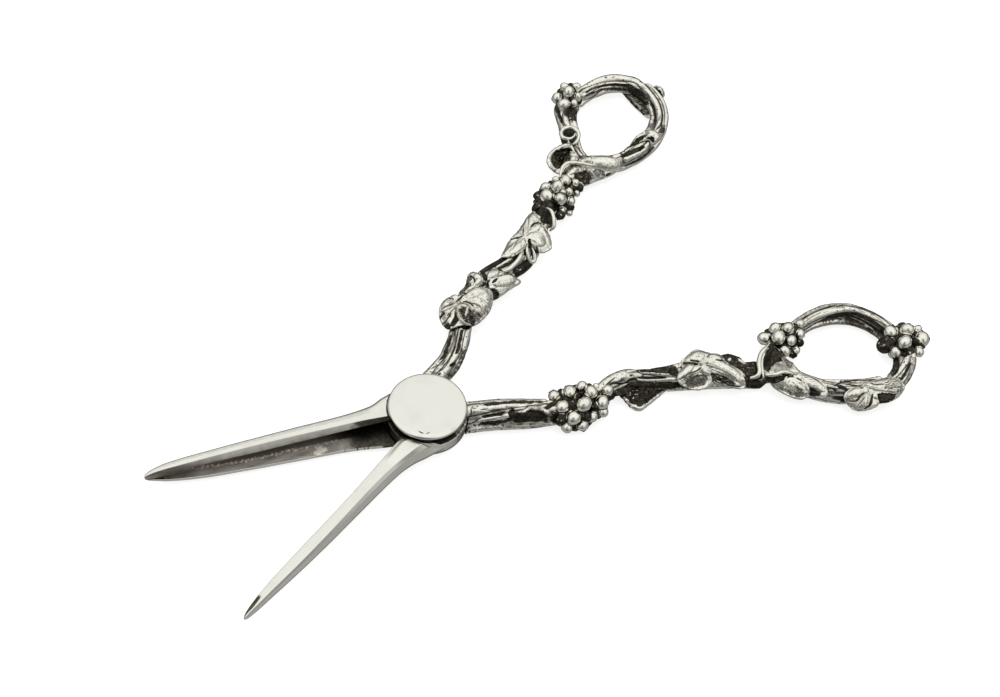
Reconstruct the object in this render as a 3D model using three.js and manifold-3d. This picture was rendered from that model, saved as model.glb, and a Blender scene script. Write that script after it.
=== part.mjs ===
// Grape shears in cast and polished silver: two crossed arms on a riveted disc joint.
// One arm carries a hollow channel blade, the other a slim tongue blade that closes into it.
// Each handle is a bark-textured vine shank ending in a finger bow, dressed with
// applied vine leaves, grape bunches and tendrils.
// Millimetres, +Z up. Origin: pivot axis on the resting plane; handles towards +X.
import * as THREE from 'three';
import { mergeVertices } from 'three/addons/utils/BufferGeometryUtils.js';
import Module from 'manifold-3d';

// ---------------------------------------------------------------- driving dimensions
const CAP_R = 9.0;            // polished pivot disc
const CAP_Z0 = 6.9;           // underside of the disc
const CAP_Z1 = 8.0;           // flat crown of the disc
const LAP_R = 9.45;           // lap disc of the tongue arm
const LAP_A_R = 8.6;          // lap disc of the channel arm, under the polished disc
const LAP_CLEAR_R = 9.85;     // the channel arm keeps outside this beside the tongue arm's lap
const LAP_OWN_R = 9.75;       // the tongue arm's shank starts here beside its own lap
const CAP_CLEAR_R = 9.3;      // both shanks keep outside this beside the polished disc
const LAP_A = [5.3, 6.6];     // channel arm: upper lap
const LAP_B = [1.4, 5.0];     // tongue arm: lower lap
const TANG_A = { turn: -34, from: 6.5, to: 13.2, half: 0.8, z: [5.3, 5.8] };  // flat tang of the channel arm
const BOSS_R = 8.0;           // under-disc
const BOSS_Z1 = 1.1;
const PIN_R = 2.2;            // rivet
const PIN_FIXED_BORE = 2.4;   // bore in parts soldered to the rivet
const PIN_RUN_BORE = 2.28;    // running bore in the tongue arm
const PEG_R = 1.1;            // round tang of the tongue arm inside its shank
const GAP = 0.3;              // seam left between applied pieces
const LEAF_T = 0.95;          // leaf thickness
const CHANNEL_AXIS = 161;     // degrees, direction of the channel blade
const TONGUE_AXIS = -163;     // degrees, direction of the tongue blade
const WALL = 1.0;             // channel web thickness

// stations along the blade from the pivot, and offsets across it (towards the other blade is positive)
const CHANNEL = {
  s:   [6.0, 9, 12, 16, 20, 25, 30, 35, 40, 45, 50, 55, 58, 61, 63.5, 65.2, 66.1],
  out: [-7.2, -6.25, -4.9, -4.1, -3.75, -3.55, -3.42, -3.24, -3.06, -2.88, -2.66, -2.5, -2.4, -2.22, -1.85, -1.4, -0.85],
  top: [-0.3, -0.45, -0.62, -0.8, -0.8, -0.8, -0.84, -0.85, -0.79, -0.68, -0.57, -0.45, -0.42, -0.45, -0.5, -0.45, -0.40],
  cut: [0.2, 0.2, 0.2, 0.2, 0.25, 0.32, 0.38, 0.45, 0.5, 0.48, 0.43, 0.36, 0.22, 0.05, -0.2, -0.3, -0.36],
  bot: [4.8, 4.7, 4.35, 3.75, 3.3, 3.0, 2.78, 2.55, 2.35, 2.08, 1.84, 1.42, 1.08, 0.68, 0.28, 0.0, -0.25],
  zt:  [6.6, 6.6, 6.6, 6.6, 6.6, 6.6, 6.6, 6.55, 6.5, 6.45, 6.35, 6.2, 6.0, 5.7, 5.25, 4.75, 4.30],
  zb:  [1.1, 1.1, 1.1, 1.1, 1.1, 1.1, 1.1, 1.15, 1.2, 1.25, 1.35, 1.5, 1.7, 2.0, 2.5, 3.0, 3.55],
  deep:[1, 1, 1, 1, 1, 1, 1, 1, 1, 1, 1, 1, 1, 0.95, 0.8, 0.45, 0.1],
};
const TONGUE = {
  s:   [3.5, 6.0, 9, 12, 16, 20, 25, 30, 35, 40, 45, 50, 55, 58, 61, 63.5, 65.5, 66.7, 67.3],
  in:  [0.5, 0.5, 0.46, 0.44, 0.36, 0.28, 0.2, 0.14, 0.2, 0.3, 0.42, 0.5, 0.53, 0.5, 0.38, 0.2, -0.02, -0.25, -0.48],
  rdg: [-5.6, -4.6, -4.05, -3.45, -2.85, -2.5, -2.3, -2.25, -2.2, -2.12, -1.98, -1.78, -1.5, -1.32, -1.14, -0.98, -0.82, -0.76, -0.70],
  out: [-8.7, -7.6, -6.5, -5.3, -4.45, -4.12, -3.85, -3.66, -3.46, -3.24, -2.96, -2.62, -2.22, -1.96, -1.72, -1.5, -1.28, -1.1, -0.86],
  zt:  [5.0, 5.0, 5.0, 5.06, 5.12, 5.15, 5.1, 5.1, 5.05, 5.0, 4.95, 4.9, 4.85, 4.8, 4.7, 4.6, 4.45, 4.3, 4.05],
  zb:  [2.3, 2.3, 2.3, 2.3, 2.35, 2.4, 2.4, 2.45, 2.5, 2.5, 2.55, 2.6, 2.65, 2.7, 2.75, 2.8, 2.9, 3.05, 3.3],
};

// vine shanks and finger bows: x, y, z, radius along the centre line
const SHANK_A = [
  [9.44, -6.03, 3.85, 2.9], [12.05, -7.64, 3.85, 3.0], [15.53, -9.87, 3.9, 2.95], [19.54, -12.67, 3.9, 2.85],
  [23.55, -15.28, 3.9, 2.6], [27.61, -17.24, 3.8, 2.3], [31.62, -18.04, 3.8, 2.2], [35.63, -17.94, 3.8, 2.1],
  [39.59, -17.48, 3.9, 2.0], [43.6, -17.18, 3.9, 2.0], [47.16, -18.24, 3.8, 2.1], [50.73, -20.6, 3.7, 2.2],
  [54.24, -23.2, 3.7, 2.2], [57.74, -25.21, 3.7, 2.2], [61.81, -27.17, 3.6, 2.2], [65.83, -29.68, 3.6, 2.2],
  [69.4, -32.34, 3.5, 2.1], [72.41, -34.85, 3.5, 2.1], [74.17, -36.31, 3.4, 2.1],
];
const BOW_A = [
  [75.38, -36.21, 3.4, 2.1], [77.58, -33.9, 3.4, 1.9], [80.99, -31.7, 3.4, 1.9], [85.01, -30.49, 3.4, 1.95],
  [89.52, -29.69, 3.4, 2.0], [94.04, -29.49, 3.4, 2.0], [98.05, -30.39, 3.4, 2.0], [101.56, -32.3, 3.4, 2.0],
  [104.07, -35.31, 3.4, 2.0], [105.68, -39.32, 3.4, 1.95], [106.28, -43.34, 3.4, 1.9], [106.08, -47.35, 3.4, 1.9],
  [104.67, -50.66, 3.4, 1.95], [102.06, -53.37, 3.4, 1.95], [98.55, -55.18, 3.4, 2.0], [94.54, -54.77, 3.4, 2.0],
  [90.53, -52.77, 3.4, 2.0], [87.01, -50.36, 3.4, 2.0], [84.0, -47.95, 3.4, 2.0], [81.5, -44.84, 3.4, 2.0],
  [79.29, -41.33, 3.4, 2.0], [77.18, -38.62, 3.4, 2.1],
];
const SHANK_B = [
  [9.14, 7.9, 3.85, 2.55], [12.05, 9.0, 3.85, 2.6], [15.53, 10.48, 3.9, 2.55], [18.54, 12.59, 3.9, 2.5],
  [20.85, 14.99, 3.9, 2.5], [23.1, 17.65, 3.8, 2.5], [26.16, 20.01, 3.7, 2.4], [30.17, 21.92, 3.7, 2.4],
  [34.68, 23.32, 3.7, 2.5], [39.7, 23.52, 3.7, 2.7], [44.71, 23.62, 3.7, 2.7], [48.72, 25.23, 3.7, 2.5],
  [52.73, 27.53, 3.7, 2.4], [56.74, 29.74, 3.7, 2.3], [60.75, 32.15, 3.7, 2.3], [64.82, 34.01, 3.6, 2.3],
  [68.83, 35.81, 3.6, 2.2], [72.41, 37.48, 3.5, 2.2], [75.21, 38.88, 3.5, 2.1],
];
const BOW_B = [
  [77.18, 40.14, 3.4, 2.1], [78.39, 43.76, 3.4, 1.9], [79.39, 47.17, 3.4, 1.9], [81.3, 50.58, 3.4, 1.9],
  [83.6, 54.29, 3.4, 1.9], [86.51, 57.0, 3.4, 1.9], [90.33, 57.2, 3.4, 1.95], [94.04, 56.8, 3.4, 2.0],
  [98.05, 56.5, 3.4, 2.0], [101.56, 55.4, 3.4, 2.0], [104.27, 53.29, 3.4, 2.0], [105.98, 49.98, 3.4, 2.0],
  [106.48, 46.47, 3.4, 2.0], [105.68, 42.95, 3.4, 2.0], [103.87, 39.74, 3.4, 2.0], [101.06, 37.23, 3.4, 2.0],
  [97.55, 35.73, 3.4, 2.0], [93.54, 34.83, 3.4, 2.1], [89.52, 34.33, 3.4, 2.2], [85.51, 34.73, 3.4, 2.1],
  [82.0, 36.13, 3.4, 2.1], [79.29, 37.94, 3.4, 2.1],
];

// grape bunches: x, y, z, radius of every grape
const GRAPES = {
  a_grapes_neck: [
    [27.0, -13.09, 5.4, 1.4], [30.67, -14.42, 5.45, 1.7], [33.91, -14.86, 5.75, 1.25], [24.03, -16.41, 3.75, 1.05],
    [26.47, -16.9, 5.85, 1.6], [34.18, -17.83, 6.75, 1.5], [30.62, -19.6, 6.7, 1.75], [27.43, -20.19, 4.55, 1.7],
    [35.35, -20.85, 5.1, 1.6], [38.7, -18.8, 5.0, 1.35], [25.46, -20.34, 2.5, 1.35], [28.93, -22.01, 2.4, 1.4],
    [32.04, -21.58, 3.0, 1.35], [34.82, -22.0, 3.25, 1.35], [23.08, -14.64, 4.25, 0.8], [36.73, -16.74, 5.5, 0.85],
    [27.03, -16.9, 1.9, 1.6], [30.0, -19.44, 1.79, 1.6], [33.7, -17.54, 1.79, 1.6], [36.48, -19.34, 2.2, 1.6],
    [30.14, -15.62, 2.0, 1.6],
  ],
  a_grapes_bow_root: [
    [79.82, -27.85, 4.0, 1.6], [83.45, -27.42, 4.6, 1.5], [81.67, -30.38, 5.85, 1.8], [85.33, -29.67, 6.05, 1.5],
    [89.3, -29.83, 4.85, 1.2], [81.3, -33.45, 4.2, 1.4], [83.79, -32.69, 5.65, 1.25], [87.71, -31.85, 4.2, 1.2],
    [84.46, -34.4, 3.15, 0.95], [81.67, -31.33, 1.9, 1.6], [84.59, -29.1, 1.8, 1.6], [85.54, -31.85, 1.8, 1.6],
    [87.61, -29.54, 2.2, 1.6],
  ],
  a_grapes_bow_end: [
    [106.27, -43.91, 4.3, 1.75], [109.25, -46.13, 5.8, 1.6], [112.03, -47.18, 4.95, 1.05], [105.99, -48.73, 6.05, 1.7],
    [103.3, -49.0, 4.25, 1.4], [111.41, -49.76, 4.4, 1.75], [105.57, -51.04, 3.85, 1.0], [108.59, -51.62, 3.55, 1.3],
    [109.43, -43.98, 4.95, 1.1], [104.88, -48.01, 1.9, 1.7], [108.58, -48.79, 1.9, 1.7], [109.38, -45.74, 2.0, 1.7],
    [106.73, -46.06, 1.9, 1.7],
  ],
  b_grapes_mid: [
    [64.29, 37.29, 4.85, 1.3], [65.81, 34.93, 6.5, 1.55], [62.73, 34.73, 4.95, 1.75], [64.16, 31.48, 6.25, 1.55],
    [69.28, 35.79, 5.7, 1.4], [71.3, 34.3, 5.0, 0.95], [67.58, 32.21, 6.2, 0.9], [66.88, 30.47, 4.7, 1.1],
    [63.69, 29.97, 3.65, 1.05], [69.88, 31.86, 4.2, 0.85], [65.26, 28.82, 2.85, 0.8], [65.79, 32.62, 6.7, 0.8],
    [67.56, 37.66, 5.4, 0.8], [63.02, 32.37, 1.9, 1.5], [66.96, 32.2, 1.8, 1.5], [66.16, 35.4, 1.9, 1.5],
    [69.21, 35.21, 2.2, 1.5],
  ],
  b_grapes_bow: [
    [88.47, 60.27, 5.2, 1.2], [91.26, 58.86, 4.9, 1.15], [87.73, 57.94, 6.05, 1.45], [85.36, 59.36, 3.8, 1.35],
    [85.05, 56.15, 4.6, 1.6], [89.56, 56.16, 4.75, 1.0], [87.52, 55.11, 4.5, 1.0], [86.15, 56.91, 2.0, 1.4],
    [89.3, 57.29, 2.0, 1.4], [88.36, 59.68, 2.0, 1.4],
  ],
};

// leaves: vein centre, then the outline through lobe tips and notches
const LEAVES = {
  a_leaf_under: { c: [47.32, -22.7, 2.6], arch: 0.9, o: [
    [41.76, -19.25, 3.4], [41.48, -21.39, 2.8], [42.02, -23.74, 1.8], [42.85, -25.18, 1.2],
    [44.22, -25.86, 0.9], [46.24, -25.65, 0.9], [49.21, -25.3, 1.0], [52.18, -25.04, 1.1],
    [53.53, -26.09, 1.2], [55.09, -27.14, 1.3], [56.79, -27.94, 1.5], [56.48, -26.03, 2.4],
    [53.01, -23.18, 3.2], [48.78, -20.35, 3.6], [44.71, -18.99, 3.7],
  ] },
  a_leaf_mid: { c: [60.86, -27.28, 6.95], arch: 0.9, o: [
    [54.0, -26.06, 5.35], [54.75, -25.08, 6.5], [56.57, -24.42, 6.8], [58.04, -22.41, 5.45],
    [59.79, -22.29, 6.05], [61.66, -22.14, 6.6], [62.94, -22.53, 6.8], [64.37, -24.04, 6.4],
    [65.75, -25.3, 6.1], [66.99, -26.58, 5.85], [66.35, -29.12, 6.6], [67.04, -31.64, 6.45],
    [67.7, -33.82, 5.5], [67.68, -34.65, 4.2], [68.36, -34.78, 1.7], [67.41, -34.78, 1.25],
    [65.54, -33.41, 1.35], [63.52, -31.55, 1.7], [61.79, -30.39, 2.25], [60.39, -29.88, 1.55],
    [58.4, -29.25, 1.5], [56.56, -27.82, 1.9], [54.74, -27.17, 4.05],
  ] },
  a_leaf_back: { c: [68.68, -31.13, 6.2], arch: 0.9, o: [
    [66.72, -26.56, 5.8], [68.48, -27.14, 6.2], [69.8, -28.45, 6.0], [70.58, -29.51, 5.7],
    [70.72, -30.33, 5.3], [71.1, -31.22, 5.5], [72.28, -31.69, 5.2], [73.25, -32.41, 5.25],
    [71.96, -34.46, 6.05], [70.84, -35.46, 5.6], [69.52, -35.31, 4.8], [68.13, -34.36, 4.45],
    [67.15, -32.33, 5.75], [66.26, -29.56, 6.25],
  ] },
  a_leaf_bow_root: { c: [76.68, -41.36, 5.85], arch: 0.9, o: [
    [73.33, -38.86, 2.3], [72.03, -36.99, 5.45], [72.56, -35.06, 6.05], [75.72, -31.94, 3.5],
    [77.49, -31.45, 4.2], [79.09, -33.22, 5.5], [80.99, -35.31, 3.4], [79.98, -37.95, 5.35],
    [79.61, -40.4, 5.95], [80.54, -42.64, 6.05], [81.58, -45.08, 6.15], [81.74, -47.17, 5.9],
    [81.43, -48.58, 4.95], [80.87, -48.57, 2.95], [80.08, -46.96, 1.95], [78.78, -45.45, 1.45],
    [77.5, -44.92, 0.9], [76.21, -43.42, 0.7], [75.18, -41.69, 0.9], [74.3, -40.0, 1.2],
  ] },
  a_leaf_bow_side: { c: [89.62, -54.35, 5.9], arch: 0.9, o: [
    [85.36, -52.78, 1.4], [84.29, -51.76, 3.9], [84.84, -51.3, 5.25], [86.6, -51.38, 5.95],
    [88.76, -52.4, 6.0], [89.72, -52.02, 6.05], [91.59, -52.38, 5.95], [93.94, -53.08, 5.7],
    [95.84, -53.74, 5.85], [96.98, -55.09, 6.25], [97.71, -56.89, 5.75], [98.13, -57.91, 4.5],
    [97.7, -58.0, 2.4], [95.61, -58.21, 1.9], [93.42, -57.68, 1.55], [91.71, -56.87, 1.55],
    [90.69, -56.9, 1.1], [88.32, -56.14, 0.7], [86.3, -54.73, 0.7],
  ] },
  b_leaf_neck: { c: [23.74, 19.23, 7.3], arch: 0.9, o: [
    [19.44, 21.5, 4.1], [20.47, 23.11, 4.45], [22.32, 23.94, 4.75], [24.4, 24.21, 4.8],
    [25.98, 23.9, 4.65], [25.82, 21.96, 6.15], [26.98, 21.19, 7.0], [28.94, 21.36, 7.05],
    [30.79, 21.22, 6.95], [32.24, 20.6, 6.45], [33.72, 20.01, 5.35], [35.09, 20.16, 2.15],
    [34.14, 18.7, 2.05], [33.24, 17.71, 1.85], [31.57, 16.54, 1.95], [29.25, 15.62, 2.55],
    [26.99, 14.63, 3.45], [25.1, 14.24, 4.0], [22.47, 13.22, 6.45], [21.27, 13.99, 7.25],
    [20.78, 15.19, 7.05], [19.51, 15.12, 6.8], [18.03, 15.29, 5.95], [18.51, 17.48, 3.75],
    [18.76, 19.34, 3.65], [19.09, 20.66, 3.8],
  ] },
  b_leaf_neck_back: { c: [30.69, 23.02, 6.75], arch: 0.9, o: [
    [26.71, 23.53, 4.4], [28.45, 23.93, 5.3], [30.28, 25.28, 4.85], [31.32, 26.22, 5.15],
    [32.57, 26.66, 5.25], [33.62, 26.0, 5.35], [33.43, 23.76, 6.85], [33.3, 22.54, 6.9],
    [32.48, 21.73, 6.75], [30.66, 21.5, 6.8], [28.23, 21.57, 6.5],
  ] },
  b_leaf_side: { c: [36.63, 20.41, 5.7], arch: 0.9, o: [
    [34.06, 21.31, 6.6], [34.32, 22.36, 7.05], [35.23, 23.07, 7.2], [37.0, 23.14, 7.25],
    [37.85, 22.5, 7.15], [38.28, 21.45, 6.35], [39.08, 20.95, 6.35], [40.58, 20.37, 5.6],
    [41.55, 19.86, 4.35], [42.23, 19.85, 2.9], [43.67, 19.38, 1.55], [43.1, 18.91, 1.3],
    [40.58, 19.12, 1.1], [37.58, 18.85, 1.05], [34.72, 18.19, 1.7], [35.05, 19.62, 1.85],
    [34.89, 19.9, 4.45], [34.48, 20.46, 5.8],
  ] },
  b_leaf_mid: { c: [49.31, 26.3, 7.3], arch: 0.9, o: [
    [41.0, 25.46, 6.85], [42.15, 24.31, 7.3], [43.29, 23.56, 7.4], [45.11, 23.58, 7.35],
    [46.95, 23.94, 7.25], [48.57, 24.56, 6.85], [49.67, 23.87, 6.3], [50.72, 22.72, 5.15],
    [52.44, 22.82, 3.15], [53.9, 22.68, 3.05], [55.38, 23.15, 2.75], [56.4, 24.77, 2.9],
    [56.36, 25.85, 4.55], [56.03, 26.63, 6.0], [55.47, 27.78, 6.8], [55.83, 29.03, 6.7],
    [56.48, 29.68, 6.95], [56.3, 30.89, 6.75], [56.77, 32.77, 5.75], [55.94, 33.35, 4.4],
    [53.14, 32.04, 4.75], [50.68, 30.89, 4.5], [48.14, 29.94, 4.75], [46.2, 29.2, 5.0],
    [43.51, 27.39, 5.9],
  ] },
  b_leaf_bow_root: { c: [77.51, 35.69, 4.5], arch: 0.9, o: [
    [75.99, 37.71, 6.0], [76.95, 38.78, 6.05], [78.62, 38.96, 6.25], [80.45, 37.89, 6.2],
    [82.22, 36.47, 6.25], [83.81, 35.37, 6.25], [84.47, 34.13, 6.15], [84.58, 32.8, 5.35],
    [84.84, 32.1, 4.3], [83.81, 32.29, 2.75], [81.76, 33.08, 1.2], [79.55, 33.98, 0.85],
    [77.5, 34.53, 0.25], [73.94, 33.47, 2.45], [72.84, 34.7, 3.45], [71.51, 35.22, 5.65],
    [70.15, 36.27, 6.25], [71.0, 37.91, 6.0], [72.73, 38.65, 6.1], [74.41, 38.13, 6.3],
  ] },
  b_leaf_bow_end: { c: [103.9, 48.42, 2.0], arch: 0.9, o: [
    [101.89, 53.85, 2.0], [101.89, 52.02, 1.7], [101.92, 49.12, 1.5], [101.99, 46.16, 1.4],
    [102.12, 43.48, 1.5], [103.27, 42.06, 2.2], [104.74, 44.4, 3.0], [105.44, 47.63, 3.3],
    [105.11, 51.1, 3.2], [103.74, 54.02, 2.7],
  ] },
  b_leaf_wrap: { c: [95.68, 34.78, 6.4], arch: 0.9, o: [
    [89.29, 35.53, 5.8], [91.6, 37.0, 5.0], [93.73, 37.72, 4.8], [96.36, 38.22, 4.45],
    [97.24, 37.0, 5.85], [98.14, 35.73, 6.15], [98.64, 34.71, 5.85], [99.13, 33.72, 4.8],
    [98.96, 33.39, 4.15], [96.7, 32.86, 4.55], [95.0, 33.23, 5.3], [94.91, 34.16, 5.75],
    [93.98, 34.85, 5.95], [91.45, 35.2, 5.85],
  ] },
  b_leaf_curl: { c: [74.69, 43.47, 3.2], arch: 0.9, o: [
    [69.66, 39.95, 4.4], [68.78, 41.28, 5.2], [68.82, 42.92, 5.8], [69.82, 44.22, 6.3],
    [71.63, 44.93, 6.6], [74.08, 45.09, 6.5], [76.46, 44.78, 6.2], [77.64, 44.06, 5.9],
    [77.33, 42.64, 5.6], [77.05, 40.96, 5.4], [76.48, 39.48, 5.2], [74.6, 39.4, 5.0],
    [72.64, 39.84, 4.6], [71.02, 39.21, 4.3],
  ] },
};

// tendrils: x, y, z, radius along the centre line
const TENDRILS = {
  a_tendril: [
    [68.48, -35.09, 5.2, 0.6], [70.06, -35.99, 5.9, 0.6], [71.15, -35.41, 6.4, 0.6], [72.23, -33.9, 6.6, 0.6],
    [74.16, -32.25, 6.7, 0.6], [76.61, -31.31, 6.6, 0.6], [78.79, -30.58, 6.3, 0.6],
  ],
  a_tendril_twig: [
    [71.61, -36.96, 6.3, 0.5], [73.09, -38.24, 6.5, 0.5], [74.82, -39.48, 6.6, 0.5], [76.28, -40.24, 6.5, 0.5],
  ],
  b_tendril_mid: [
    [48.66, 25.36, 6.5, 0.5], [47.73, 23.93, 6.2, 0.5], [47.08, 22.58, 5.4, 0.5], [47.23, 21.63, 4.4, 0.5],
    [48.15, 21.25, 4.0, 0.5], [48.82, 21.92, 4.6, 0.5], [49.18, 22.98, 5.4, 0.5], [49.34, 24.04, 6.0, 0.5],
  ],
  b_tendril_strand: [
    [38.49, 21.46, 6.7, 0.55], [40.53, 21.3, 6.8, 0.55], [42.91, 21.79, 7.0, 0.55], [45.15, 22.84, 6.9, 0.55],
    [46.57, 23.96, 6.5, 0.55],
  ],
  b_tendril_grapes: [
    [56.86, 26.35, 4.2, 0.5], [58.0, 26.3, 5.0, 0.5], [58.74, 27.15, 5.8, 0.5], [59.45, 28.46, 6.3, 0.5],
    [59.83, 29.94, 6.5, 0.5], [59.55, 31.45, 6.3, 0.5],
  ],
  b_tendril_coil: [
    [77.95, 43.66, 5.4, 0.5], [79.04, 43.66, 5.9, 0.5], [80.31, 44.34, 6.1, 0.5], [80.84, 45.75, 6.2, 0.5],
    [81.14, 46.73, 6.23, 0.5], [80.85, 47.68, 6.26, 0.5], [80.09, 48.36, 6.29, 0.5], [79.1, 48.59, 6.32, 0.5],
    [78.14, 48.34, 6.35, 0.5], [77.47, 47.73, 6.38, 0.5], [77.23, 46.92, 6.41, 0.5], [77.44, 46.16, 6.44, 0.5],
    [77.99, 45.63, 6.47, 0.5], [78.7, 45.45, 6.5, 0.5], [79.35, 45.61, 6.53, 0.5], [79.79, 46.04, 6.56, 0.5],
    [79.9, 46.59, 6.59, 0.5], [79.7, 47.09, 6.62, 0.5],
  ],
  b_tendril_root: [
    [68.66, 37.27, 5.4, 0.55], [69.7, 38.31, 6.0, 0.55], [70.89, 39.11, 6.5, 0.55], [72.37, 39.29, 6.7, 0.55],
    [73.86, 38.59, 6.7, 0.55], [75.58, 37.32, 6.5, 0.55], [77.4, 35.64, 6.3, 0.55], [79.12, 34.06, 6.1, 0.55],
  ],
};
const BUD_B = [109.05, 46.55, 3.6, 1.75];

// ---------------------------------------------------------------- helpers
const wasm = await Module();
wasm.setup();

const rad = (d) => (d * Math.PI) / 180;

function solid(geometry) {
  let g = geometry.index ? geometry.clone() : geometry;
  for (const a of ['normal', 'uv', 'color']) if (g.getAttribute(a)) g.deleteAttribute(a);
  g = mergeVertices(g, 1e-4);
  return new wasm.Manifold(new wasm.Mesh({
    numProp: 3,
    vertProperties: new Float32Array(g.getAttribute('position').array),
    triVerts: new Uint32Array(g.index.array),
  }));
}

function largest(m) {
  const pieces = m.decompose();
  return pieces.reduce((a, b) => (b.volume() > a.volume() ? b : a));
}

function geometryOf(m) {
  const mesh = m.getMesh();
  const g = new THREE.BufferGeometry();
  g.setAttribute('position', new THREE.BufferAttribute(new Float32Array(mesh.vertProperties), 3));
  g.setIndex(new THREE.BufferAttribute(new Uint32Array(mesh.triVerts), 1));
  g.computeVertexNormals();
  return g;
}

function indexed(points, faces) {
  const g = new THREE.BufferGeometry();
  g.setAttribute('position', new THREE.Float32BufferAttribute(points.flatMap((p) => [p.x, p.y, p.z]), 3));
  g.setIndex(faces.flat());
  return g;
}

// solid of revolution about Z from [radius, z] pairs that start and end on the axis
function turned(profile, segments) {
  const g = new THREE.LatheGeometry(profile.map(([r, z]) => new THREE.Vector2(r, z)), segments);
  g.rotateX(Math.PI / 2);
  return solid(g);
}
const drum = (r, z0, z1, segments = 32) => turned([[0, z0], [r, z0], [r, z1], [0, z1]], segments);

function peg(from, to, r, segments = 10) {
  const a = new THREE.Vector3(...from), b = new THREE.Vector3(...to);
  const g = new THREE.CylinderGeometry(r, r, a.distanceTo(b), segments);
  g.applyQuaternion(new THREE.Quaternion().setFromUnitVectors(
    new THREE.Vector3(0, 1, 0), b.clone().sub(a).normalize()));
  g.translate((a.x + b.x) / 2, (a.y + b.y) / 2, (a.z + b.z) / 2);
  return solid(g);
}

// skin between closed sections with the same number of points, ends closed
function loft(sections, flat) {
  const n = sections[0].length, pts = sections.flat(), faces = [];
  for (let i = 0; i + 1 < sections.length; i++)
    for (let j = 0; j < n; j++) {
      const a = i * n + j, b = i * n + ((j + 1) % n);
      faces.push([a, b, b + n], [a, b + n, a + n]);
    }
  const last = (sections.length - 1) * n;
  for (const [a, b, c] of THREE.ShapeUtils.triangulateShape(flat[0], []))
    faces.push([c, b, a]);
  for (const [a, b, c] of THREE.ShapeUtils.triangulateShape(flat[flat.length - 1], []))
    faces.push([last + a, last + b, last + c]);
  return outward(indexed(pts, faces));
}

function outward(g) {
  const m = solid(g);
  if (m.volume() > 0) return m;
  const idx = Array.from(g.index.array);
  for (let i = 0; i < idx.length; i += 3) [idx[i], idx[i + 1]] = [idx[i + 1], idx[i]];
  g.setIndex(idx);
  return solid(g);
}

// round rod of changing radius along a smooth line
function rod(path, sides, steps, closed = false, grow = 0, jag = 0) {
  const line = new THREE.CatmullRomCurve3(path.map((p) => new THREE.Vector3(p[0], p[1], p[2])), closed, 'catmullrom', 0.5);
  const size = new THREE.CatmullRomCurve3(path.map((p) => new THREE.Vector3(p[3], 0, 0)), closed, 'catmullrom', 0.5);
  const frames = line.computeFrenetFrames(steps, closed);
  const rings = closed ? steps : steps + 1, pts = [], faces = [];
  for (let i = 0; i < rings; i++) {
    const t = line.getUtoTmapping(i / steps), p = line.getPoint(t), r = size.getPoint(t).x + grow;
    for (let j = 0; j < sides; j++) {
      const a = (2 * Math.PI * j) / sides, q = r * (1 + (j % 2 ? -jag : jag));
      pts.push(p.clone().addScaledVector(frames.normals[i], q * Math.cos(a))
        .addScaledVector(frames.binormals[i], q * Math.sin(a)));
    }
  }
  for (let i = 0; i < (closed ? rings : rings - 1); i++)
    for (let j = 0; j < sides; j++) {
      const k = (i + 1) % rings, l = (j + 1) % sides;
      faces.push([i * sides + j, i * sides + l, k * sides + l], [i * sides + j, k * sides + l, k * sides + j]);
    }
  if (!closed) {
    const e = (rings - 1) * sides;
    for (let j = 1; j + 1 < sides; j++) faces.push([0, j + 1, j], [e, e + j, e + j + 1]);
  }
  return outward(indexed(pts, faces));
}

// domed leaf blade: rings of points from the vein centre to the outline, with a parallel underside
function leaf({ c, o, arch }, spokes = 18, grow = 0) {
  const line = new THREE.CatmullRomCurve3(o.map((p) => new THREE.Vector3(...p)), true, 'catmullrom', 0.5);
  const centre = new THREE.Vector3(...c), rings = 2, top = [centre.clone()];
  const edge = Array.from({ length: spokes }, (_, j) => line.getPoint(j / spokes));
  const up = new THREE.Vector3();
  for (let j = 0; j < spokes; j++)
    up.add(new THREE.Vector3().crossVectors(edge[j].clone().sub(centre), edge[(j + 1) % spokes].clone().sub(centre)));
  up.normalize();
  if (up.z < 0) { up.negate(); edge.reverse(); }
  for (let i = 1; i <= rings; i++)
    for (let j = 0; j < spokes; j++) {
      const t = i / rings, p = centre.clone().lerp(edge[j], t * (1 + (grow ? 0.06 : 0)));
      p.addScaledVector(up, (arch ?? 0.9) * t * (1 - t) * 4 * 0.5);
      top.push(p);
    }
  const normals = top.map(() => new THREE.Vector3()), faces = [];
  const id = (i, j) => (i === 0 ? 0 : 1 + (i - 1) * spokes + ((j + spokes) % spokes));
  for (let j = 0; j < spokes; j++) {
    faces.push([0, id(1, j), id(1, j + 1)]);
    for (let i = 1; i < rings; i++)
      faces.push([id(i, j), id(i + 1, j), id(i + 1, j + 1)], [id(i, j), id(i + 1, j + 1), id(i, j + 1)]);
  }
  for (const [a, b, d] of faces) {
    const n = new THREE.Vector3().crossVectors(top[b].clone().sub(top[a]), top[d].clone().sub(top[a]));
    normals[a].add(n); normals[b].add(n); normals[d].add(n);
  }
  normals.forEach((n) => n.normalize().lerp(up, 0.45).normalize());
  const upper = top.map((p, k) => p.clone().addScaledVector(normals[k], grow));
  const lower = top.map((p, k) => p.clone().addScaledVector(normals[k], -(LEAF_T + grow)));
  const n0 = upper.length, all = faces.slice();
  for (const [a, b, d] of faces) all.push([n0 + a, n0 + d, n0 + b]);
  for (let j = 0; j < spokes; j++) {
    const a = id(rings, j), b = id(rings, j + 1);
    all.push([a, n0 + a, n0 + b], [a, n0 + b, b]);
  }
  return outward(indexed([...upper, ...lower], all));
}

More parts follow.
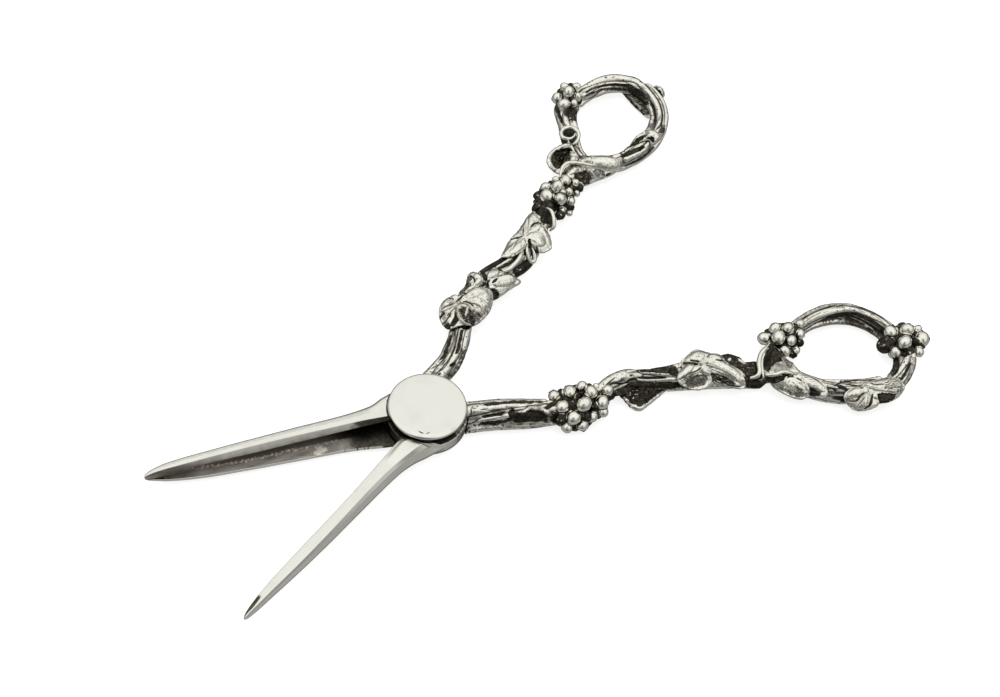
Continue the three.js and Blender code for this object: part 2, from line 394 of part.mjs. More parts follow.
function bunch(list, grow = 0) {
  let m = null;
  const cx = list.reduce((s, g) => s + g[0], 0) / list.length;
  const cy = list.reduce((s, g) => s + g[1], 0) / list.length;
  const cz = list.reduce((s, g) => s + g[2], 0) / list.length;
  const spread = Math.max(...list.map((g) => Math.hypot(g[0] - cx, g[1] - cy)));
  for (const [x, y, z, r] of list) {
    const g = new THREE.OctahedronGeometry((r + grow) * 1.1, 1);
    g.rotateZ(0.4 * x);
    g.translate(x, y, z);
    const s = solid(g);
    m = m ? m.add(s) : s;
  }
  const core = new THREE.OctahedronGeometry(1, 1);
  core.scale(spread * 0.86, spread * 0.55, 2.6);
  const far = list.reduce((a, g) => (Math.hypot(g[0] - cx, g[1] - cy) > Math.hypot(a[0] - cx, a[1] - cy) ? g : a));
  core.rotateZ(Math.atan2(far[1] - cy, far[0] - cx));
  core.translate(cx, cy, Math.max(cz - 0.4, 3.2));
  return m.add(solid(core));
}

const boxOf = (m) => { const b = m.boundingBox(); return [b.min, b.max]; };
const near = (a, b) => { const [p, q] = boxOf(a), [r, s] = boxOf(b); return [0, 1, 2].every((k) => p[k] < s[k] && r[k] < q[k]); };

// ---------------------------------------------------------------- blades
const axisOf = (deg, side) => {
  const d = new THREE.Vector3(Math.cos(rad(deg)), Math.sin(rad(deg)), 0);
  return [d, new THREE.Vector3(-d.y * side, d.x * side, 0)];
};

function channelBlade() {
  const [d, n] = axisOf(CHANNEL_AXIS, 1), T = CHANNEL;
  const flat = T.s.map((s, i) => {
    const o = T.out[i], ti = T.top[i], ce = T.cut[i], bi = T.bot[i], zt = T.zt[i], zb = T.zb[i];
    const h = zt - zb, lip = Math.min(1.2, h * 0.22), sole = Math.min(0.9, h * 0.2);
    const w = Math.min(0.8, (ti - o) * 0.45), k = T.deep[i];
    const back = (x) => x + (o + WALL - x) * k;
    return [[ti, zt], [o + w, zt], [o + w * 0.25, zt - w * 0.75], [o, zt - h * 0.34], [o, zb + h * 0.3], [o + w * 0.25, zb + w * 0.75],
      [o + w, zb], [bi, zb], [bi, zb + sole], [back(bi) + 0.5 * k, zb + sole], [back(bi), zb + sole + 0.6 * k],
      [back(ce), zt - lip - 0.6 * k], [back(ce) + 0.5 * k, zt - lip], [ce, zt - lip]]
      .map(([a, b]) => new THREE.Vector2(a, b));
  });
  const sections = flat.map((f, i) => f.map((q) => new THREE.Vector3(0, 0, q.y).addScaledVector(d, T.s[i]).addScaledVector(n, q.x)));
  return loft(sections, flat);
}

function tongueBlade() {
  const [d, n] = axisOf(TONGUE_AXIS, -1), T = TONGUE;
  const flat = T.s.map((s, i) => {
    const a = T.in[i], r = T.rdg[i], o = T.out[i], zt = T.zt[i], zb = T.zb[i], h = zt - zb;
    return [[a, zt - 0.08], [r + 0.25 * (a - r), zt], [r, zt - 0.12], [o + 0.2 * (r - o), zb + 0.5 * h], [o, zb + 0.16 * h], [o + 0.2, zb], [a - 0.1, zb], [a, zb + 0.12 * h]]
      .map(([p, q]) => new THREE.Vector2(p, q));
  });
  const sections = flat.map((f, i) => f.map((q) => new THREE.Vector3(0, 0, q.y).addScaledVector(d, T.s[i]).addScaledVector(n, q.x)));
  return loft(sections, flat);
}

// ---------------------------------------------------------------- build
const parts = new Map();
const SILVER = { color: 0xd9d6cc, roughness: 0.22, metalness: 1 };
const DARK = { color: 0xb4b0a6, roughness: 0.36, metalness: 1 };
const put = (name, m, look) => parts.set(name, { m, look });

const outerLow = drum(LAP_CLEAR_R, -1, LAP_A[0]);
const outerAll = drum(LAP_CLEAR_R, -1, 12);

// shanks run on inwards to the lap before being cut back to it
const shankA = [[6.4, -4.3, 3.85, 2.6], ...SHANK_A];
const shankB = [[6.2, 6.5, 3.85, 2.55], ...SHANK_B];
function tangA(grow = 0) {
  const { turn, from, to, half, z } = TANG_A;
  const g = new THREE.BoxGeometry(to - from + 2 * grow, 2 * (half + grow), z[1] - z[0] + 2 * grow);
  g.translate((from + to) / 2, 0, (z[0] + z[1]) / 2);
  g.rotateZ(rad(turn));
  return solid(g);
}
const pegB = [[7.2, 6.9, 2.6], [14.6, 10.1, 3.5]];

const channel = channelBlade().subtract(outerLow).add(drum(LAP_A_R, ...LAP_A)).add(tangA())
  .subtract(drum(PIN_FIXED_BORE, -1, 12, 24));
put('channel_blade', largest(channel), SILVER);
const tongue = tongueBlade().add(drum(LAP_R, ...LAP_B)).add(peg(...pegB, PEG_R))
  .subtract(drum(PIN_RUN_BORE, -1, 12, 24));
put('tongue_blade', largest(tongue), SILVER);

put('pivot_cap', turned([[0, 7.5], [PIN_FIXED_BORE, 7.5], [PIN_FIXED_BORE, CAP_Z0], [CAP_R - 0.25, CAP_Z0], [CAP_R, CAP_Z0 + 0.3],
  [CAP_R, CAP_Z1 - 0.35], [CAP_R - 0.35, CAP_Z1 - 0.05], [CAP_R - 1.0, CAP_Z1], [0, CAP_Z1]], 32), SILVER);
put('pivot_pin', drum(PIN_R, 0, 7.3, 24), SILVER);
put('pivot_boss', turned([[PIN_FIXED_BORE, 0], [BOSS_R - 0.4, 0], [BOSS_R, 0.4], [BOSS_R, BOSS_Z1], [PIN_FIXED_BORE, BOSS_Z1], [PIN_FIXED_BORE, 0]], 32), SILVER);

const bowA = rod(BOW_A, 8, 32, true), bowAFat = rod(BOW_A, 8, 32, true, GAP);
const bowB = rod(BOW_B, 8, 32, true), bowBFat = rod(BOW_B, 8, 32, true, GAP);
const stemA = rod(shankA, 8, 26).subtract(outerLow).subtract(drum(CAP_CLEAR_R, LAP_A[0], 12)).subtract(bowAFat).subtract(tangA(GAP));
const stemB = rod(shankB, 8, 26).subtract(drum(LAP_OWN_R, -1, LAP_A[0])).subtract(drum(CAP_CLEAR_R, LAP_A[0], 12)).subtract(bowBFat).subtract(peg(...pegB, PEG_R + GAP));
put('a_vine_shank', largest(stemA), DARK);
put('a_finger_bow', bowA, DARK);
put('b_vine_shank', largest(stemB), DARK);
put('b_finger_bow', bowB, DARK);

// applied ornament, each cut back from what is already in place
const keep = {
  a: [rod(shankA, 8, 26, false, GAP), bowAFat, outerAll],
  b: [rod(shankB, 8, 26, false, GAP), bowBFat, outerAll],
};
function apply(name, m, fat, look) {
  const arm = name[0];
  for (const k of keep[arm]) if (near(m, k)) m = m.subtract(k);
  keep[arm].push(fat);
  put(name, largest(m), look);
}
for (const [name, list] of Object.entries(GRAPES)) apply(name, bunch(list), bunch(list, GAP), DARK);
for (const [name, l] of Object.entries(LEAVES)) apply(name, leaf(l), leaf(l, 18, GAP), DARK);
for (const [name, path] of Object.entries(TENDRILS))
  apply(name, rod(path, 5, Math.round(path.length * 1.6)), rod(path, 5, Math.round(path.length * 1.6), false, GAP), SILVER);
{
  const [x, y, z, r] = BUD_B;
  const g = new THREE.IcosahedronGeometry(r, 1);
  g.scale(0.85, 1.25, 1);
  g.translate(x, y, z);
  apply('b_bud', solid(g), solid(g), DARK);
}

// ---------------------------------------------------------------- scene graph: one group per arm
const shears = new THREE.Group();
const channelArm = new THREE.Group(), tongueArm = new THREE.Group();
shears.add(channelArm, tongueArm);
for (const [name, { m, look }] of parts) {
  const mesh = new THREE.Mesh(geometryOf(m), new THREE.MeshStandardMaterial(look));
  mesh.name = name;
  (name.startsWith('b_') || name === 'tongue_blade' ? tongueArm : channelArm).add(mesh);
}

export default shears;
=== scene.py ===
# Grape shears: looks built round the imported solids. Millimetre tables, metres in the meshes.
import math
import bpy
import numpy as np
from mathutils import Matrix


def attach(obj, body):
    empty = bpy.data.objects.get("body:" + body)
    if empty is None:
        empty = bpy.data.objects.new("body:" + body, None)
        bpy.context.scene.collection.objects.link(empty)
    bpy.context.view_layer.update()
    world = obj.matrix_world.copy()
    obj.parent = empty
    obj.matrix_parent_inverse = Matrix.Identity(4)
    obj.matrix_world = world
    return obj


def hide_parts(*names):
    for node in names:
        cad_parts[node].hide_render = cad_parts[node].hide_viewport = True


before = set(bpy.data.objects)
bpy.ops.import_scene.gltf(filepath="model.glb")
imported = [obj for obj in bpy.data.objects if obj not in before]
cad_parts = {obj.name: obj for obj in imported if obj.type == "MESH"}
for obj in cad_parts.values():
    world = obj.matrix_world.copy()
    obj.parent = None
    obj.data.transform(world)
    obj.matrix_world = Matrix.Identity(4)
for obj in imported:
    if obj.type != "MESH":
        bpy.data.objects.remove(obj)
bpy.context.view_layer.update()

MM = 0.001
TAU = 2 * math.pi
ARM_A, ARM_B = "channel_arm", "tongue_arm"

# ------------------------------------------------------------------ tables, mm
CHANNEL = {
  "s":   [6.0, 9, 12, 16, 20, 25, 30, 35, 40, 45, 50, 55, 58, 61, 63.5, 65.2, 66.1],
  "out": [-7.2, -6.25, -4.9, -4.1, -3.75, -3.55, -3.42, -3.24, -3.06, -2.88, -2.66, -2.5, -2.4, -2.22, -1.85, -1.4, -0.85],
  "top": [-0.3, -0.45, -0.62, -0.8, -0.8, -0.8, -0.84, -0.85, -0.79, -0.68, -0.57, -0.45, -0.42, -0.45, -0.5, -0.45, -0.40],
  "cut": [0.2, 0.2, 0.2, 0.2, 0.25, 0.32, 0.38, 0.45, 0.5, 0.48, 0.43, 0.36, 0.22, 0.05, -0.2, -0.3, -0.36],
  "bot": [4.8, 4.7, 4.35, 3.75, 3.3, 3.0, 2.78, 2.55, 2.35, 2.08, 1.84, 1.42, 1.08, 0.68, 0.28, 0.0, -0.25],
  "zt":  [6.6, 6.6, 6.6, 6.6, 6.6, 6.6, 6.6, 6.55, 6.5, 6.45, 6.35, 6.2, 6.0, 5.7, 5.25, 4.75, 4.30],
  "zb":  [1.1, 1.1, 1.1, 1.1, 1.1, 1.1, 1.1, 1.15, 1.2, 1.25, 1.35, 1.5, 1.7, 2.0, 2.5, 3.0, 3.55],
  "deep":[1, 1, 1, 1, 1, 1, 1, 1, 1, 1, 1, 1, 1, 0.95, 0.8, 0.45, 0.1],
}
TONGUE = {
  "s":   [3.5, 6.0, 9, 12, 16, 20, 25, 30, 35, 40, 45, 50, 55, 58, 61, 63.5, 65.5, 66.7, 67.3],
  "in":  [0.5, 0.5, 0.46, 0.44, 0.36, 0.28, 0.2, 0.14, 0.2, 0.3, 0.42, 0.5, 0.53, 0.5, 0.38, 0.2, -0.02, -0.25, -0.48],
  "rdg": [-5.6, -4.6, -4.05, -3.45, -2.85, -2.5, -2.3, -2.25, -2.2, -2.12, -1.98, -1.78, -1.5, -1.32, -1.14, -0.98, -0.82, -0.76, -0.70],
  "out": [-8.7, -7.6, -6.5, -5.3, -4.45, -4.12, -3.85, -3.66, -3.46, -3.24, -2.96, -2.62, -2.22, -1.96, -1.72, -1.5, -1.28, -1.1, -0.86],
  "zt":  [5.0, 5.0, 5.0, 5.06, 5.12, 5.15, 5.1, 5.1, 5.05, 5.0, 4.95, 4.9, 4.85, 4.8, 4.7, 4.6, 4.45, 4.3, 4.05],
  "zb":  [2.3, 2.3, 2.3, 2.3, 2.35, 2.4, 2.4, 2.45, 2.5, 2.5, 2.55, 2.6, 2.65, 2.7, 2.75, 2.8, 2.9, 3.05, 3.3],
}
# centre lines of shanks and bows: x, y, z, radius
SHANK_A = [
    [9.44, -6.03, 3.85, 2.9], [12.05, -7.64, 3.85, 3.0], [15.53, -9.87, 3.9, 2.95], [19.54, -12.67, 3.9, 2.85],
    [23.55, -15.28, 3.9, 2.6], [27.61, -17.24, 3.8, 2.3], [31.62, -18.04, 3.8, 2.2], [35.63, -17.94, 3.8, 2.1],
    [39.59, -17.48, 3.9, 2.0], [43.6, -17.38, 3.9, 1.95], [47.16, -18.84, 3.8, 1.8], [50.73, -21.1, 3.7, 1.95],
    [54.24, -23.51, 3.7, 2.1], [57.74, -25.21, 3.7, 2.2], [61.81, -27.17, 3.6, 2.2], [65.83, -29.68, 3.6, 2.2],
    [69.4, -32.34, 3.5, 2.1], [72.41, -34.85, 3.5, 2.1], [74.17, -36.31, 3.4, 2.1],
]
BOW_A = [
    [75.38, -36.21, 3.4, 2.1], [77.58, -33.9, 3.4, 1.9], [80.99, -31.7, 3.4, 1.9], [85.01, -30.49, 3.4, 1.95],
    [89.52, -29.69, 3.4, 2.0], [94.04, -29.49, 3.4, 2.0], [98.05, -30.39, 3.4, 2.0], [101.56, -32.3, 3.4, 2.0],
    [104.07, -35.31, 3.4, 2.0], [105.68, -39.32, 3.4, 1.95], [106.28, -43.34, 3.4, 1.9], [106.08, -47.35, 3.4, 1.9],
    [104.67, -50.66, 3.4, 1.95], [102.06, -53.37, 3.4, 1.95], [98.55, -55.18, 3.4, 2.0], [94.54, -54.77, 3.4, 2.0],
    [90.53, -52.77, 3.4, 2.0], [87.01, -50.36, 3.4, 2.0], [84.0, -47.95, 3.4, 2.0], [81.5, -44.84, 3.4, 2.0],
    [79.29, -41.33, 3.4, 2.0], [77.18, -38.62, 3.4, 2.1],
]
SHANK_B = [
    [9.34, 7.5, 3.85, 2.4], [12.25, 8.5, 3.85, 2.4], [15.83, 9.98, 3.9, 2.4], [18.84, 12.09, 3.9, 2.4],
    [21.15, 14.49, 3.9, 2.4], [23.3, 17.25, 3.8, 2.45], [26.16, 20.01, 3.7, 2.4], [30.17, 21.92, 3.7, 2.4],
    [34.68, 23.32, 3.7, 2.5], [39.7, 23.52, 3.7, 2.7], [44.71, 23.62, 3.7, 2.7], [48.72, 25.23, 3.7, 2.5],
    [52.73, 27.53, 3.7, 2.4], [56.74, 29.74, 3.7, 2.3], [60.75, 32.15, 3.7, 2.3], [64.82, 34.01, 3.6, 2.3],
    [68.83, 35.81, 3.6, 2.2], [72.41, 37.48, 3.5, 2.2], [75.21, 38.88, 3.5, 2.1],
]
BOW_B = [
    [77.18, 40.14, 3.4, 2.1], [78.39, 43.76, 3.4, 1.9], [79.39, 47.17, 3.4, 1.9], [81.3, 50.58, 3.4, 1.9],
    [83.6, 54.29, 3.4, 1.9], [86.51, 57.0, 3.4, 1.9], [90.33, 57.2, 3.4, 1.95], [94.04, 56.5, 3.4, 1.95],
    [97.85, 56.0, 3.4, 1.95], [101.16, 54.79, 3.4, 1.9], [103.77, 52.79, 3.4, 1.9], [105.58, 49.78, 3.4, 1.95],
    [106.48, 46.47, 3.4, 2.0], [105.68, 42.95, 3.4, 2.0], [103.87, 39.74, 3.4, 2.0], [101.06, 37.23, 3.4, 2.0],
    [97.55, 35.73, 3.4, 2.0], [93.54, 34.83, 3.4, 2.1], [89.52, 34.33, 3.4, 2.2], [85.51, 34.73, 3.4, 2.1],
    [82.0, 36.13, 3.4, 2.1], [79.29, 37.94, 3.4, 2.1],
]
# strands of the shanks and bows: x, y, z, radius
STRANDS = {
    "SHANK_A": [
        [[7.22, -2.88, 4.95, 0.95], [10.85, -5.06, 5.32, 0.95], [14.9, -7.1, 5.21, 0.95], [18.86, -9.74, 5.28, 0.95], [22.36, -12.14, 5.28, 0.9], [25.9, -14.29, 5.19, 0.8]],
        [[6.4, -4.6, 5.0, 1.6], [9.86, -6.44, 5.29, 1.65], [13.74, -8.47, 5.55, 1.45], [17.12, -10.37, 5.77, 1.15], [20.04, -12.14, 5.92, 0.85], [23.86, -13.73, 5.27, 0.75], [28.05, -15.55, 4.9, 0.8]],
        [[4.78, -5.64, 2.44, 1.3], [7.01, -6.43, 2.83, 1.2], [9.29, -8.39, 4.38, 0.95], [12.43, -10.27, 5.14, 0.75], [15.17, -11.73, 5.67, 0.6], [17.49, -13.1, 6.04, 0.4]],
        [[4.16, -6.83, 1.59, 1.1], [6.37, -7.45, 2.04, 1.15], [10.33, -9.53, 2.18, 1.1], [14.31, -11.99, 2.27, 1.0], [18.3, -14.64, 2.34, 0.9], [22.19, -16.77, 2.6, 0.85], [26.15, -18.54, 2.73, 0.85], [30.09, -19.61, 2.88, 0.8]],
        [[34.6, -17.71, 4.82, 1.2], [37.71, -17.37, 4.61, 1.35], [40.35, -17.09, 4.34, 1.6], [43.4, -17.35, 4.26, 1.75], [46.04, -18.12, 4.2, 1.6], [47.82, -19.52, 4.61, 1.1], [49.18, -20.81, 5.03, 0.6]],
        [[36.03, -19.13, 4.0, 1.0], [38.99, -18.57, 4.09, 1.1], [42.35, -18.36, 3.42, 1.15], [45.21, -19.04, 3.15, 1.0], [48.06, -20.51, 3.08, 0.8]],
        [[37.53, -18.58, 4.95, 0.8], [39.91, -18.91, 3.3, 0.95], [41.22, -19.73, 2.92, 0.75]],
        [[45.79, -18.01, 5.02, 0.8], [48.36, -19.53, 5.07, 0.68], [50.92, -21.67, 5.15, 0.62], [53.89, -24.09, 5.2, 0.62], [57.49, -26.21, 5.02, 0.7]],
        [[45.44, -19.0, 4.56, 0.8], [47.99, -20.67, 4.3, 0.72], [50.95, -22.81, 4.37, 0.7], [54.31, -25.15, 4.44, 0.7], [57.59, -26.94, 3.97, 0.7]],
        [[46.47, -18.72, 5.05, 0.7], [50.11, -20.06, 4.81, 0.85], [53.76, -21.74, 4.54, 0.95], [57.61, -23.31, 4.8, 1.0], [61.67, -25.27, 4.72, 1.0], [65.77, -28.0, 4.55, 1.0], [69.4, -30.9, 4.32, 1.0], [72.93, -33.89, 4.28, 1.0]],
        [[43.51, -18.73, 3.13, 0.9], [47.8, -21.11, 2.64, 1.1], [52.33, -24.12, 2.63, 1.25], [56.53, -26.99, 2.31, 1.25], [60.73, -29.27, 2.01, 1.2], [64.8, -31.85, 1.93, 1.15], [68.82, -34.68, 1.94, 1.1], [72.79, -37.64, 2.03, 1.05], [75.48, -40.18, 2.57, 1.0]],
        [[58.53, -26.78, 4.07, 1.2], [62.62, -28.92, 3.93, 1.2], [66.66, -31.71, 3.88, 1.1], [70.17, -34.51, 3.88, 1.0], [73.64, -37.35, 3.95, 1.0]],
    ],
    "BOW_A": [
        [[84.54, -29.62, 4.14, 0.9], [88.54, -28.82, 4.16, 0.9], [92.88, -28.74, 4.42, 0.9], [97.43, -29.31, 4.34, 0.9], [100.74, -30.97, 4.49, 0.9], [103.58, -33.36, 4.44, 0.9], [105.65, -36.25, 4.18, 0.88], [106.91, -39.58, 4.25, 0.85], [107.56, -42.92, 4.33, 0.85], [107.94, -46.79, 4.5, 0.9], [107.1, -50.3, 4.26, 0.85], [105.15, -53.36, 3.88, 0.7], [102.6, -55.21, 3.49, 0.65], [99.41, -56.42, 3.77, 0.7], [95.56, -56.67, 2.6, 0.8], [91.72, -55.36, 2.33, 0.9], [88.17, -53.31, 2.22, 0.9], [84.91, -51.39, 1.96, 0.85], [81.93, -48.75, 1.9, 0.85], [79.18, -45.28, 1.79, 0.9], [76.74, -41.47, 1.83, 0.95]],
        [[85.34, -30.76, 4.47, 1.0], [89.84, -30.06, 4.47, 1.0], [94.39, -30.03, 4.39, 1.05], [98.41, -31.03, 4.38, 1.05], [101.75, -32.77, 4.48, 1.05], [104.24, -35.58, 4.5, 1.05], [105.82, -39.0, 4.53, 0.95], [106.81, -42.34, 4.39, 0.9], [106.81, -46.35, 4.4, 0.9], [105.86, -50.12, 4.31, 0.9], [103.5, -52.32, 4.56, 0.92], [101.0, -53.46, 4.4, 0.95], [98.11, -54.39, 4.22, 0.95], [94.26, -54.85, 4.61, 0.95], [90.6, -53.28, 4.7, 0.8], [87.12, -51.23, 4.82, 0.6], [84.1, -48.83, 4.83, 0.6], [81.62, -45.86, 4.65, 0.8], [79.33, -42.17, 4.46, 1.0], [76.85, -38.83, 4.59, 1.0]],
        [[87.26, -31.32, 3.01, 0.8], [91.92, -31.03, 2.79, 0.8], [96.62, -31.98, 2.21, 0.8], [100.23, -33.76, 1.92, 0.8], [102.87, -36.73, 2.04, 0.8], [104.27, -40.22, 2.2, 0.8], [104.77, -43.91, 2.35, 0.8], [104.27, -47.59, 2.51, 0.8], [102.58, -50.37, 2.92, 0.8], [99.64, -52.57, 3.42, 0.8], [95.57, -53.66, 4.13, 0.8]],
        [[80.34, -46.39, 2.03, 0.55], [82.69, -48.81, 2.28, 0.55], [85.22, -50.77, 2.43, 0.55], [87.51, -52.77, 3.41, 0.5]],
        [[80.88, -46.01, 4.55, 0.5], [83.2, -48.57, 4.68, 0.52], [86.14, -50.81, 4.78, 0.52], [89.44, -52.77, 4.94, 0.5]],
        [[81.77, -44.49, 4.74, 0.75], [84.81, -46.94, 4.35, 0.75], [88.33, -49.39, 4.49, 0.75], [92.24, -51.65, 4.63, 0.75], [96.34, -53.0, 4.49, 0.7]],
    ],
    "SHANK_B": [
        [[7.05, 9.08, 4.48, 0.55], [8.52, 9.54, 4.54, 0.55], [10.51, 9.99, 4.55, 0.5], [12.48, 11.05, 4.62, 0.5], [14.52, 12.39, 4.55, 0.5], [16.69, 13.88, 4.19, 0.55], [18.85, 15.51, 3.88, 0.6], [21.8, 18.46, 3.79, 0.8], [25.19, 21.01, 4.63, 0.9], [28.93, 22.32, 5.14, 0.9]],
        [[6.51, 8.15, 4.33, 1.5], [10.32, 9.3, 4.33, 1.45], [13.3, 10.53, 4.37, 1.4], [16.92, 12.96, 4.13, 1.35], [20.07, 15.72, 3.84, 1.35], [23.17, 18.39, 4.66, 1.35], [27.06, 20.76, 4.89, 1.35], [31.0, 22.21, 4.99, 1.3], [34.92, 23.12, 5.15, 1.2]],
        [[7.91, 6.2, 5.19, 1.1], [10.96, 7.25, 5.09, 1.1], [13.88, 8.47, 5.25, 1.05], [17.3, 10.78, 5.41, 1.05], [20.39, 13.58, 5.42, 1.05], [23.38, 16.47, 5.24, 1.05], [27.24, 19.26, 4.52, 1.05], [31.26, 20.88, 4.49, 1.0]],
        [[10.18, 6.16, 3.35, 1.15], [13.3, 7.17, 3.33, 1.15], [15.93, 8.47, 4.11, 1.15], [18.61, 10.71, 4.98, 1.15], [21.94, 13.65, 4.72, 1.15], [25.62, 17.07, 3.76, 1.15], [29.98, 19.85, 3.09, 1.15], [34.1, 21.16, 2.89, 1.2]],
        [[28.16, 22.37, 4.69, 1.0], [31.13, 23.54, 4.75, 1.0], [34.8, 24.92, 4.44, 0.95], [38.19, 25.2, 4.65, 0.9], [41.66, 25.26, 4.71, 0.9], [45.28, 26.19, 4.49, 0.95], [49.44, 28.65, 4.21, 0.95]],
        [[36.69, 23.46, 5.96, 0.5], [39.94, 23.77, 6.05, 0.5], [43.47, 24.0, 5.98, 0.5], [46.82, 24.91, 5.69, 0.6], [49.64, 26.23, 5.65, 0.6]],
        [[36.39, 22.48, 5.39, 0.8], [39.81, 22.26, 5.35, 0.75], [42.77, 22.16, 5.43, 0.72], [45.45, 22.84, 5.64, 0.66], [47.39, 24.38, 5.75, 0.6], [49.62, 25.81, 5.68, 0.6]],
        [[35.22, 21.18, 2.67, 1.4], [38.7, 21.75, 2.74, 1.6], [42.15, 21.97, 2.87, 1.65], [45.58, 22.09, 3.03, 1.6], [48.49, 22.99, 3.22, 1.5], [51.42, 24.72, 3.36, 1.4], [54.91, 27.3, 3.4, 1.3], [58.67, 29.47, 3.83, 1.2]],
        [[51.99, 27.39, 5.02, 1.2], [56.09, 29.89, 4.84, 1.2], [60.13, 32.53, 4.77, 1.2], [66.28, 35.47, 4.53, 1.2], [71.26, 37.45, 4.57, 1.2]],
        [[52.18, 25.98, 4.68, 1.1], [57.5, 28.69, 4.13, 1.1], [63.05, 31.43, 3.2, 1.1], [69.12, 34.09, 3.11, 1.1], [74.15, 36.51, 3.1, 1.1]],
    ],
    "BOW_B": [
        [[88.34, 57.14, 4.46, 1.0], [93.1, 57.63, 4.08, 1.1], [97.44, 57.37, 4.33, 1.22], [100.78, 56.15, 4.28, 1.45], [103.39, 54.25, 4.12, 1.45], [105.34, 51.88, 4.06, 1.4], [105.71, 49.26, 4.25, 1.25], [105.86, 47.01, 4.32, 1.05], [105.31, 43.97, 4.39, 0.95], [104.11, 41.16, 4.39, 0.95], [102.26, 38.71, 4.47, 0.95], [99.86, 36.63, 4.61, 0.95], [97.2, 35.17, 4.7, 0.8], [94.79, 34.26, 4.55, 0.8], [91.38, 33.44, 4.4, 0.85], [87.83, 33.4, 4.48, 0.9], [84.48, 34.04, 4.24, 1.0]],
        [[89.03, 55.91, 4.18, 0.5], [92.67, 55.91, 4.74, 0.52], [96.56, 55.81, 4.91, 0.52], [99.74, 54.73, 4.79, 0.52], [102.21, 53.1, 4.68, 0.5], [103.75, 51.23, 4.63, 0.5]],
        [[88.42, 55.07, 1.98, 0.95], [92.09, 55.74, 2.53, 0.95], [95.97, 55.13, 3.51, 0.95], [99.7, 54.32, 3.03, 0.95], [102.4, 52.88, 2.59, 0.95], [104.08, 50.53, 2.49, 0.95], [104.85, 47.67, 2.24, 0.95], [104.24, 44.47, 2.55, 0.85], [102.91, 41.85, 2.89, 0.8], [100.58, 39.67, 3.52, 0.75], [97.61, 37.75, 4.07, 0.75], [94.01, 36.76, 4.22, 0.65], [90.5, 35.95, 4.23, 0.65], [86.09, 35.09, 4.85, 0.75], [82.63, 35.92, 4.8, 0.85]],
        [[106.55, 51.03, 4.63, 0.7], [107.09, 49.67, 4.57, 0.7], [107.4, 48.36, 4.41, 0.7], [107.17, 45.24, 4.6, 0.72], [106.38, 42.14, 4.44, 0.75], [104.62, 39.17, 4.37, 0.8], [102.38, 36.81, 4.13, 0.85], [100.26, 35.4, 3.1, 0.9], [97.26, 33.99, 2.76, 0.95], [93.52, 33.15, 2.65, 1.0], [89.54, 32.89, 2.58, 1.0], [85.61, 33.27, 2.44, 1.0], [82.16, 34.54, 2.34, 1.0]],
        [[84.47, 35.07, 5.05, 0.6], [87.94, 35.09, 5.1, 0.48], [91.48, 35.34, 5.02, 0.46], [94.45, 35.4, 5.08, 0.46], [96.75, 34.73, 4.77, 0.6], [98.56, 35.54, 4.76, 0.7]],
        [[77.38, 42.87, 4.39, 0.9], [78.11, 45.7, 4.34, 0.85], [79.49, 48.98, 4.37, 0.85], [81.11, 52.6, 3.7, 0.85], [82.97, 56.07, 3.29, 0.85], [85.26, 57.86, 3.63, 0.9], [88.51, 58.1, 4.2, 0.95]],
        [[78.14, 37.52, 4.12, 1.0], [77.89, 40.87, 4.37, 1.0], [78.77, 44.36, 4.41, 1.0], [80.67, 47.96, 4.08, 1.0], [81.61, 50.91, 4.5, 0.95], [83.2, 53.3, 4.52, 0.9], [86.08, 55.77, 4.09, 0.9]],
        [[79.32, 36.9, 4.49, 0.9], [78.98, 40.75, 4.07, 0.8], [79.91, 43.89, 4.01, 0.8], [82.35, 47.63, 3.96, 0.8], [84.07, 50.85, 3.93, 0.85], [86.48, 53.46, 3.61, 0.9], [90.19, 55.65, 2.35, 0.9]],
    ],
}
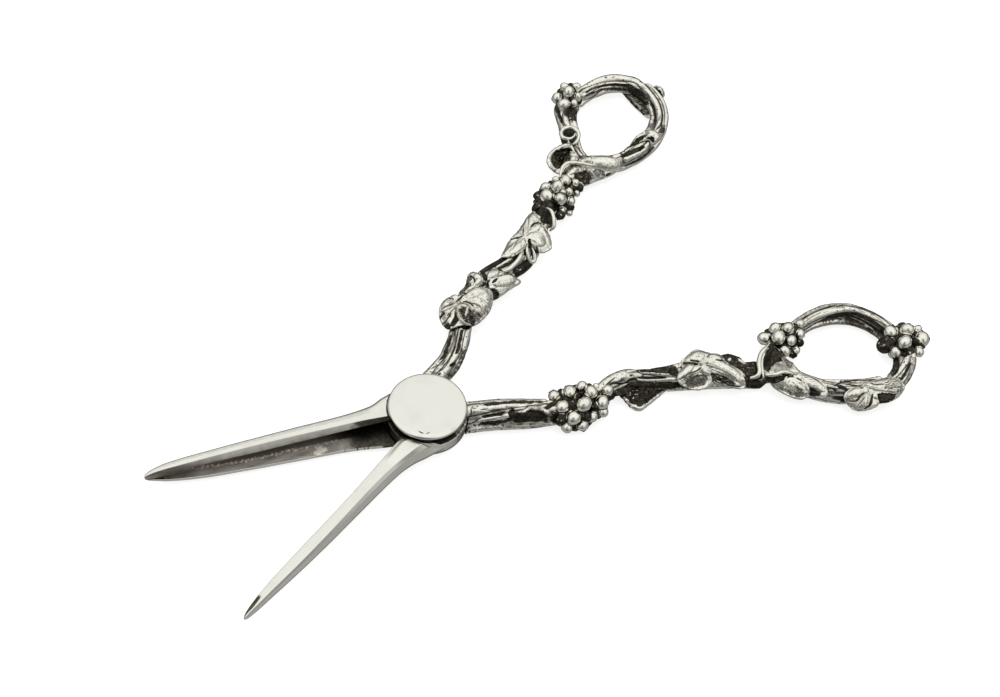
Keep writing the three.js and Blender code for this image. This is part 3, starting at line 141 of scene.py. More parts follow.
# grooves, hollows and ridges on the shanks and bows, in chart positions; their darkening is patina in the hollows and,
# over stretches lying in shadow, painted shade
MARKS = {
    "SHANK_A": [
        ["area", [[9.4, -2.4], [12, -3.4], [15, -5.2], [18, -7.2], [21, -9.6], [24.4, -12.2], [23.6, -12.9], [20.6, -10.6], [17.6, -8.2], [14.6, -6.3], [11.6, -4.8], [9.4, -3.7]], 0.03, 0.46, 0.55],
        ["area", [[11.9, -5.6], [13.6, -5.9], [15.2, -6.7], [16.8, -7.6], [18.6, -8.5], [20.4, -9.8], [22.4, -11.2], [24.4, -12.7], [24.0, -13.0], [22.2, -11.9], [20.2, -10.7], [18.4, -9.5], [16.6, -8.3], [14.8, -7.5], [13.0, -6.6], [12.0, -5.9]], 0.3, 1.0],
        ["area", [[9.7, -8.0], [10.9, -8.3], [12.4, -9.0], [13.8, -9.5], [15.1, -9.9], [15.3, -10.4], [14.2, -10.3], [12.8, -10.0], [11.2, -9.4], [10.1, -8.9]], 0.45, 1.0, 0.05],
        ["area", [[13.0, -12.0], [15.0, -11.9], [15.3, -10.6], [16.9, -10.2], [17.5, -11.0], [17.7, -12.1], [18.6, -12.8], [20.4, -12.9], [21.0, -13.6], [22.0, -14.6], [22.4, -15.6], [22.2, -16.8], [21.4, -17.8], [20.4, -17.2], [18.8, -16.0], [16.8, -14.9], [15.2, -14.0], [14.4, -12.9]], 0.5, 1.0, 0.1],
        ["area", [[8.6, -9.3], [10.2, -9.9], [12.0, -11.0], [14.0, -12.2], [13.4, -12.6], [11.4, -11.8], [9.6, -10.9], [8.2, -10.0]], 0.15, 0.9, 0.7],
        ["area", [[2.0, -8.0], [4.2, -7.7], [5.2, -8.4], [4.8, -9.5], [3.6, -9.9], [2.0, -9.9]], 0.1, 0.9, 0.5],
        ["area", [[23.0, -14.2], [26, -13.9], [29, -13.6], [29, -15], [25.4, -15.2], [23.4, -15.2]], 0.1, 1.0],
        ["pit", 24.5, -18.4, 2.6, 2.0, 0, 0.3, 0.95],
        ["pit", 30, -18.4, 7.0, 4.0, 0, 0.2, 0.97],
        ["ridge", [[17.4, -10.9], [19.4, -11.5], [21.2, -12.3], [22.4, -13.4], [24, -14.0]], 0.34, 0.3],
        ["ridge", [[16.9, -11.3], [18.2, -12.3], [19.4, -12.35], [20.7, -12.4], [21.2, -13.3], [21.9, -14.0]], 0.17, 0.2],
        ["cut", [[17.3, -11.3], [18.8, -11.9], [20.3, -12.0]], 0.14, 0.2, 0.95],
        ["ridge", [[10.4, -9.2], [12.0, -9.9], [13.6, -10.7], [14.6, -11.2]], 0.26, 0.2],
        ["cut", [[12.3, -12.8]], 0.3, 0.25, 1.0],
        ["cut", [[5.6, -8.5]], 0.25, 0.2, 0.97],
        ["cut", [[6.8, -9.0]], 0.25, 0.2, 0.97],
        ["cut", [[8.2, -9.5], [9.2, -9.7]], 0.3, 0.2, 0.95],
        ["cut", [[5.4, -7.3], [7.2, -6.7], [8.4, -5.8], [9.4, -4.6]], 0.22, 0.15, 0.75],
        ["hatch", 6.4, -9.3, 3.4, 1.0, -22, -20, 0.7, 0.08, 0.8],
        ["cut", [[12.8, -8.3]], 0.2, 0.12, 0.7],
        ["cut", [[10.6, -6.3], [11.6, -6.9], [12.4, -7.0]], 0.16, 0.12, 0.75],
        ["cut", [[14.9, -9.0]], 0.25, 0.1, 0.6],
        ["cut", [[16.2, -9.6], [17.4, -9.9]], 0.2, 0.1, 0.7],
        ["cut", [[9.4, -5.1], [10.3, -5.5]], 0.18, 0.12, 0.75],
        ["hatch", 11.6, -11.6, 4.6, 1.5, -30, -62, 0.55, 0.08, 0.85],
        ["hatch", 18, -17.0, 4.0, 0.9, -33, -70, 0.6, 0.08, 0.85],
        ["hatch", 15.6, -6.0, 4.6, 0.8, -30, -30, 0.6, 0.07, 0.75],
        ["hatch", 18.4, -9.2, 1.6, 1.2, -30, -60, 0.6, 0.07, 0.7],
        ["cut", [[38.4, -17.7], [40.2, -17.25], [42.4, -16.9]], 0.2, 0.2, 0.9],
        ["cut", [[39.2, -18.4], [41.2, -17.8]], 0.13, 0.15, 0.7],
        ["cut", [[45.8, -18.7]], 0.36, 0.3, 0.97],
        ["cut", [[42.3, -18.4], [43.6, -19.0]], 0.2, 0.15, 0.8],
        ["cut", [[46.8, -20.3], [48.6, -21.6], [50.4, -22.7], [52.2, -23.7]], 0.36, 0.4, 1.0],
        ["area", [[48.4, -18.2], [50, -18.2], [52, -19.2], [53.6, -20.6], [55.4, -21.2], [56.2, -22.4], [55.6, -24.2], [54.2, -23.8], [52.6, -22.4], [50.4, -20.6], [48.6, -19.4]], 0.15, 0.95, 0.45],
        ["cut", [[49.4, -20.6], [51.4, -22.0]], 0.12, 0.1, 0.6],
        ["pit", 51.0, -25.6, 4.6, 1.2, -35, 0.2, 1.0],
        ["pit", 55.6, -28.6, 3.0, 1.4, -30, 0.2, 0.95],
        ["pit", 55.0, -23.4, 1.6, 1.6, 0, 0.2, 0.9],
        ["pit", 37.2, -21.0, 1.2, 1.0, 0, 0.15, 0.95],
        ["area", [[42.4, -20.1], [44.2, -20.1], [46.4, -21.4], [48.6, -23.0], [51, -24.7], [50.2, -25.8], [47, -24.4], [44.4, -22.8], [42.6, -21.6]], 0.1, 1.0, 0.1],
        ["pit", 70.5, -33.5, 4.0, 4.0, 0, 0.2, 0.97],
        ["pit", 68.5, -37.2, 4.0, 1.6, -38, 0.15, 0.92],
        ["pit", 73.5, -38.4, 2.4, 2.2, 0, 0.2, 0.95],
    ],
    "BOW_A": [
        ["area", [[88, -32.1], [92, -32.5], [95.5, -33.6], [98.3, -35.3], [99.8, -37.6], [98.8, -37.4], [96.6, -35.9], [93.6, -34.2], [90, -33.1], [88, -33.0]], 0.03, 0.52, 0.4],
        ["area", [[96.0, -53.7], [98.6, -53.3], [100.6, -52.0], [102.0, -50.3], [101.0, -49.8], [99.4, -51.4], [97.6, -52.6], [96.0, -53.1]], 0.05, 0.85, 0.3],
        ["area", [[98.2, -57.9], [101.5, -56.9], [104.4, -55.2], [106.2, -52.9], [105.4, -52.5], [103.6, -54.5], [101, -56.0], [98.2, -56.9]], 0.03, 0.52, 0.5],
        ["area", [[98.4, -34.4], [99.6, -34.8], [101, -36.6], [102, -39], [102.8, -43.6], [101, -45], [100, -42], [99.4, -39.4], [98.4, -37]], 0.05, 0.66, 0.25],
        ["area", [[93.6, -32.2], [96, -31.9], [98.6, -32.5], [101, -33.5], [103, -35.1], [104.4, -37.3], [105.2, -40], [105.6, -42.8], [104, -43.6], [102.7, -43.6], [102.4, -41.0], [101.6, -38.2], [100.4, -36.2], [98.4, -34.4], [96, -33.3]], 0.25, 1.0, 0.12],
        ["ridge", [[98, -33.8], [100.5, -35.5], [102.0, -38.2], [103.0, -42.4]], 0.15, 0.08, 0.65],
        ["ridge", [[101.6, -35.2], [103.2, -38.4], [104.1, -42.0]], 0.12, 0.06, 0.5],
        ["area", [[88, -27.9], [92, -27.6], [97, -28.0], [101, -29.6], [103.8, -32.0], [106.0, -35.0], [107.3, -38.6], [106.6, -39.0], [105.0, -35.9], [102.9, -33.0], [100.2, -31.0], [96.6, -29.5], [92, -29.1], [88, -29.4]], 0.03, 0.46, 0.6],
        ["hatch", 99, -30, 5.5, 1.0, -18, -18, 0.55, 0.06, 0.8],
        ["hatch", 105.4, -35.6, 1.2, 3.6, 28, -62, 0.55, 0.06, 0.8],
        ["hatch", 91, -29.6, 4, 1.6, 0, 2, 0.5, 0.05, 0.6],
        ["area", [[102.6, -42.8], [105, -42.4], [108.4, -42.8], [109.6, -46], [109.6, -50], [107, -52.0], [104, -51.4], [102.2, -50]], 0.3, 1.0, 0.1],
        ["area", [[79.5, -29.2], [84, -28.4], [88.6, -28.8], [88.8, -31.8], [85, -34.4], [80.4, -34.4]], 0.3, 1.0, 0.1],
        ["cut", [[90.4, -29], [93, -28.8], [96, -28.9]], 0.12, 0.1, 0.6],
        ["cut", [[90.6, -30.1], [93, -29.95], [96, -30.2]], 0.13, 0.12, 0.65],
        ["cut", [[96.2, -29.4], [97.6, -29.7]], 0.2, 0.15, 0.85],
        ["cut", [[98.6, -29.9], [100.8, -30.6]], 0.2, 0.15, 0.85],
        ["cut", [[100.2, -31], [102, -31.4]], 0.2, 0.15, 0.85],
        ["cut", [[104.6, -33.8], [106, -35.8], [107, -38.6], [107.5, -41.6]], 0.26, 0.15, 0.75],
        ["cut", [[88.4, -32], [92, -32], [94.6, -32.2]], 0.2, 0.12, 0.8],
        ["pit", 85.2, -49.6, 0.75, 1.8, 25, 0.3, 1.0],
        ["cut", [[86.8, -49.4], [88.2, -50.7], [89.6, -52.1]], 0.26, 0.25, 1.0],
        ["cut", [[80.4, -49.6], [81.6, -51.2], [82.8, -52.6]], 0.42, 0.25, 0.95],
        ["pit", 82.6, -52.4, 0.8, 0.6, -40, 0.2, 1.0],
        ["cut", [[82.0, -49.4]], 0.25, 0.15, 0.9],
        ["cut", [[83.0, -48.9], [83.2, -49.5]], 0.22, 0.15, 0.9],
        ["cut", [[80.9, -48.4], [82.4, -48.0], [83.6, -49.4]], 0.24, 0.15, 0.85],
        ["cut", [[84, -48.1], [86, -48.2], [88.4, -49.2], [91, -50.8], [93.6, -52.3]], 0.26, 0.12, 0.9],
        ["cut", [[88.4, -50.2], [90.4, -51.5], [92.4, -52.8]], 0.13, 0.12, 0.7],
        ["cut", [[98.6, -55.9], [100.6, -55.1], [103.6, -53.7]], 0.4, 0.3, 1.0],
        ["cut", [[97.4, -53.6], [99.4, -53.2], [101.2, -51.6], [102.0, -50.0]], 0.36, 0.2, 0.95],
        ["cut", [[98.4, -55.0], [99.0, -55.8]], 0.3, 0.2, 0.9],
        ["cut", [[99.6, -57.2], [102.4, -56.0], [104.8, -54.4]], 0.18, 0.1, 0.7],
    ],
    "SHANK_B": [
        ["area", [[11.0, 10.2], [12.2, 10.05], [13.4, 10.5], [15, 11.6], [16.4, 12.8], [17.8, 14.2], [17.6, 14.7], [16.2, 13.6], [14.6, 12.4], [13, 11.2], [11.8, 10.6]], 0.4, 1.0, 0.1],
        ["area", [[12.1, 7.2], [13.0, 6.8], [13.9, 7.1], [13.9, 7.6], [13.2, 7.9], [12.3, 7.7]], 0.4, 1.0, 0.0],
        ["area", [[15.4, 9.5], [16, 9.1], [17.4, 10.2], [18.6, 11.4], [20.2, 13.0], [21.2, 14.0], [20.6, 14.4], [19.4, 13.3], [18, 12.0], [16.6, 10.6], [15.6, 9.9]], 0.4, 1.0, 0.1],
        ["area", [[9.6, 4.9], [10.6, 4.2], [12.4, 4.6], [14.6, 5.7], [16.6, 7.3], [18.6, 9.0], [17.8, 9.4], [16, 8.2], [14, 6.7], [12, 5.8], [10.2, 5.9]], 0.05, 0.66, 0.6],
        ["area", [[18.0, 16.2], [19.0, 15.2], [20.2, 15.8], [21.2, 14.2], [22.4, 13.2], [23.0, 13.8], [22.2, 15.0], [21.6, 16.6], [20.0, 17.2], [18.6, 17.4]], 0.3, 1.0, 0.3],
        ["cut", [[13.9, 7.7], [14.9, 7.9]], 0.25, 0.25, 0.85],
        ["cut", [[8.6, 7.0], [9.3, 7.1]], 0.3, 0.25, 0.9],
        ["cut", [[9.2, 7.6], [11.5, 8.1], [14, 9.4], [16.6, 11.3], [19.6, 14.4]], 0.15, 0.16, 0.75],
        ["cut", [[8.2, 9.35], [10.4, 9.3]], 0.16, 0.12, 0.7],
        ["cut", [[11, 9.4], [13.6, 10.4], [16, 12.2]], 0.11, 0.1, 0.6],
        ["cut", [[7.4, 8.9], [8.6, 7.6], [9.2, 6.4]], 0.2, 0.1, 0.6],
        ["hatch", 9.4, 8.4, 1.6, 1.6, 0, 20, 0.6, 0.06, 0.6],
        ["hatch", 15.4, 13.2, 4.4, 0.6, 38, 38, 0.5, 0.06, 0.7],
        ["hatch", 14.8, 8.2, 1.0, 0.8, 30, -30, 0.5, 0.06, 0.8],
        ["pit", 34.4, 18.6, 1.1, 1.6, -25, 0.2, 0.95],
        ["pit", 33.4, 21.9, 0.9, 0.6, 0, 0.2, 0.95],
        ["area", [[34.6, 24.6], [34.8, 26.2], [38, 27.0], [42.4, 27.0], [44.6, 26.4], [44.3, 25.3], [42, 24.75], [38, 24.65]], 0.1, 1.0, 0.15],
        ["pit", 34.9, 23.6, 0.7, 1.6, -15, 0.2, 0.9],
        ["cut", [[39.2, 24.0], [41, 23.6], [43.4, 23.6], [45.6, 24.2]], 0.34, 0.35, 1.0],
        ["cut", [[39.2, 23.8], [39.3, 21.6]], 0.4, 0.3, 1.0],
        ["area", [[41.0, 19.2], [41.2, 20.6], [42, 21.9], [44, 21.9], [46.4, 22.3], [47.6, 23.3], [47.6, 21.6], [46.8, 20.2], [45, 18.6], [43, 18.2], [41.4, 18.6]], 0.15, 1.0, 0.25],
        ["pit", 47.2, 24.2, 1.0, 0.9, 30, 0.3, 1.0],
        ["ridge", [[42.4, 21.4], [43.4, 20.4]], 0.2, 0.12],
        # painted shade with patina: the stem between the leaf and the grapes, lying in shadow, darkened across its
        # width
        ["pit", 58.6, 30.6, 2.2, 4.6, 0, 0.2, 0.97],
        ["pit", 62, 33, 3, 4, 30, 0.2, 0.97],
        ["pit", 66, 34.4, 4, 3, 30, 0.2, 0.97],
        ["pit", 71, 36, 3, 3, 30, 0.2, 0.95],
        ["pit", 74.2, 36.0, 2.6, 4.0, 0, 0.2, 1.0],
    ],
    "BOW_B": [
        ["area", [[92, 56.25], [95.5, 56.2], [97.5, 55.7], [99.5, 54.7], [101.5, 53.4], [103.1, 52.1], [103.3, 51.3], [102.3, 51.3], [100.7, 52.7], [98.7, 54.1], [96.7, 55.2], [94.8, 55.75], [92, 55.85]], 0.15, 1.0, 0.05],
        ["area", [[91, 55.3], [93, 55.2], [95.4, 55.0], [97, 54.4], [99, 53.4], [100.6, 52.2], [102.2, 51.4], [102, 50.6], [100.4, 51.0], [98.6, 52.4], [96.6, 53.7], [94, 54.5], [91.2, 54.7]], 0.15, 0.88, 0.5],
        ["cut", [[106.3, 51.1]], 0.3, 0.2, 0.8],
        ["cut", [[106.55, 49.6], [106.5, 47.6], [106.2, 45], [105.6, 42.8], [104.6, 40.6]], 0.22, 0.18, 0.85],
        ["cut", [[103.9, 44.8], [103.0, 42.2], [101.6, 40.2], [99.8, 38.4]], 0.4, 0.35, 1.0],
        ["cut", [[104.6, 40.6], [103, 38.5], [101, 36.9], [99.3, 36.6]], 0.26, 0.2, 0.85],
        ["pit", 100.4, 35.4, 1.4, 0.7, 25, 0.1, 0.7],
        ["pit", 102.6, 48.0, 1.8, 4.4, 0, 0.1, 1.0],
        ["cut", [[104.5, 50.4], [104.9, 47.6], [104.4, 45.4]], 0.3, 0.1, 0.6],
        ["area", [[80.3, 51.8], [81.0, 50.9], [81.8, 53.2], [82.8, 55.4], [83.4, 57.0], [85.4, 58.4], [85.0, 58.8], [82.9, 57.7], [81.8, 55.9], [80.9, 53.7]], 0.2, 0.95, 0.3],
        ["hatch", 81.2, 56.0, 1.0, 3.2, -30, 60, 0.6, 0.06, 0.5],
        ["area", [[82.6, 53.7], [83.4, 51.2], [83.8, 49.6], [85.4, 51.2], [87, 53.0], [86.0, 54.5], [84.4, 54.7]], 0.2, 0.92, 0.4],
        ["cut", [[82.7, 53.1]], 0.3, 0.1, 0.5],
        ["pit", 86.5, 57.5, 3.2, 3.2, 0, 0.2, 0.95],
        ["cut", [[77.9, 43.9], [77.7, 41.6], [77.2, 39.4]], 0.2, 0.15, 0.85],
        ["cut", [[78.9, 43.7], [78.6, 41.0]], 0.2, 0.12, 0.75],
        ["pit", 77.2, 46.4, 1.3, 1.0, 40, 0.15, 0.9],
        ["pit", 79.8, 47.6, 2.0, 2.0, 0, 0.3, 1.0],
        ["pit", 79.4, 45.6, 1.6, 0.7, 20, 0.2, 0.97],
        ["cut", [[83.2, 52.2], [82.9, 50.8]], 0.2, 0.15, 0.8],
        ["area", [[86.0, 34.8], [88.6, 34.9], [91.2, 34.6], [93.0, 34.4], [93.4, 33.8], [92.4, 33.2], [90.2, 33.4], [88, 33.7], [86.0, 33.9]], 0.4, 1.0, 0.05],
        ["area", [[89.2, 35.9], [91, 36.8], [93, 37.2], [95, 37.1], [96.4, 36.5], [96.9, 35.4], [96.4, 34.2], [95.6, 34.8], [94.6, 35.6], [92.6, 35.6], [90.6, 35.5]], 0.3, 1.0, 0.1],
        ["cut", [[86, 35.9], [88.6, 35.9]], 0.25, 0.2, 0.9],
        ["cut", [[85, 31.4], [90, 31.2], [95, 32.2]], 0.4, 0.1, 0.8],
        ["cut", [[86.6, 32.2], [89, 32.3]], 0.14, 0.1, 0.6],
        ["ridge", [[87.6, 35.25], [90.4, 35.2], [93.2, 35.2], [94.6, 34.8], [94.9, 34.1], [94.3, 33.3], [92.6, 32.9]], 0.26, 0.2],
        ["ridge", [[87, 33.2], [90, 32.9], [93, 32.8], [95, 33.0]], 0.26, 0.12],
    ],
}
# lumps of the ground the grapes sit in: x, y, z, radius
GROUND = {
    "a_grapes_neck": [
        [38.14, -18.95, 3.6, 1.7], [39.16, -19.56, 3.2, 1.05], [25.31, -18.34, 3.6, 1.8], [25.91, -14.32, 4.0, 1.3],
        [29.31, -17.32, 4.4, 1.6], [31.21, -16.21, 4.6, 1.5], [33.51, -15.72, 4.4, 1.3], [29.41, -15.02, 4.2, 1.3],
        [33.62, -20.23, 4.2, 1.6], [30.32, -20.95, 3.6, 1.6], [36.62, -18.43, 4.2, 1.4],
    ],
    "a_grapes_bow_root": [
        [82.35, -31.27, 3.8, 1.6], [85.23, -30.46, 4.0, 1.6], [88.36, -30.07, 3.8, 1.5], [83.5, -34.36, 2.6, 1.2],
        [86.67, -33.13, 3.0, 1.1], [80.27, -30.38, 3.6, 1.5],
    ],
    "a_grapes_bow_end": [
        [103.03, -45.63, 3.6, 2.05], [104.54, -46.57, 4.2, 1.4], [110.09, -44.06, 3.7, 1.2], [108.94, -47.07, 4.2, 1.5],
        [109.82, -49.92, 3.8, 1.7], [106.28, -50.0, 4.0, 1.5], [107.81, -45.95, 4.4, 1.3], [112.64, -47.87, 3.2, 1.2],
    ],
    "b_grapes_mid": [
        [60.81, 34.81, 3.6, 1.7], [59.32, 33.92, 3.4, 1.5], [59.01, 31.4, 3.6, 1.7], [59.03, 29.42, 3.2, 1.6],
        [61.93, 36.93, 3.4, 1.3], [61.26, 32.06, 4.2, 1.6], [62.73, 29.31, 3.4, 1.3], [65.94, 30.11, 3.4, 1.5],
        [67.91, 32.49, 3.8, 1.4], [70.52, 34.09, 3.8, 1.5], [64.14, 37.74, 3.4, 1.2], [68.48, 35.06, 4.2, 1.3],
        [72.2, 33.55, 3.0, 1.1], [65.44, 34.43, 4.6, 1.3],
    ],
    "b_grapes_bow": [
        [87.11, 57.9, 4.2, 1.4], [87.69, 60.39, 3.6, 0.9], [90.97, 58.35, 3.8, 1.2], [87.14, 54.52, 3.2, 1.3],
        [89.5, 55.77, 3.6, 1.0],
    ],
}
# grapes: x, y, z, radius
GRAPES = {
    "a_grapes_neck": [
        [27.0, -13.09, 5.4, 1.4], [30.67, -14.42, 5.45, 1.7], [33.91, -14.86, 5.75, 1.25], [24.03, -16.41, 3.75, 1.05],
        [26.47, -16.9, 5.85, 1.6], [34.18, -17.83, 6.75, 1.5], [30.62, -19.6, 6.7, 1.75], [27.43, -20.19, 4.55, 1.7],
        [35.35, -20.85, 5.1, 1.6], [38.7, -18.8, 5.0, 1.35], [25.46, -20.34, 2.5, 1.35], [28.93, -22.01, 2.4, 1.4],
        [32.04, -21.58, 3.0, 1.35], [34.82, -22.0, 3.25, 1.35], [23.08, -14.64, 4.25, 0.8], [36.73, -16.74, 5.5, 0.85],
        [27.03, -16.9, 1.9, 1.6], [30.0, -19.44, 1.79, 1.6], [33.7, -17.54, 1.79, 1.6], [36.48, -19.34, 2.2, 1.6],
        [30.14, -15.62, 2.0, 1.6],
    ],
    "a_grapes_bow_root": [
        [79.82, -27.85, 4.0, 1.6], [83.45, -27.42, 4.6, 1.5], [81.67, -30.38, 5.85, 1.8], [85.33, -29.67, 6.05, 1.5],
        [89.3, -29.83, 4.85, 1.2], [81.3, -33.45, 4.2, 1.4], [83.79, -32.69, 5.65, 1.25], [87.71, -31.85, 4.2, 1.2],
        [84.46, -34.4, 3.15, 0.95], [81.67, -31.33, 1.9, 1.6], [84.59, -29.1, 1.8, 1.6], [85.54, -31.85, 1.8, 1.6],
        [87.61, -29.54, 2.2, 1.6],
    ],
    "a_grapes_bow_end": [
        [106.27, -43.91, 4.3, 1.75], [109.25, -46.13, 5.8, 1.6], [112.03, -47.18, 4.95, 1.05], [105.99, -48.73, 6.05, 1.7],
        [103.3, -49.0, 4.25, 1.4], [111.41, -49.76, 4.4, 1.75], [105.57, -51.04, 3.85, 1.0], [108.59, -51.62, 3.55, 1.3],
        [104.88, -48.01, 1.9, 1.7], [108.58, -48.79, 1.9, 1.7], [109.38, -45.74, 2.0, 1.7], [106.73, -46.06, 1.9, 1.7],
    ],
    "b_grapes_mid": [
        [64.29, 37.29, 4.85, 1.3], [65.81, 34.93, 6.5, 1.55], [62.73, 34.73, 4.95, 1.75], [64.16, 31.48, 6.25, 1.55],
        [69.28, 35.79, 5.7, 1.4], [71.3, 34.3, 5.0, 0.95], [67.58, 32.21, 6.2, 0.9], [66.88, 30.47, 4.7, 1.1],
        [63.69, 29.97, 3.65, 1.05], [69.88, 31.86, 4.2, 0.85], [65.26, 28.82, 2.85, 0.8], [65.79, 32.62, 6.7, 0.8],
        [67.56, 37.66, 5.4, 0.8], [63.02, 32.37, 1.9, 1.5], [66.96, 32.2, 1.8, 1.5], [66.16, 35.4, 1.9, 1.5],
        [69.21, 35.21, 2.2, 1.5],
    ],
    "b_grapes_bow": [
        [88.47, 60.27, 5.2, 1.2], [91.26, 58.86, 4.9, 1.15], [87.73, 57.94, 6.05, 1.45], [85.36, 59.36, 3.8, 1.35],
        [85.05, 56.15, 4.6, 1.6], [89.56, 56.16, 4.75, 1.0], [87.52, 55.11, 4.5, 1.0], [86.15, 56.91, 2.0, 1.4],
        [89.3, 57.29, 2.0, 1.4], [88.36, 59.68, 2.0, 1.4],
    ],
}
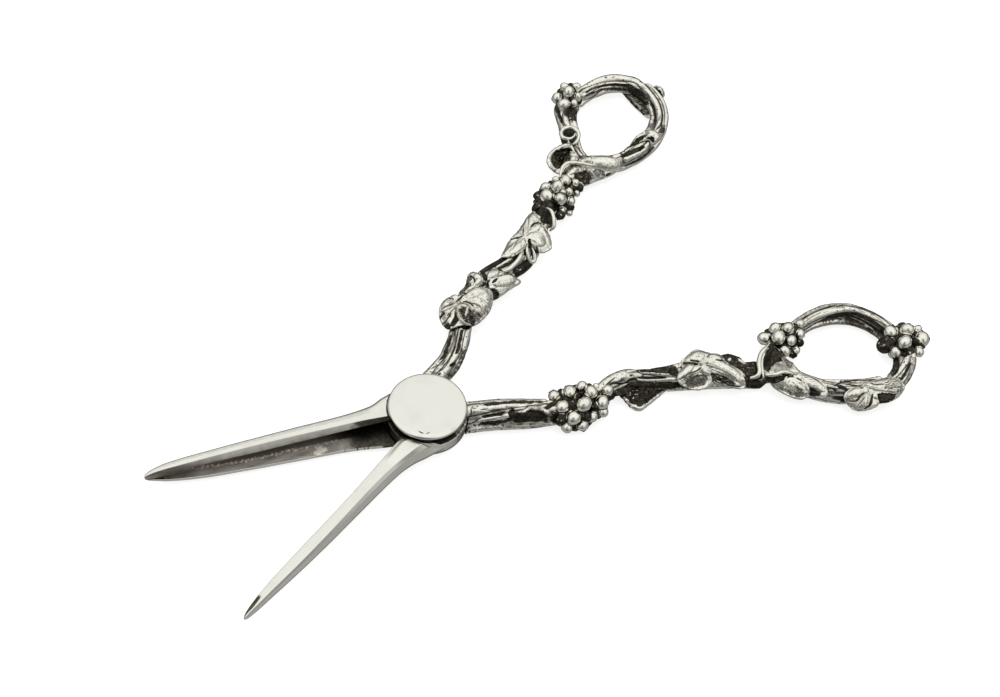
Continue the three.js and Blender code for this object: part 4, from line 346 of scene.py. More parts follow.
# leaves: centre c, outline o, relief in chart positions; the relief's dark areas are patina and, on leaves lying in
# shadow, painted shade
LEAVES = {
    "a_leaf_under": {
        "c": [47.32, -22.7, 2.6], "free": 1,
        "o": [
            [40.2, -18.2, 3.5], [39.71, -19.21, 3.3], [40.22, -20.32, 3.1], [41.33, -20.63, 2.9],
            [41.48, -21.59, 2.8], [42.02, -23.74, 1.8], [42.85, -25.18, 1.2], [44.22, -25.86, 0.9],
            [46.24, -25.65, 0.9], [49.21, -25.3, 1.0], [52.18, -25.04, 1.1], [53.53, -26.09, 1.2],
            [55.09, -27.14, 1.3], [56.79, -27.94, 1.5], [56.48, -26.03, 2.4], [53.01, -23.18, 3.2],
            [48.83, -20.51, 3.5], [44.76, -18.95, 3.6],
        ],
        "relief": [
            ["ridge", [[39.8, -19.3], [39.3, -20.2], [39.7, -21.0]], 0.55, 0.2, 0.9],
            # painted shade with patina: the upper face of this leaf, tilted down under the stem, darkened
            ["pit", 46.0, -24.0, 8.6, 4.2, -28, 0.1, 1.0],
            ["pit", 43.4, -24.0, 3.4, 3.6, 0, 0.2, 1.0],
            ["ridge", [[40.6, -22.6], [40.7, -25.4], [41.4, -26.9], [43, -27.2], [46, -26.95], [49.5, -26.75], [51.5, -27.9], [54, -29.1]], 0.42, 0.3],
            ["ridge", [[42.1, -22.9], [42.6, -22.5]], 0.17, 0.12, 0.8],
            ["ridge", [[43.3, -23.3], [43.8, -23.6]], 0.15, 0.12, 0.75],
            ["ridge", [[42.0, -24.0], [42.6, -23.8]], 0.15, 0.12, 0.75],
            ["ridge", [[43.2, -22.4], [43.7, -22.2]], 0.14, 0.1, 0.7],
            ["ridge", [[44.2, -22.6], [44.5, -22.9]], 0.13, 0.1, 0.7],
        ],
    },
    "a_leaf_mid": {
        "c": [60.86, -27.28, 6.95],
        "o": [
            [53.94, -26.1, 5.45], [54.75, -25.08, 6.5], [56.6, -24.4, 6.75], [58.01, -22.43, 5.5],
            [59.79, -22.29, 6.05], [61.66, -22.14, 6.6], [62.94, -22.53, 6.8], [64.37, -24.04, 6.4],
            [65.75, -25.3, 6.1], [66.99, -26.58, 5.85], [66.35, -29.12, 6.6], [67.04, -31.64, 6.45],
            [67.7, -33.82, 5.5], [67.68, -34.65, 4.2], [68.36, -34.78, 1.7], [67.41, -34.78, 1.25],
            [65.54, -33.41, 1.35], [63.52, -31.55, 1.7], [61.79, -30.39, 2.25], [60.39, -29.88, 1.55],
            [58.4, -29.25, 1.5], [56.56, -27.82, 1.9], [54.68, -27.22, 4.15],
        ],
        "relief": [
            ["dome", 57.6, -24.9, 3.4, 1.1, 14, 0.65],
            ["dome", 62.4, -23.4, 3.2, 1.7, -20, 0.45],
            ["dome", 66.2, -26.0, 1.4, 1.5, -40, 0.4],
            ["dome", 61.3, -27.0, 1.2, 1.5, 0, 0.45],
            ["dome", 66.4, -31.4, 1.4, 4.2, 8, 0.4],
            ["dome", 64.0, -31.6, 1.5, 4.6, 26, 0.35],
            ["area", [[54.9, -27.5], [56, -27.0], [58.4, -27.1], [60.2, -27.8], [60.9, -28.8], [60.2, -30.0], [58.4, -30.5], [56.6, -30.1], [55.2, -29.1]], 0.2, 0.63, 0.06],
            ["area", [[54.6, -26.5], [56, -26.25], [58.4, -26.35], [59.6, -26.9], [57.6, -27.2], [55.6, -27.2]], 0.1, 0.6, 0.2],
            ["area", [[61.2, -29.3], [62.0, -28.7], [63.2, -29.7], [64.2, -31.5], [65.0, -33.6], [64.5, -34.7], [63.2, -33.6], [61.8, -32.4], [60.7, -31.2]], 0.25, 0.74, 0.5],
            ["ridge", [[54.5, -28.2], [55.6, -30.0], [57.6, -31.0], [59.6, -31.0], [61.0, -29.8], [61.5, -28.4]], 0.42, 0.5],
            ["cut", [[58.0, -22.5], [59.4, -23.6], [60.9, -25.0]], 0.3, 0.4, 1.0],
            ["cut", [[60.3, -23.3], [61.7, -24.6]], 0.26, 0.35, 1.0],
            ["cut", [[54.6, -26.1], [57.4, -26.0], [59.6, -26.4], [61.0, -26.2]], 0.22, 0.2, 0.7],
            ["cut", [[64.2, -24.7], [65.8, -24.4]], 0.2, 0.2, 0.7],
            ["cut", [[65.4, -26.6], [66.4, -27.3], [67.2, -27.5]], 0.22, 0.25, 0.85],
            ["cut", [[62.6, -33.4], [64.2, -34.8], [65.4, -35.7]], 0.2, 0.25, 0.9],
            ["ridge", [[61.6, -25.2], [63.4, -27.2], [64.8, -29.4], [65.7, -31.6], [66.1, -33.6], [66.2, -35.6]], 0.32, 0.5],
            ["ridge", [[58.8, -22.6], [60.6, -24.2], [61.8, -25.4]], 0.22, 0.3],
            ["hatch", 66.6, -31.0, 1.2, 4.0, 8, 60, 0.75, 0.05, 0.5],
            ["hatch", 64.2, -30.4, 1.2, 3.2, 26, -20, 0.75, 0.05, 0.5],
            ["hatch", 58.6, -27.2, 2.2, 1.2, -10, 70, 0.7, 0.05, 0.35],
            ["hatch", 62.6, -23.2, 2.8, 1.4, -20, 45, 0.8, 0.04, 0.4],
            ["cut", [[63.0, -25.8], [63.3, -26.2]], 0.2, 0.15, 0.8],
        ],
    },
    "a_leaf_back": {
        "c": [68.68, -31.13, 6.2],
        "o": [
            [66.72, -26.56, 5.8], [68.48, -27.14, 6.2], [69.8, -28.45, 6.0], [70.58, -29.51, 5.7],
            [70.72, -30.33, 5.3], [71.1, -31.22, 5.5], [72.28, -31.69, 5.2], [73.25, -32.41, 5.25],
            [71.96, -34.46, 6.05], [70.84, -35.46, 5.6], [69.52, -35.31, 4.8], [68.13, -34.36, 4.45],
            [67.15, -32.33, 5.75], [66.26, -29.56, 6.25],
        ],
        "relief": [
            # painted shade with patina: this leaf behind the stem darkened all over
            ["area", [[65.6, -26.4], [68, -25.6], [70.4, -26.8], [72.4, -29], [73.4, -32], [72.4, -35.8], [69.6, -36.8], [66.4, -35.2], [65.4, -31]], 0.1, 0.84, 0.22],
            ["dome", 68.2, -28.2, 0.6, 0.45, 0, 0.3],
            ["ridge", [[67.9, -28.3], [68.5, -28.2]], 0.35, 0.15],
            ["ridge", [[70.2, -29.4], [70.6, -31.2]], 0.3, 0.3],
            ["ridge", [[67.4, -30.4], [67.9, -32.2], [67.9, -34.0]], 0.4, 0.15],
            ["hatch", 70.4, -33.0, 1.8, 1.2, -20, 20, 0.8, 0.1, 0.2],
        ],
    },
    "a_leaf_bow_root": {
        "c": [76.68, -41.36, 5.85],
        "o": [
            [73.33, -38.86, 2.3], [72.03, -36.99, 5.45], [72.56, -34.86, 6.05], [75.64, -31.45, 3.3],
            [77.21, -30.17, 3.35], [79.1, -29.66, 3.55], [79.52, -31.8, 5.45], [80.99, -35.31, 3.4],
            [79.98, -37.95, 5.35], [79.61, -40.4, 5.95], [80.54, -42.64, 6.05], [81.58, -45.08, 6.15],
            [81.74, -47.17, 5.9], [81.43, -48.58, 4.95], [80.87, -48.57, 2.95], [80.08, -46.96, 1.95],
            [78.78, -45.45, 1.45], [77.5, -44.92, 0.9], [76.21, -43.42, 0.7], [75.18, -41.69, 0.9],
            [74.3, -40.0, 1.2],
        ],
        "relief": [
            ["dome", 76.2, -43.2, 2.35, 3.3, 8, 1.0],
            ["dome", 79.8, -44.0, 1.5, 4.6, 22, 0.45],
            ["dome", 79.4, -48.4, 1.0, 0.9, 0, 0.35],
            ["dome", 74.6, -40.4, 1.0, 0.7, 0, 0.35],
            ["pit", 73.3, -43.0, 0.9, 2.6, 14, 0.2, 0.5],
            ["area", [[73.0, -35.0], [74.2, -32.6], [75.8, -30.6], [78.2, -29.8], [80.4, -30.8], [80.2, -32.4], [79.8, -34.6], [78.4, -35.6], [76.6, -35.2], [75.0, -35.6], [73.6, -36.4]], 0.15, 1.0, 0.35],
            ["area", [[73.6, -35.4], [76, -34.6], [79.8, -34.8], [80.2, -37.6], [78.6, -38.6], [77.2, -38.4], [75, -37.4]], 0.04, 0.46, 0.3],
            ["hatch", 73.0, -41.0, 1.6, 1.0, 0, -10, 0.6, 0.08, 0.85],
            ["area", [[71.4, -37.0], [72.6, -36.8], [73.8, -38.0], [75.6, -38.7], [76.8, -39.5], [75.0, -40.0], [73.2, -39.9], [72.0, -39.4]], 0.25, 1.0, 0.2],
            ["pit", 75.7, -44.3, 2.1, 2.3, 10, 0.0, 0.33],
            ["pit", 75.7, -44.6, 1.5, 1.8, 10, 0.0, 0.5],
            ["pit", 75.7, -44.8, 1.0, 1.2, 10, 0.0, 0.62],
            ["area", [[77.0, -46.6], [78.0, -45.5], [79.0, -44.9], [79.6, -46.4], [80.0, -47.8], [79.0, -48.2], [77.8, -47.6]], 0.2, 0.95, 0.3],
            ["ridge", [[72.6, -36.4], [73.6, -37.3], [75.0, -37.9], [76.4, -38.3], [77.5, -39.2], [78.6, -40.6]], 0.42, 0.45],
            ["ridge", [[72.3, -41.6], [73.3, -44.4], [74.9, -46.3], [76.4, -46.6], [77.9, -45.6], [78.5, -44.0]], 0.34, 0.35],
            ["hatch", 79.9, -43.6, 1.1, 3.8, 22, -25, 0.7, 0.06, 0.55],
            ["hatch", 77.2, -36.8, 2.4, 1.0, -10, 65, 0.6, 0.06, 0.5],
            ["cut", [[78.0, -41.4], [78.4, -42.6]], 0.2, 0.2, 0.9],
            ["cut", [[81.0, -42.6], [81.9, -45.0]], 0.22, 0.15, 0.8],
        ],
    },
    "a_leaf_bow_side": {
        "c": [89.62, -54.35, 5.9],
        "o": [
            [85.36, -52.78, 1.4], [84.29, -51.76, 3.9], [84.84, -51.3, 5.25], [86.6, -51.38, 5.95],
            [88.76, -52.4, 6.0], [89.72, -52.02, 6.05], [91.59, -52.38, 5.95], [93.94, -53.08, 5.7],
            [95.84, -53.74, 5.85], [96.98, -55.09, 6.25], [97.71, -56.89, 5.75], [98.13, -57.91, 4.5],
            [97.7, -58.0, 2.4], [95.61, -58.21, 1.9], [93.42, -57.68, 1.55], [91.71, -56.87, 1.55],
            [90.69, -56.9, 1.1], [88.32, -56.14, 0.7], [86.3, -54.73, 0.7],
        ],
        "relief": [
            ["dome", 86.8, -52.4, 2.4, 1.2, -8, 0.55],
            ["dome", 85.8, -55.2, 2.6, 1.7, -25, 0.45],
            ["dome", 88.2, -57.2, 1.4, 1.1, 0, 0.35],
            ["dome", 94.6, -54.6, 3.2, 1.5, -22, 0.45],
            ["dome", 94.6, -58.0, 2.6, 1.2, 12, 0.35],
            ["dome", 96.8, -56.0, 1.3, 1.8, 0, 0.4],
            ["dome", 90.2, -56.2, 0.8, 0.7, 0, 0.3],
            ["area", [[89.6, -58.2], [90.1, -56.8], [90.9, -55.7], [92.2, -56.0], [93.4, -57.0], [94.6, -58.1], [93.6, -59.0], [91.6, -59.2]], 0.35, 0.95, 0.35],
            ["pit", 86.0, -55.0, 3.4, 2.4, -20, 0, 0.36],
            ["pit", 95.6, -56.4, 2.6, 2.6, 0, 0, 0.34],
            ["cut", [[85.5, -57.2], [87.2, -57.0], [88.6, -56.2], [89.8, -55.2]], 0.28, 0.35, 0.97],
            ["cut", [[83.8, -53.4], [85.4, -54.2], [86.8, -53.8], [88.6, -53.7]], 0.22, 0.25, 0.8],
            ["cut", [[84.4, -55.6], [86.2, -55.0], [87.6, -54.6]], 0.16, 0.15, 0.6],
            ["cut", [[88.4, -51.6], [89.2, -52.2]], 0.32, 0.3, 1.0],
            ["cut", [[91.6, -52.2], [92.4, -53.4], [94.0, -54.4]], 0.2, 0.2, 0.7],
            ["ridge", [[90.2, -52.4], [91.0, -53.7], [92.8, -55.4], [95.2, -57.4]], 0.3, 0.5],
            ["ridge", [[90.2, -53.0], [88.6, -54.6], [86.4, -56.2]], 0.22, 0.2],
            ["hatch", 95.2, -55.4, 2.6, 2.0, 0, -10, 0.7, 0.1, 0.95],
            ["hatch", 95.0, -57.8, 2.6, 1.2, 10, 40, 0.7, 0.1, 0.9],
            ["hatch", 85.4, -55.4, 2.2, 1.6, 0, 25, 0.8, 0.05, 0.5],
        ],
    },
    "b_leaf_neck": {
        "c": [23.79, 19.29, 7.2], "ease": 260,
        "o": [
            [19.64, 21.72, 3.7], [20.7, 23.36, 4.0], [22.45, 24.08, 4.5], [24.4, 24.21, 4.8],
            [25.98, 23.9, 4.65], [25.82, 21.96, 6.15], [26.98, 21.19, 7.0], [28.94, 21.36, 7.05],
            [30.79, 21.22, 6.95], [32.24, 20.6, 6.45], [33.72, 20.01, 5.35], [35.09, 20.16, 2.15],
            [34.14, 18.7, 2.05], [33.24, 17.71, 1.85], [31.57, 16.54, 1.95], [28.61, 14.95, 3.8],
            [26.71, 14.34, 4.0], [24.57, 13.67, 5.05], [22.32, 13.06, 6.75], [21.27, 13.99, 7.25],
            [20.85, 15.27, 6.9], [19.71, 15.34, 6.4], [18.62, 15.94, 4.75], [18.66, 17.64, 3.45],
            [18.84, 19.42, 3.5], [19.16, 20.74, 3.65],
        ],
        "relief": [
            ["dome", 30.4, 19.2, 4.0, 3.3, -8, 0.7],
            ["dome", 28.0, 16.4, 1.7, 2.3, 14, 0.3],
            ["dome", 22.2, 22.6, 2.8, 1.3, 15, 0.4],
            ["dome", 25.3, 23.0, 1.0, 1.0, 0, 0.45],
            ["dome", 24.9, 20.8, 0.6, 0.6, 0, 0.45],
            ["hatch", 22.0, 22.6, 2.6, 1.2, 15, 20, 0.62, 0.06, 0.45],
            ["hatch", 28.4, 16.2, 1.8, 2.2, 14, 75, 0.7, 0.05, 0.45],
            ["pit", 21.0, 17.1, 1.9, 0.75, 18, 0.35, 1.0],
            ["pit", 18.8, 17.4, 0.8, 1.2, 0, 0.2, 0.8],
            ["pit", 24.6, 16.7, 1.9, 3.4, -6, 0.5, 0.74],
            ["pit", 26.2, 15.4, 1.6, 1.6, 0, 0.2, 0.6],
            ["ridge", [[24.6, 20.8], [22.2, 20.95], [20.2, 21.2]], 0.42, 0.45],
            ["ridge", [[24.0, 20.3], [21.5, 19.7], [19.2, 19.2]], 0.36, 0.38],
            ["ridge", [[23.6, 19.9], [21.4, 18.9], [19.3, 17.9]], 0.36, 0.38],
            ["cut", [[18.5, 20.0], [19.4, 20.3], [20.4, 20.6]], 0.3, 0.4, 1.0],
            ["cut", [[20.2, 19.25], [22, 19.8], [23.6, 20.2]], 0.15, 0.2, 0.8],
            ["cut", [[18.2, 18.4], [19.6, 18.5], [21.4, 19.3]], 0.2, 0.25, 0.8],
            ["cut", [[20.6, 17.4], [22.0, 18.2], [23.2, 19.5]], 0.3, 0.4, 1.0],
            ["cut", [[23.7, 23.4], [24.5, 22.5]], 0.25, 0.2, 0.75],
            ["cut", [[24.8, 21.6], [26.2, 21.9], [27.4, 22.3], [29.5, 22.35]], 0.26, 0.3, 0.85],
            ["cut", [[20.3, 21.7], [22.6, 21.6], [24.2, 21.4]], 0.18, 0.2, 0.7],
            ["ridge", [[22.8, 22.4], [23.8, 21.7], [24.6, 21.1]], 0.25, 0.3],
            ["ridge", [[23.7, 20.2], [22.9, 18.6], [22.35, 16.9], [22.5, 15.4], [23.4, 14.2]], 0.36, 0.65],
            ["ridge", [[24.4, 17.2], [25.4, 18.0], [26.0, 18.7]], 0.22, 0.18],
            ["ridge", [[25.0, 20.8], [26.1, 19.7], [26.55, 18.4], [26.6, 17.0]], 0.3, 0.55],
            ["cut", [[26.2, 20.5], [26.9, 19.4], [27.2, 18.3]], 0.28, 0.3, 0.9],
            ["cut", [[27.4, 18.9], [28.2, 17.8], [28.4, 16.6]], 0.18, 0.15, 0.6],
            ["ridge", [[29.6, 19.0], [29.8, 17.6], [30.0, 15.9]], 0.26, 0.25],
            ["cut", [[26.9, 15.8], [27.0, 14.6]], 0.2, 0.15, 0.8],
            ["pit", 28.6, 15.4, 2.6, 1.3, 18, 0.05, 0.42],
        ],
    },
    "b_leaf_neck_back": {
        "c": [30.69, 23.02, 6.75],
        "o": [
            [26.71, 23.53, 4.4], [28.45, 23.93, 5.3], [30.28, 25.28, 4.85], [31.32, 26.22, 5.15],
            [32.57, 26.66, 5.25], [33.62, 26.0, 5.35], [33.43, 23.76, 6.85], [33.3, 22.54, 6.9],
            [32.48, 21.73, 6.75], [30.66, 21.5, 6.8], [28.23, 21.57, 6.5],
        ],
        "relief": [
            ["dome", 33.2, 25.0, 1.25, 1.9, 20, 0.65],
            ["dome", 32.7, 23.3, 1.5, 0.8, 0, 0.5],
            ["pit", 29.0, 23.7, 3.0, 1.1, 24, 0.15, 0.68],
            ["pit", 31.2, 25.2, 1.1, 0.9, 40, 0.15, 0.62],
            ["cut", [[32.0, 25.8], [32.3, 24.4], [31.8, 23.6]], 0.22, 0.2, 0.8],
            ["ridge", [[28.4, 22.7], [30.2, 22.9], [31.8, 22.9]], 0.3, 0.15],
        ],
    },
    "b_leaf_side": {
        "c": [36.63, 20.41, 5.7], "ease": 260,
        "o": [
            [34.06, 21.31, 6.6], [34.32, 22.36, 7.05], [35.23, 23.07, 7.2], [37.0, 23.14, 7.25],
            [37.85, 22.5, 7.15], [38.28, 21.45, 6.35], [39.08, 20.95, 6.35], [40.58, 20.37, 5.6],
            [41.55, 19.86, 4.35], [42.23, 19.85, 2.9], [43.67, 19.38, 1.55], [43.1, 18.91, 1.3],
            [40.58, 19.12, 1.1], [37.58, 18.85, 1.05], [35.0, 18.37, 1.55], [33.31, 18.07, 2.1],
            [33.58, 19.04, 2.35], [33.56, 19.66, 4.7], [34.28, 20.46, 5.8],
        ],
        "relief": [
            ["dome", 37.1, 23.2, 1.9, 1.1, 0, 0.55],
            ["dome", 38.2, 19.9, 3.2, 2.0, -12, 0.75],
            ["dome", 40.5, 17.8, 1.3, 0.9, 0, 0.4],
            ["dome", 36.2, 18.4, 2.4, 1.5, 20, 0.35],
            ["pit", 33.3, 17.9, 1.35, 2.8, -30, 0.2, 0.95],
            ["cut", [[35.3, 21.15], [36.0, 21.3], [36.8, 21.6]], 0.24, 0.4, 1.0],
            ["cut", [[37.6, 21.9], [38.8, 21.7]], 0.16, 0.2, 0.6],
            ["cut", [[34.6, 21.6], [35.3, 22.2]], 0.2, 0.2, 0.8],
            ["hatch", 37.5, 17.6, 3.4, 0.8, 0, 5, 0.7, 0.03, 0.3],
        ],
    },
    "b_leaf_mid": {
        "c": [49.31, 26.3, 7.3],
        "o": [
            [41.0, 25.46, 6.85], [42.15, 24.31, 7.3], [43.29, 23.56, 7.4], [45.11, 23.58, 7.35],
            [46.95, 23.94, 7.25], [48.57, 24.56, 6.85], [49.67, 23.87, 6.3], [50.72, 22.72, 5.15],
            [52.44, 22.82, 3.15], [53.9, 22.68, 3.05], [55.38, 23.15, 2.75], [56.4, 24.77, 2.9],
            [56.36, 25.85, 4.55], [56.03, 26.63, 6.0], [55.47, 27.78, 6.8], [55.83, 29.03, 6.7],
            [56.48, 29.68, 6.95], [56.3, 30.89, 6.75], [56.77, 32.77, 5.75], [55.94, 33.35, 4.4],
            [53.14, 32.04, 4.75], [50.68, 30.89, 4.5], [48.14, 29.94, 4.75], [46.2, 29.2, 5.0],
            [43.51, 27.39, 5.9],
        ],
        "relief": [
            ["dome", 47.0, 26.4, 3.3, 1.2, 18, 0.45],
            ["dome", 52.5, 25.6, 2.2, 2.6, -12, 0.75],
            ["dome", 54.9, 25.4, 1.2, 3.0, -10, 0.5],
            ["dome", 53.9, 28.3, 2.3, 1.15, 10, 0.55],
            ["dome", 55.1, 31.4, 2.4, 1.3, 25, 0.5],
            ["dome", 52.0, 30.5, 1.8, 0.9, 35, 0.3],
            ["dome", 48.4, 29.2, 2.0, 0.75, 20, 0.3],
            ["hatch", 55.0, 25.2, 0.9, 2.6, -10, 80, 0.6, 0.04, 0.5],
            ["hatch", 52.4, 22.9, 1.6, 1.0, 0, 85, 0.6, 0.04, 0.4],
            ["hatch", 54.6, 31.2, 2.2, 1.2, 25, 30, 0.7, 0.03, 0.3],
            ["ridge", [[50.3, 28.2], [52, 30], [54, 31.6]], 0.3, 0.25],
            ["ridge", [[50.2, 28.1], [46.4, 27.4], [43, 26.4]], 0.25, 0.22],
            ["cut", [[50.65, 26.6], [50.2, 25.5], [49.6, 24.2]], 0.32, 0.6, 1.0],
            ["cut", [[46.5, 29.1], [48.2, 28.75], [50.0, 28.5]], 0.2, 0.25, 0.85],
            ["cut", [[53.6, 29.5], [54.8, 29.85], [56.0, 29.5], [56.8, 29.0]], 0.28, 0.4, 1.0],
            ["cut", [[51.0, 28.0], [52.4, 27.8], [53.8, 27.0]], 0.15, 0.12, 0.4],
            ["cut", [[50.9, 30.3], [52.2, 31.2], [53.2, 31.8]], 0.22, 0.25, 0.75],
            ["cut", [[50.7, 29.0], [51.6, 30.0]], 0.2, 0.2, 0.7],
            ["cut", [[45.3, 26.3], [47.4, 27.5], [49.6, 28.1]], 0.15, 0.14, 0.5],
            ["cut", [[55.6, 26.8], [55.7, 25.6]], 0.25, 0.2, 0.85],
            ["cut", [[50.9, 23.8], [50.6, 22.4]], 0.3, 0.3, 0.9],
            ["cut", [[49.6, 27.2], [49.7, 26.6]], 0.18, 0.2, 0.6],
        ],
    },
    "b_leaf_bow_root": {
        "c": [77.51, 35.69, 4.5], "ease": 260,
        "o": [
            [75.99, 37.71, 6.0], [76.95, 38.78, 6.05], [78.62, 38.96, 6.25], [80.45, 37.89, 6.2],
            [82.22, 36.47, 6.25], [83.81, 35.37, 6.25], [84.47, 34.13, 6.15], [84.58, 32.8, 5.35],
            [84.84, 32.1, 4.3], [83.81, 32.29, 2.75], [81.76, 33.08, 1.2], [79.55, 33.98, 0.85],
            [77.5, 34.53, 0.25], [73.94, 33.47, 2.45], [72.84, 34.7, 3.45], [71.51, 35.22, 5.65],
            [70.15, 36.27, 6.25], [71.0, 37.91, 6.0], [72.73, 38.65, 6.1], [74.41, 38.13, 6.3],
        ],
        "relief": [
            ["dome", 81.7, 34.9, 4.0, 2.7, -33, 0.7],
            ["dome", 78.6, 38.5, 1.2, 1.0, 0, 0.5],
            ["dome", 73.6, 37.8, 2.0, 0.9, 18, 0.4],
            ["pit", 74.0, 34.6, 2.4, 2.7, 0, 0.35, 0.85],
            ["pit", 78.0, 33.2, 1.8, 1.9, 0, 0.15, 0.52],
            ["pit", 79.9, 31.8, 1.1, 0.5, 0, 0.15, 0.8],
            ["cut", [[70.9, 37.5], [72.2, 38.8], [73.8, 39.1], [75.2, 38.6]], 0.36, 0.35, 1.0],
            ["cut", [[74.5, 38.2]], 0.3, 0.3, 1.0],
            ["cut", [[77.4, 36.8], [78.7, 35.2], [79.9, 33.6], [80.6, 32.6]], 0.16, 0.12, 0.45],
            ["cut", [[79.5, 39.3]], 0.4, 0.2, 0.85],
            ["ridge", [[76.4, 36.8], [76.6, 34.6], [76.4, 32.2]], 0.42, 0.55],
            ["ridge", [[72.2, 34.0], [72.6, 32.2]], 0.25, 0.25],
            ["hatch", 82.6, 32.0, 2.0, 0.8, 0, 10, 0.7, 0.04, 0.5],
        ],
    },
    "b_leaf_bow_end": {
        "c": [103.9, 48.42, 2.0], "free": 1,
        "o": [
            [101.89, 53.85, 2.0], [101.89, 52.02, 1.7], [101.92, 49.12, 1.5], [101.99, 46.16, 1.4],
            [102.12, 43.48, 1.5], [103.27, 42.06, 2.2], [104.74, 44.4, 3.0], [105.44, 47.63, 3.3],
            [105.11, 51.1, 3.2], [103.74, 54.02, 2.7],
        ],
        "relief": [
            ["pit", 101.8, 46.6, 3.4, 7.0, 0, 0.1, 0.72],
            ["ridge", [[100.5, 44.2], [100.6, 46.5], [100.7, 48.8]], 0.35, 0.1, 0.3],
            ["hatch", 100.7, 46.5, 0.8, 3.2, 0, 8, 0.9, 0.08, 0.9],
        ],
    },
    "b_leaf_wrap": {
        "c": [95.68, 34.78, 6.4],
        "o": [
            [89.29, 35.53, 5.8], [91.6, 37.0, 5.0], [93.73, 37.72, 4.8], [96.36, 38.22, 4.45],
            [97.24, 37.0, 5.85], [98.14, 35.73, 6.15], [98.64, 34.71, 5.85], [98.8, 34.03, 5.3],
            [98.27, 33.62, 5.05], [96.24, 33.21, 5.25], [94.84, 33.48, 5.55], [94.91, 34.16, 5.75],
            [93.98, 34.85, 5.95], [91.45, 35.2, 5.85],
        ],
        "relief": [
            ["dome", 97.4, 35.6, 1.5, 2.3, 14, 0.6],
            ["dome", 94.4, 37.3, 2.8, 0.6, 8, 0.3],
            ["dome", 97.0, 33.9, 1.5, 0.6, 10, 0.25],
            ["pit", 93.0, 36.2, 3.4, 0.62, 6, 0.4, 1.0],
            ["pit", 95.9, 34.7, 0.9, 1.2, 15, 0.35, 0.95],
            ["ridge", [[95.1, 35.5], [95.7, 34.8], [95.4, 33.8]], 0.2, 0.25],
            ["ridge", [[96.9, 37.2], [98.0, 36.2], [98.2, 35.0], [97.6, 33.8]], 0.75, 0.12],
            ["ridge", [[90.4, 35.2], [93.2, 35.2], [94.6, 34.8], [94.9, 34.1], [94.3, 33.3]], 0.24, 0.15],
        ],
    },
    "b_leaf_curl": {
        "c": [74.69, 43.47, 3.2], "free": 1,
        "o": [
            [70.06, 39.95, 4.4], [69.23, 41.28, 5.2], [69.27, 42.72, 5.8], [70.22, 43.92, 6.3],
            [71.83, 44.53, 6.6], [74.18, 44.79, 6.5], [76.46, 44.68, 6.2], [77.64, 44.06, 5.9],
            [77.33, 42.64, 5.6], [77.05, 40.96, 5.4], [76.48, 39.48, 5.2], [74.6, 39.4, 5.0],
            [72.64, 39.84, 4.6], [71.02, 39.21, 4.3],
        ],
        "relief": [
            ["dome", 75.9, 41.1, 1.8, 1.7, 0, 1.3],
            ["area", [[70.1, 40.2], [70.2, 42.2], [71.0, 43.8], [72.3, 44.8], [73.8, 45.1], [75.2, 44.7], [76.9, 44.2], [77.0, 43.2], [75.6, 42.8], [74.4, 42.6], [73.4, 41.6], [72.2, 40.8], [71.2, 40.0]], 0.6, 0.7, 0.0],
            ["area", [[72.6, 43.6], [73.2, 44.7], [74.6, 44.8], [75.0, 44.1], [76.6, 44.0], [76.4, 43.5], [74.8, 43.3], [73.6, 42.9]], 0.15, 0.86, 0.1],
            ["ridge", [[69.7, 40.4], [69.8, 42.4], [70.6, 44.0], [71.9, 45.0], [73.5, 45.4], [75.4, 45.4], [77.2, 45.0], [78.0, 44.6]], 0.38, 0.3],
            ["ridge", [[78.0, 44.6], [77.5, 43.2], [77.2, 41.5], [76.7, 40.0]], 0.4, 0.35],
        ],
    },
}
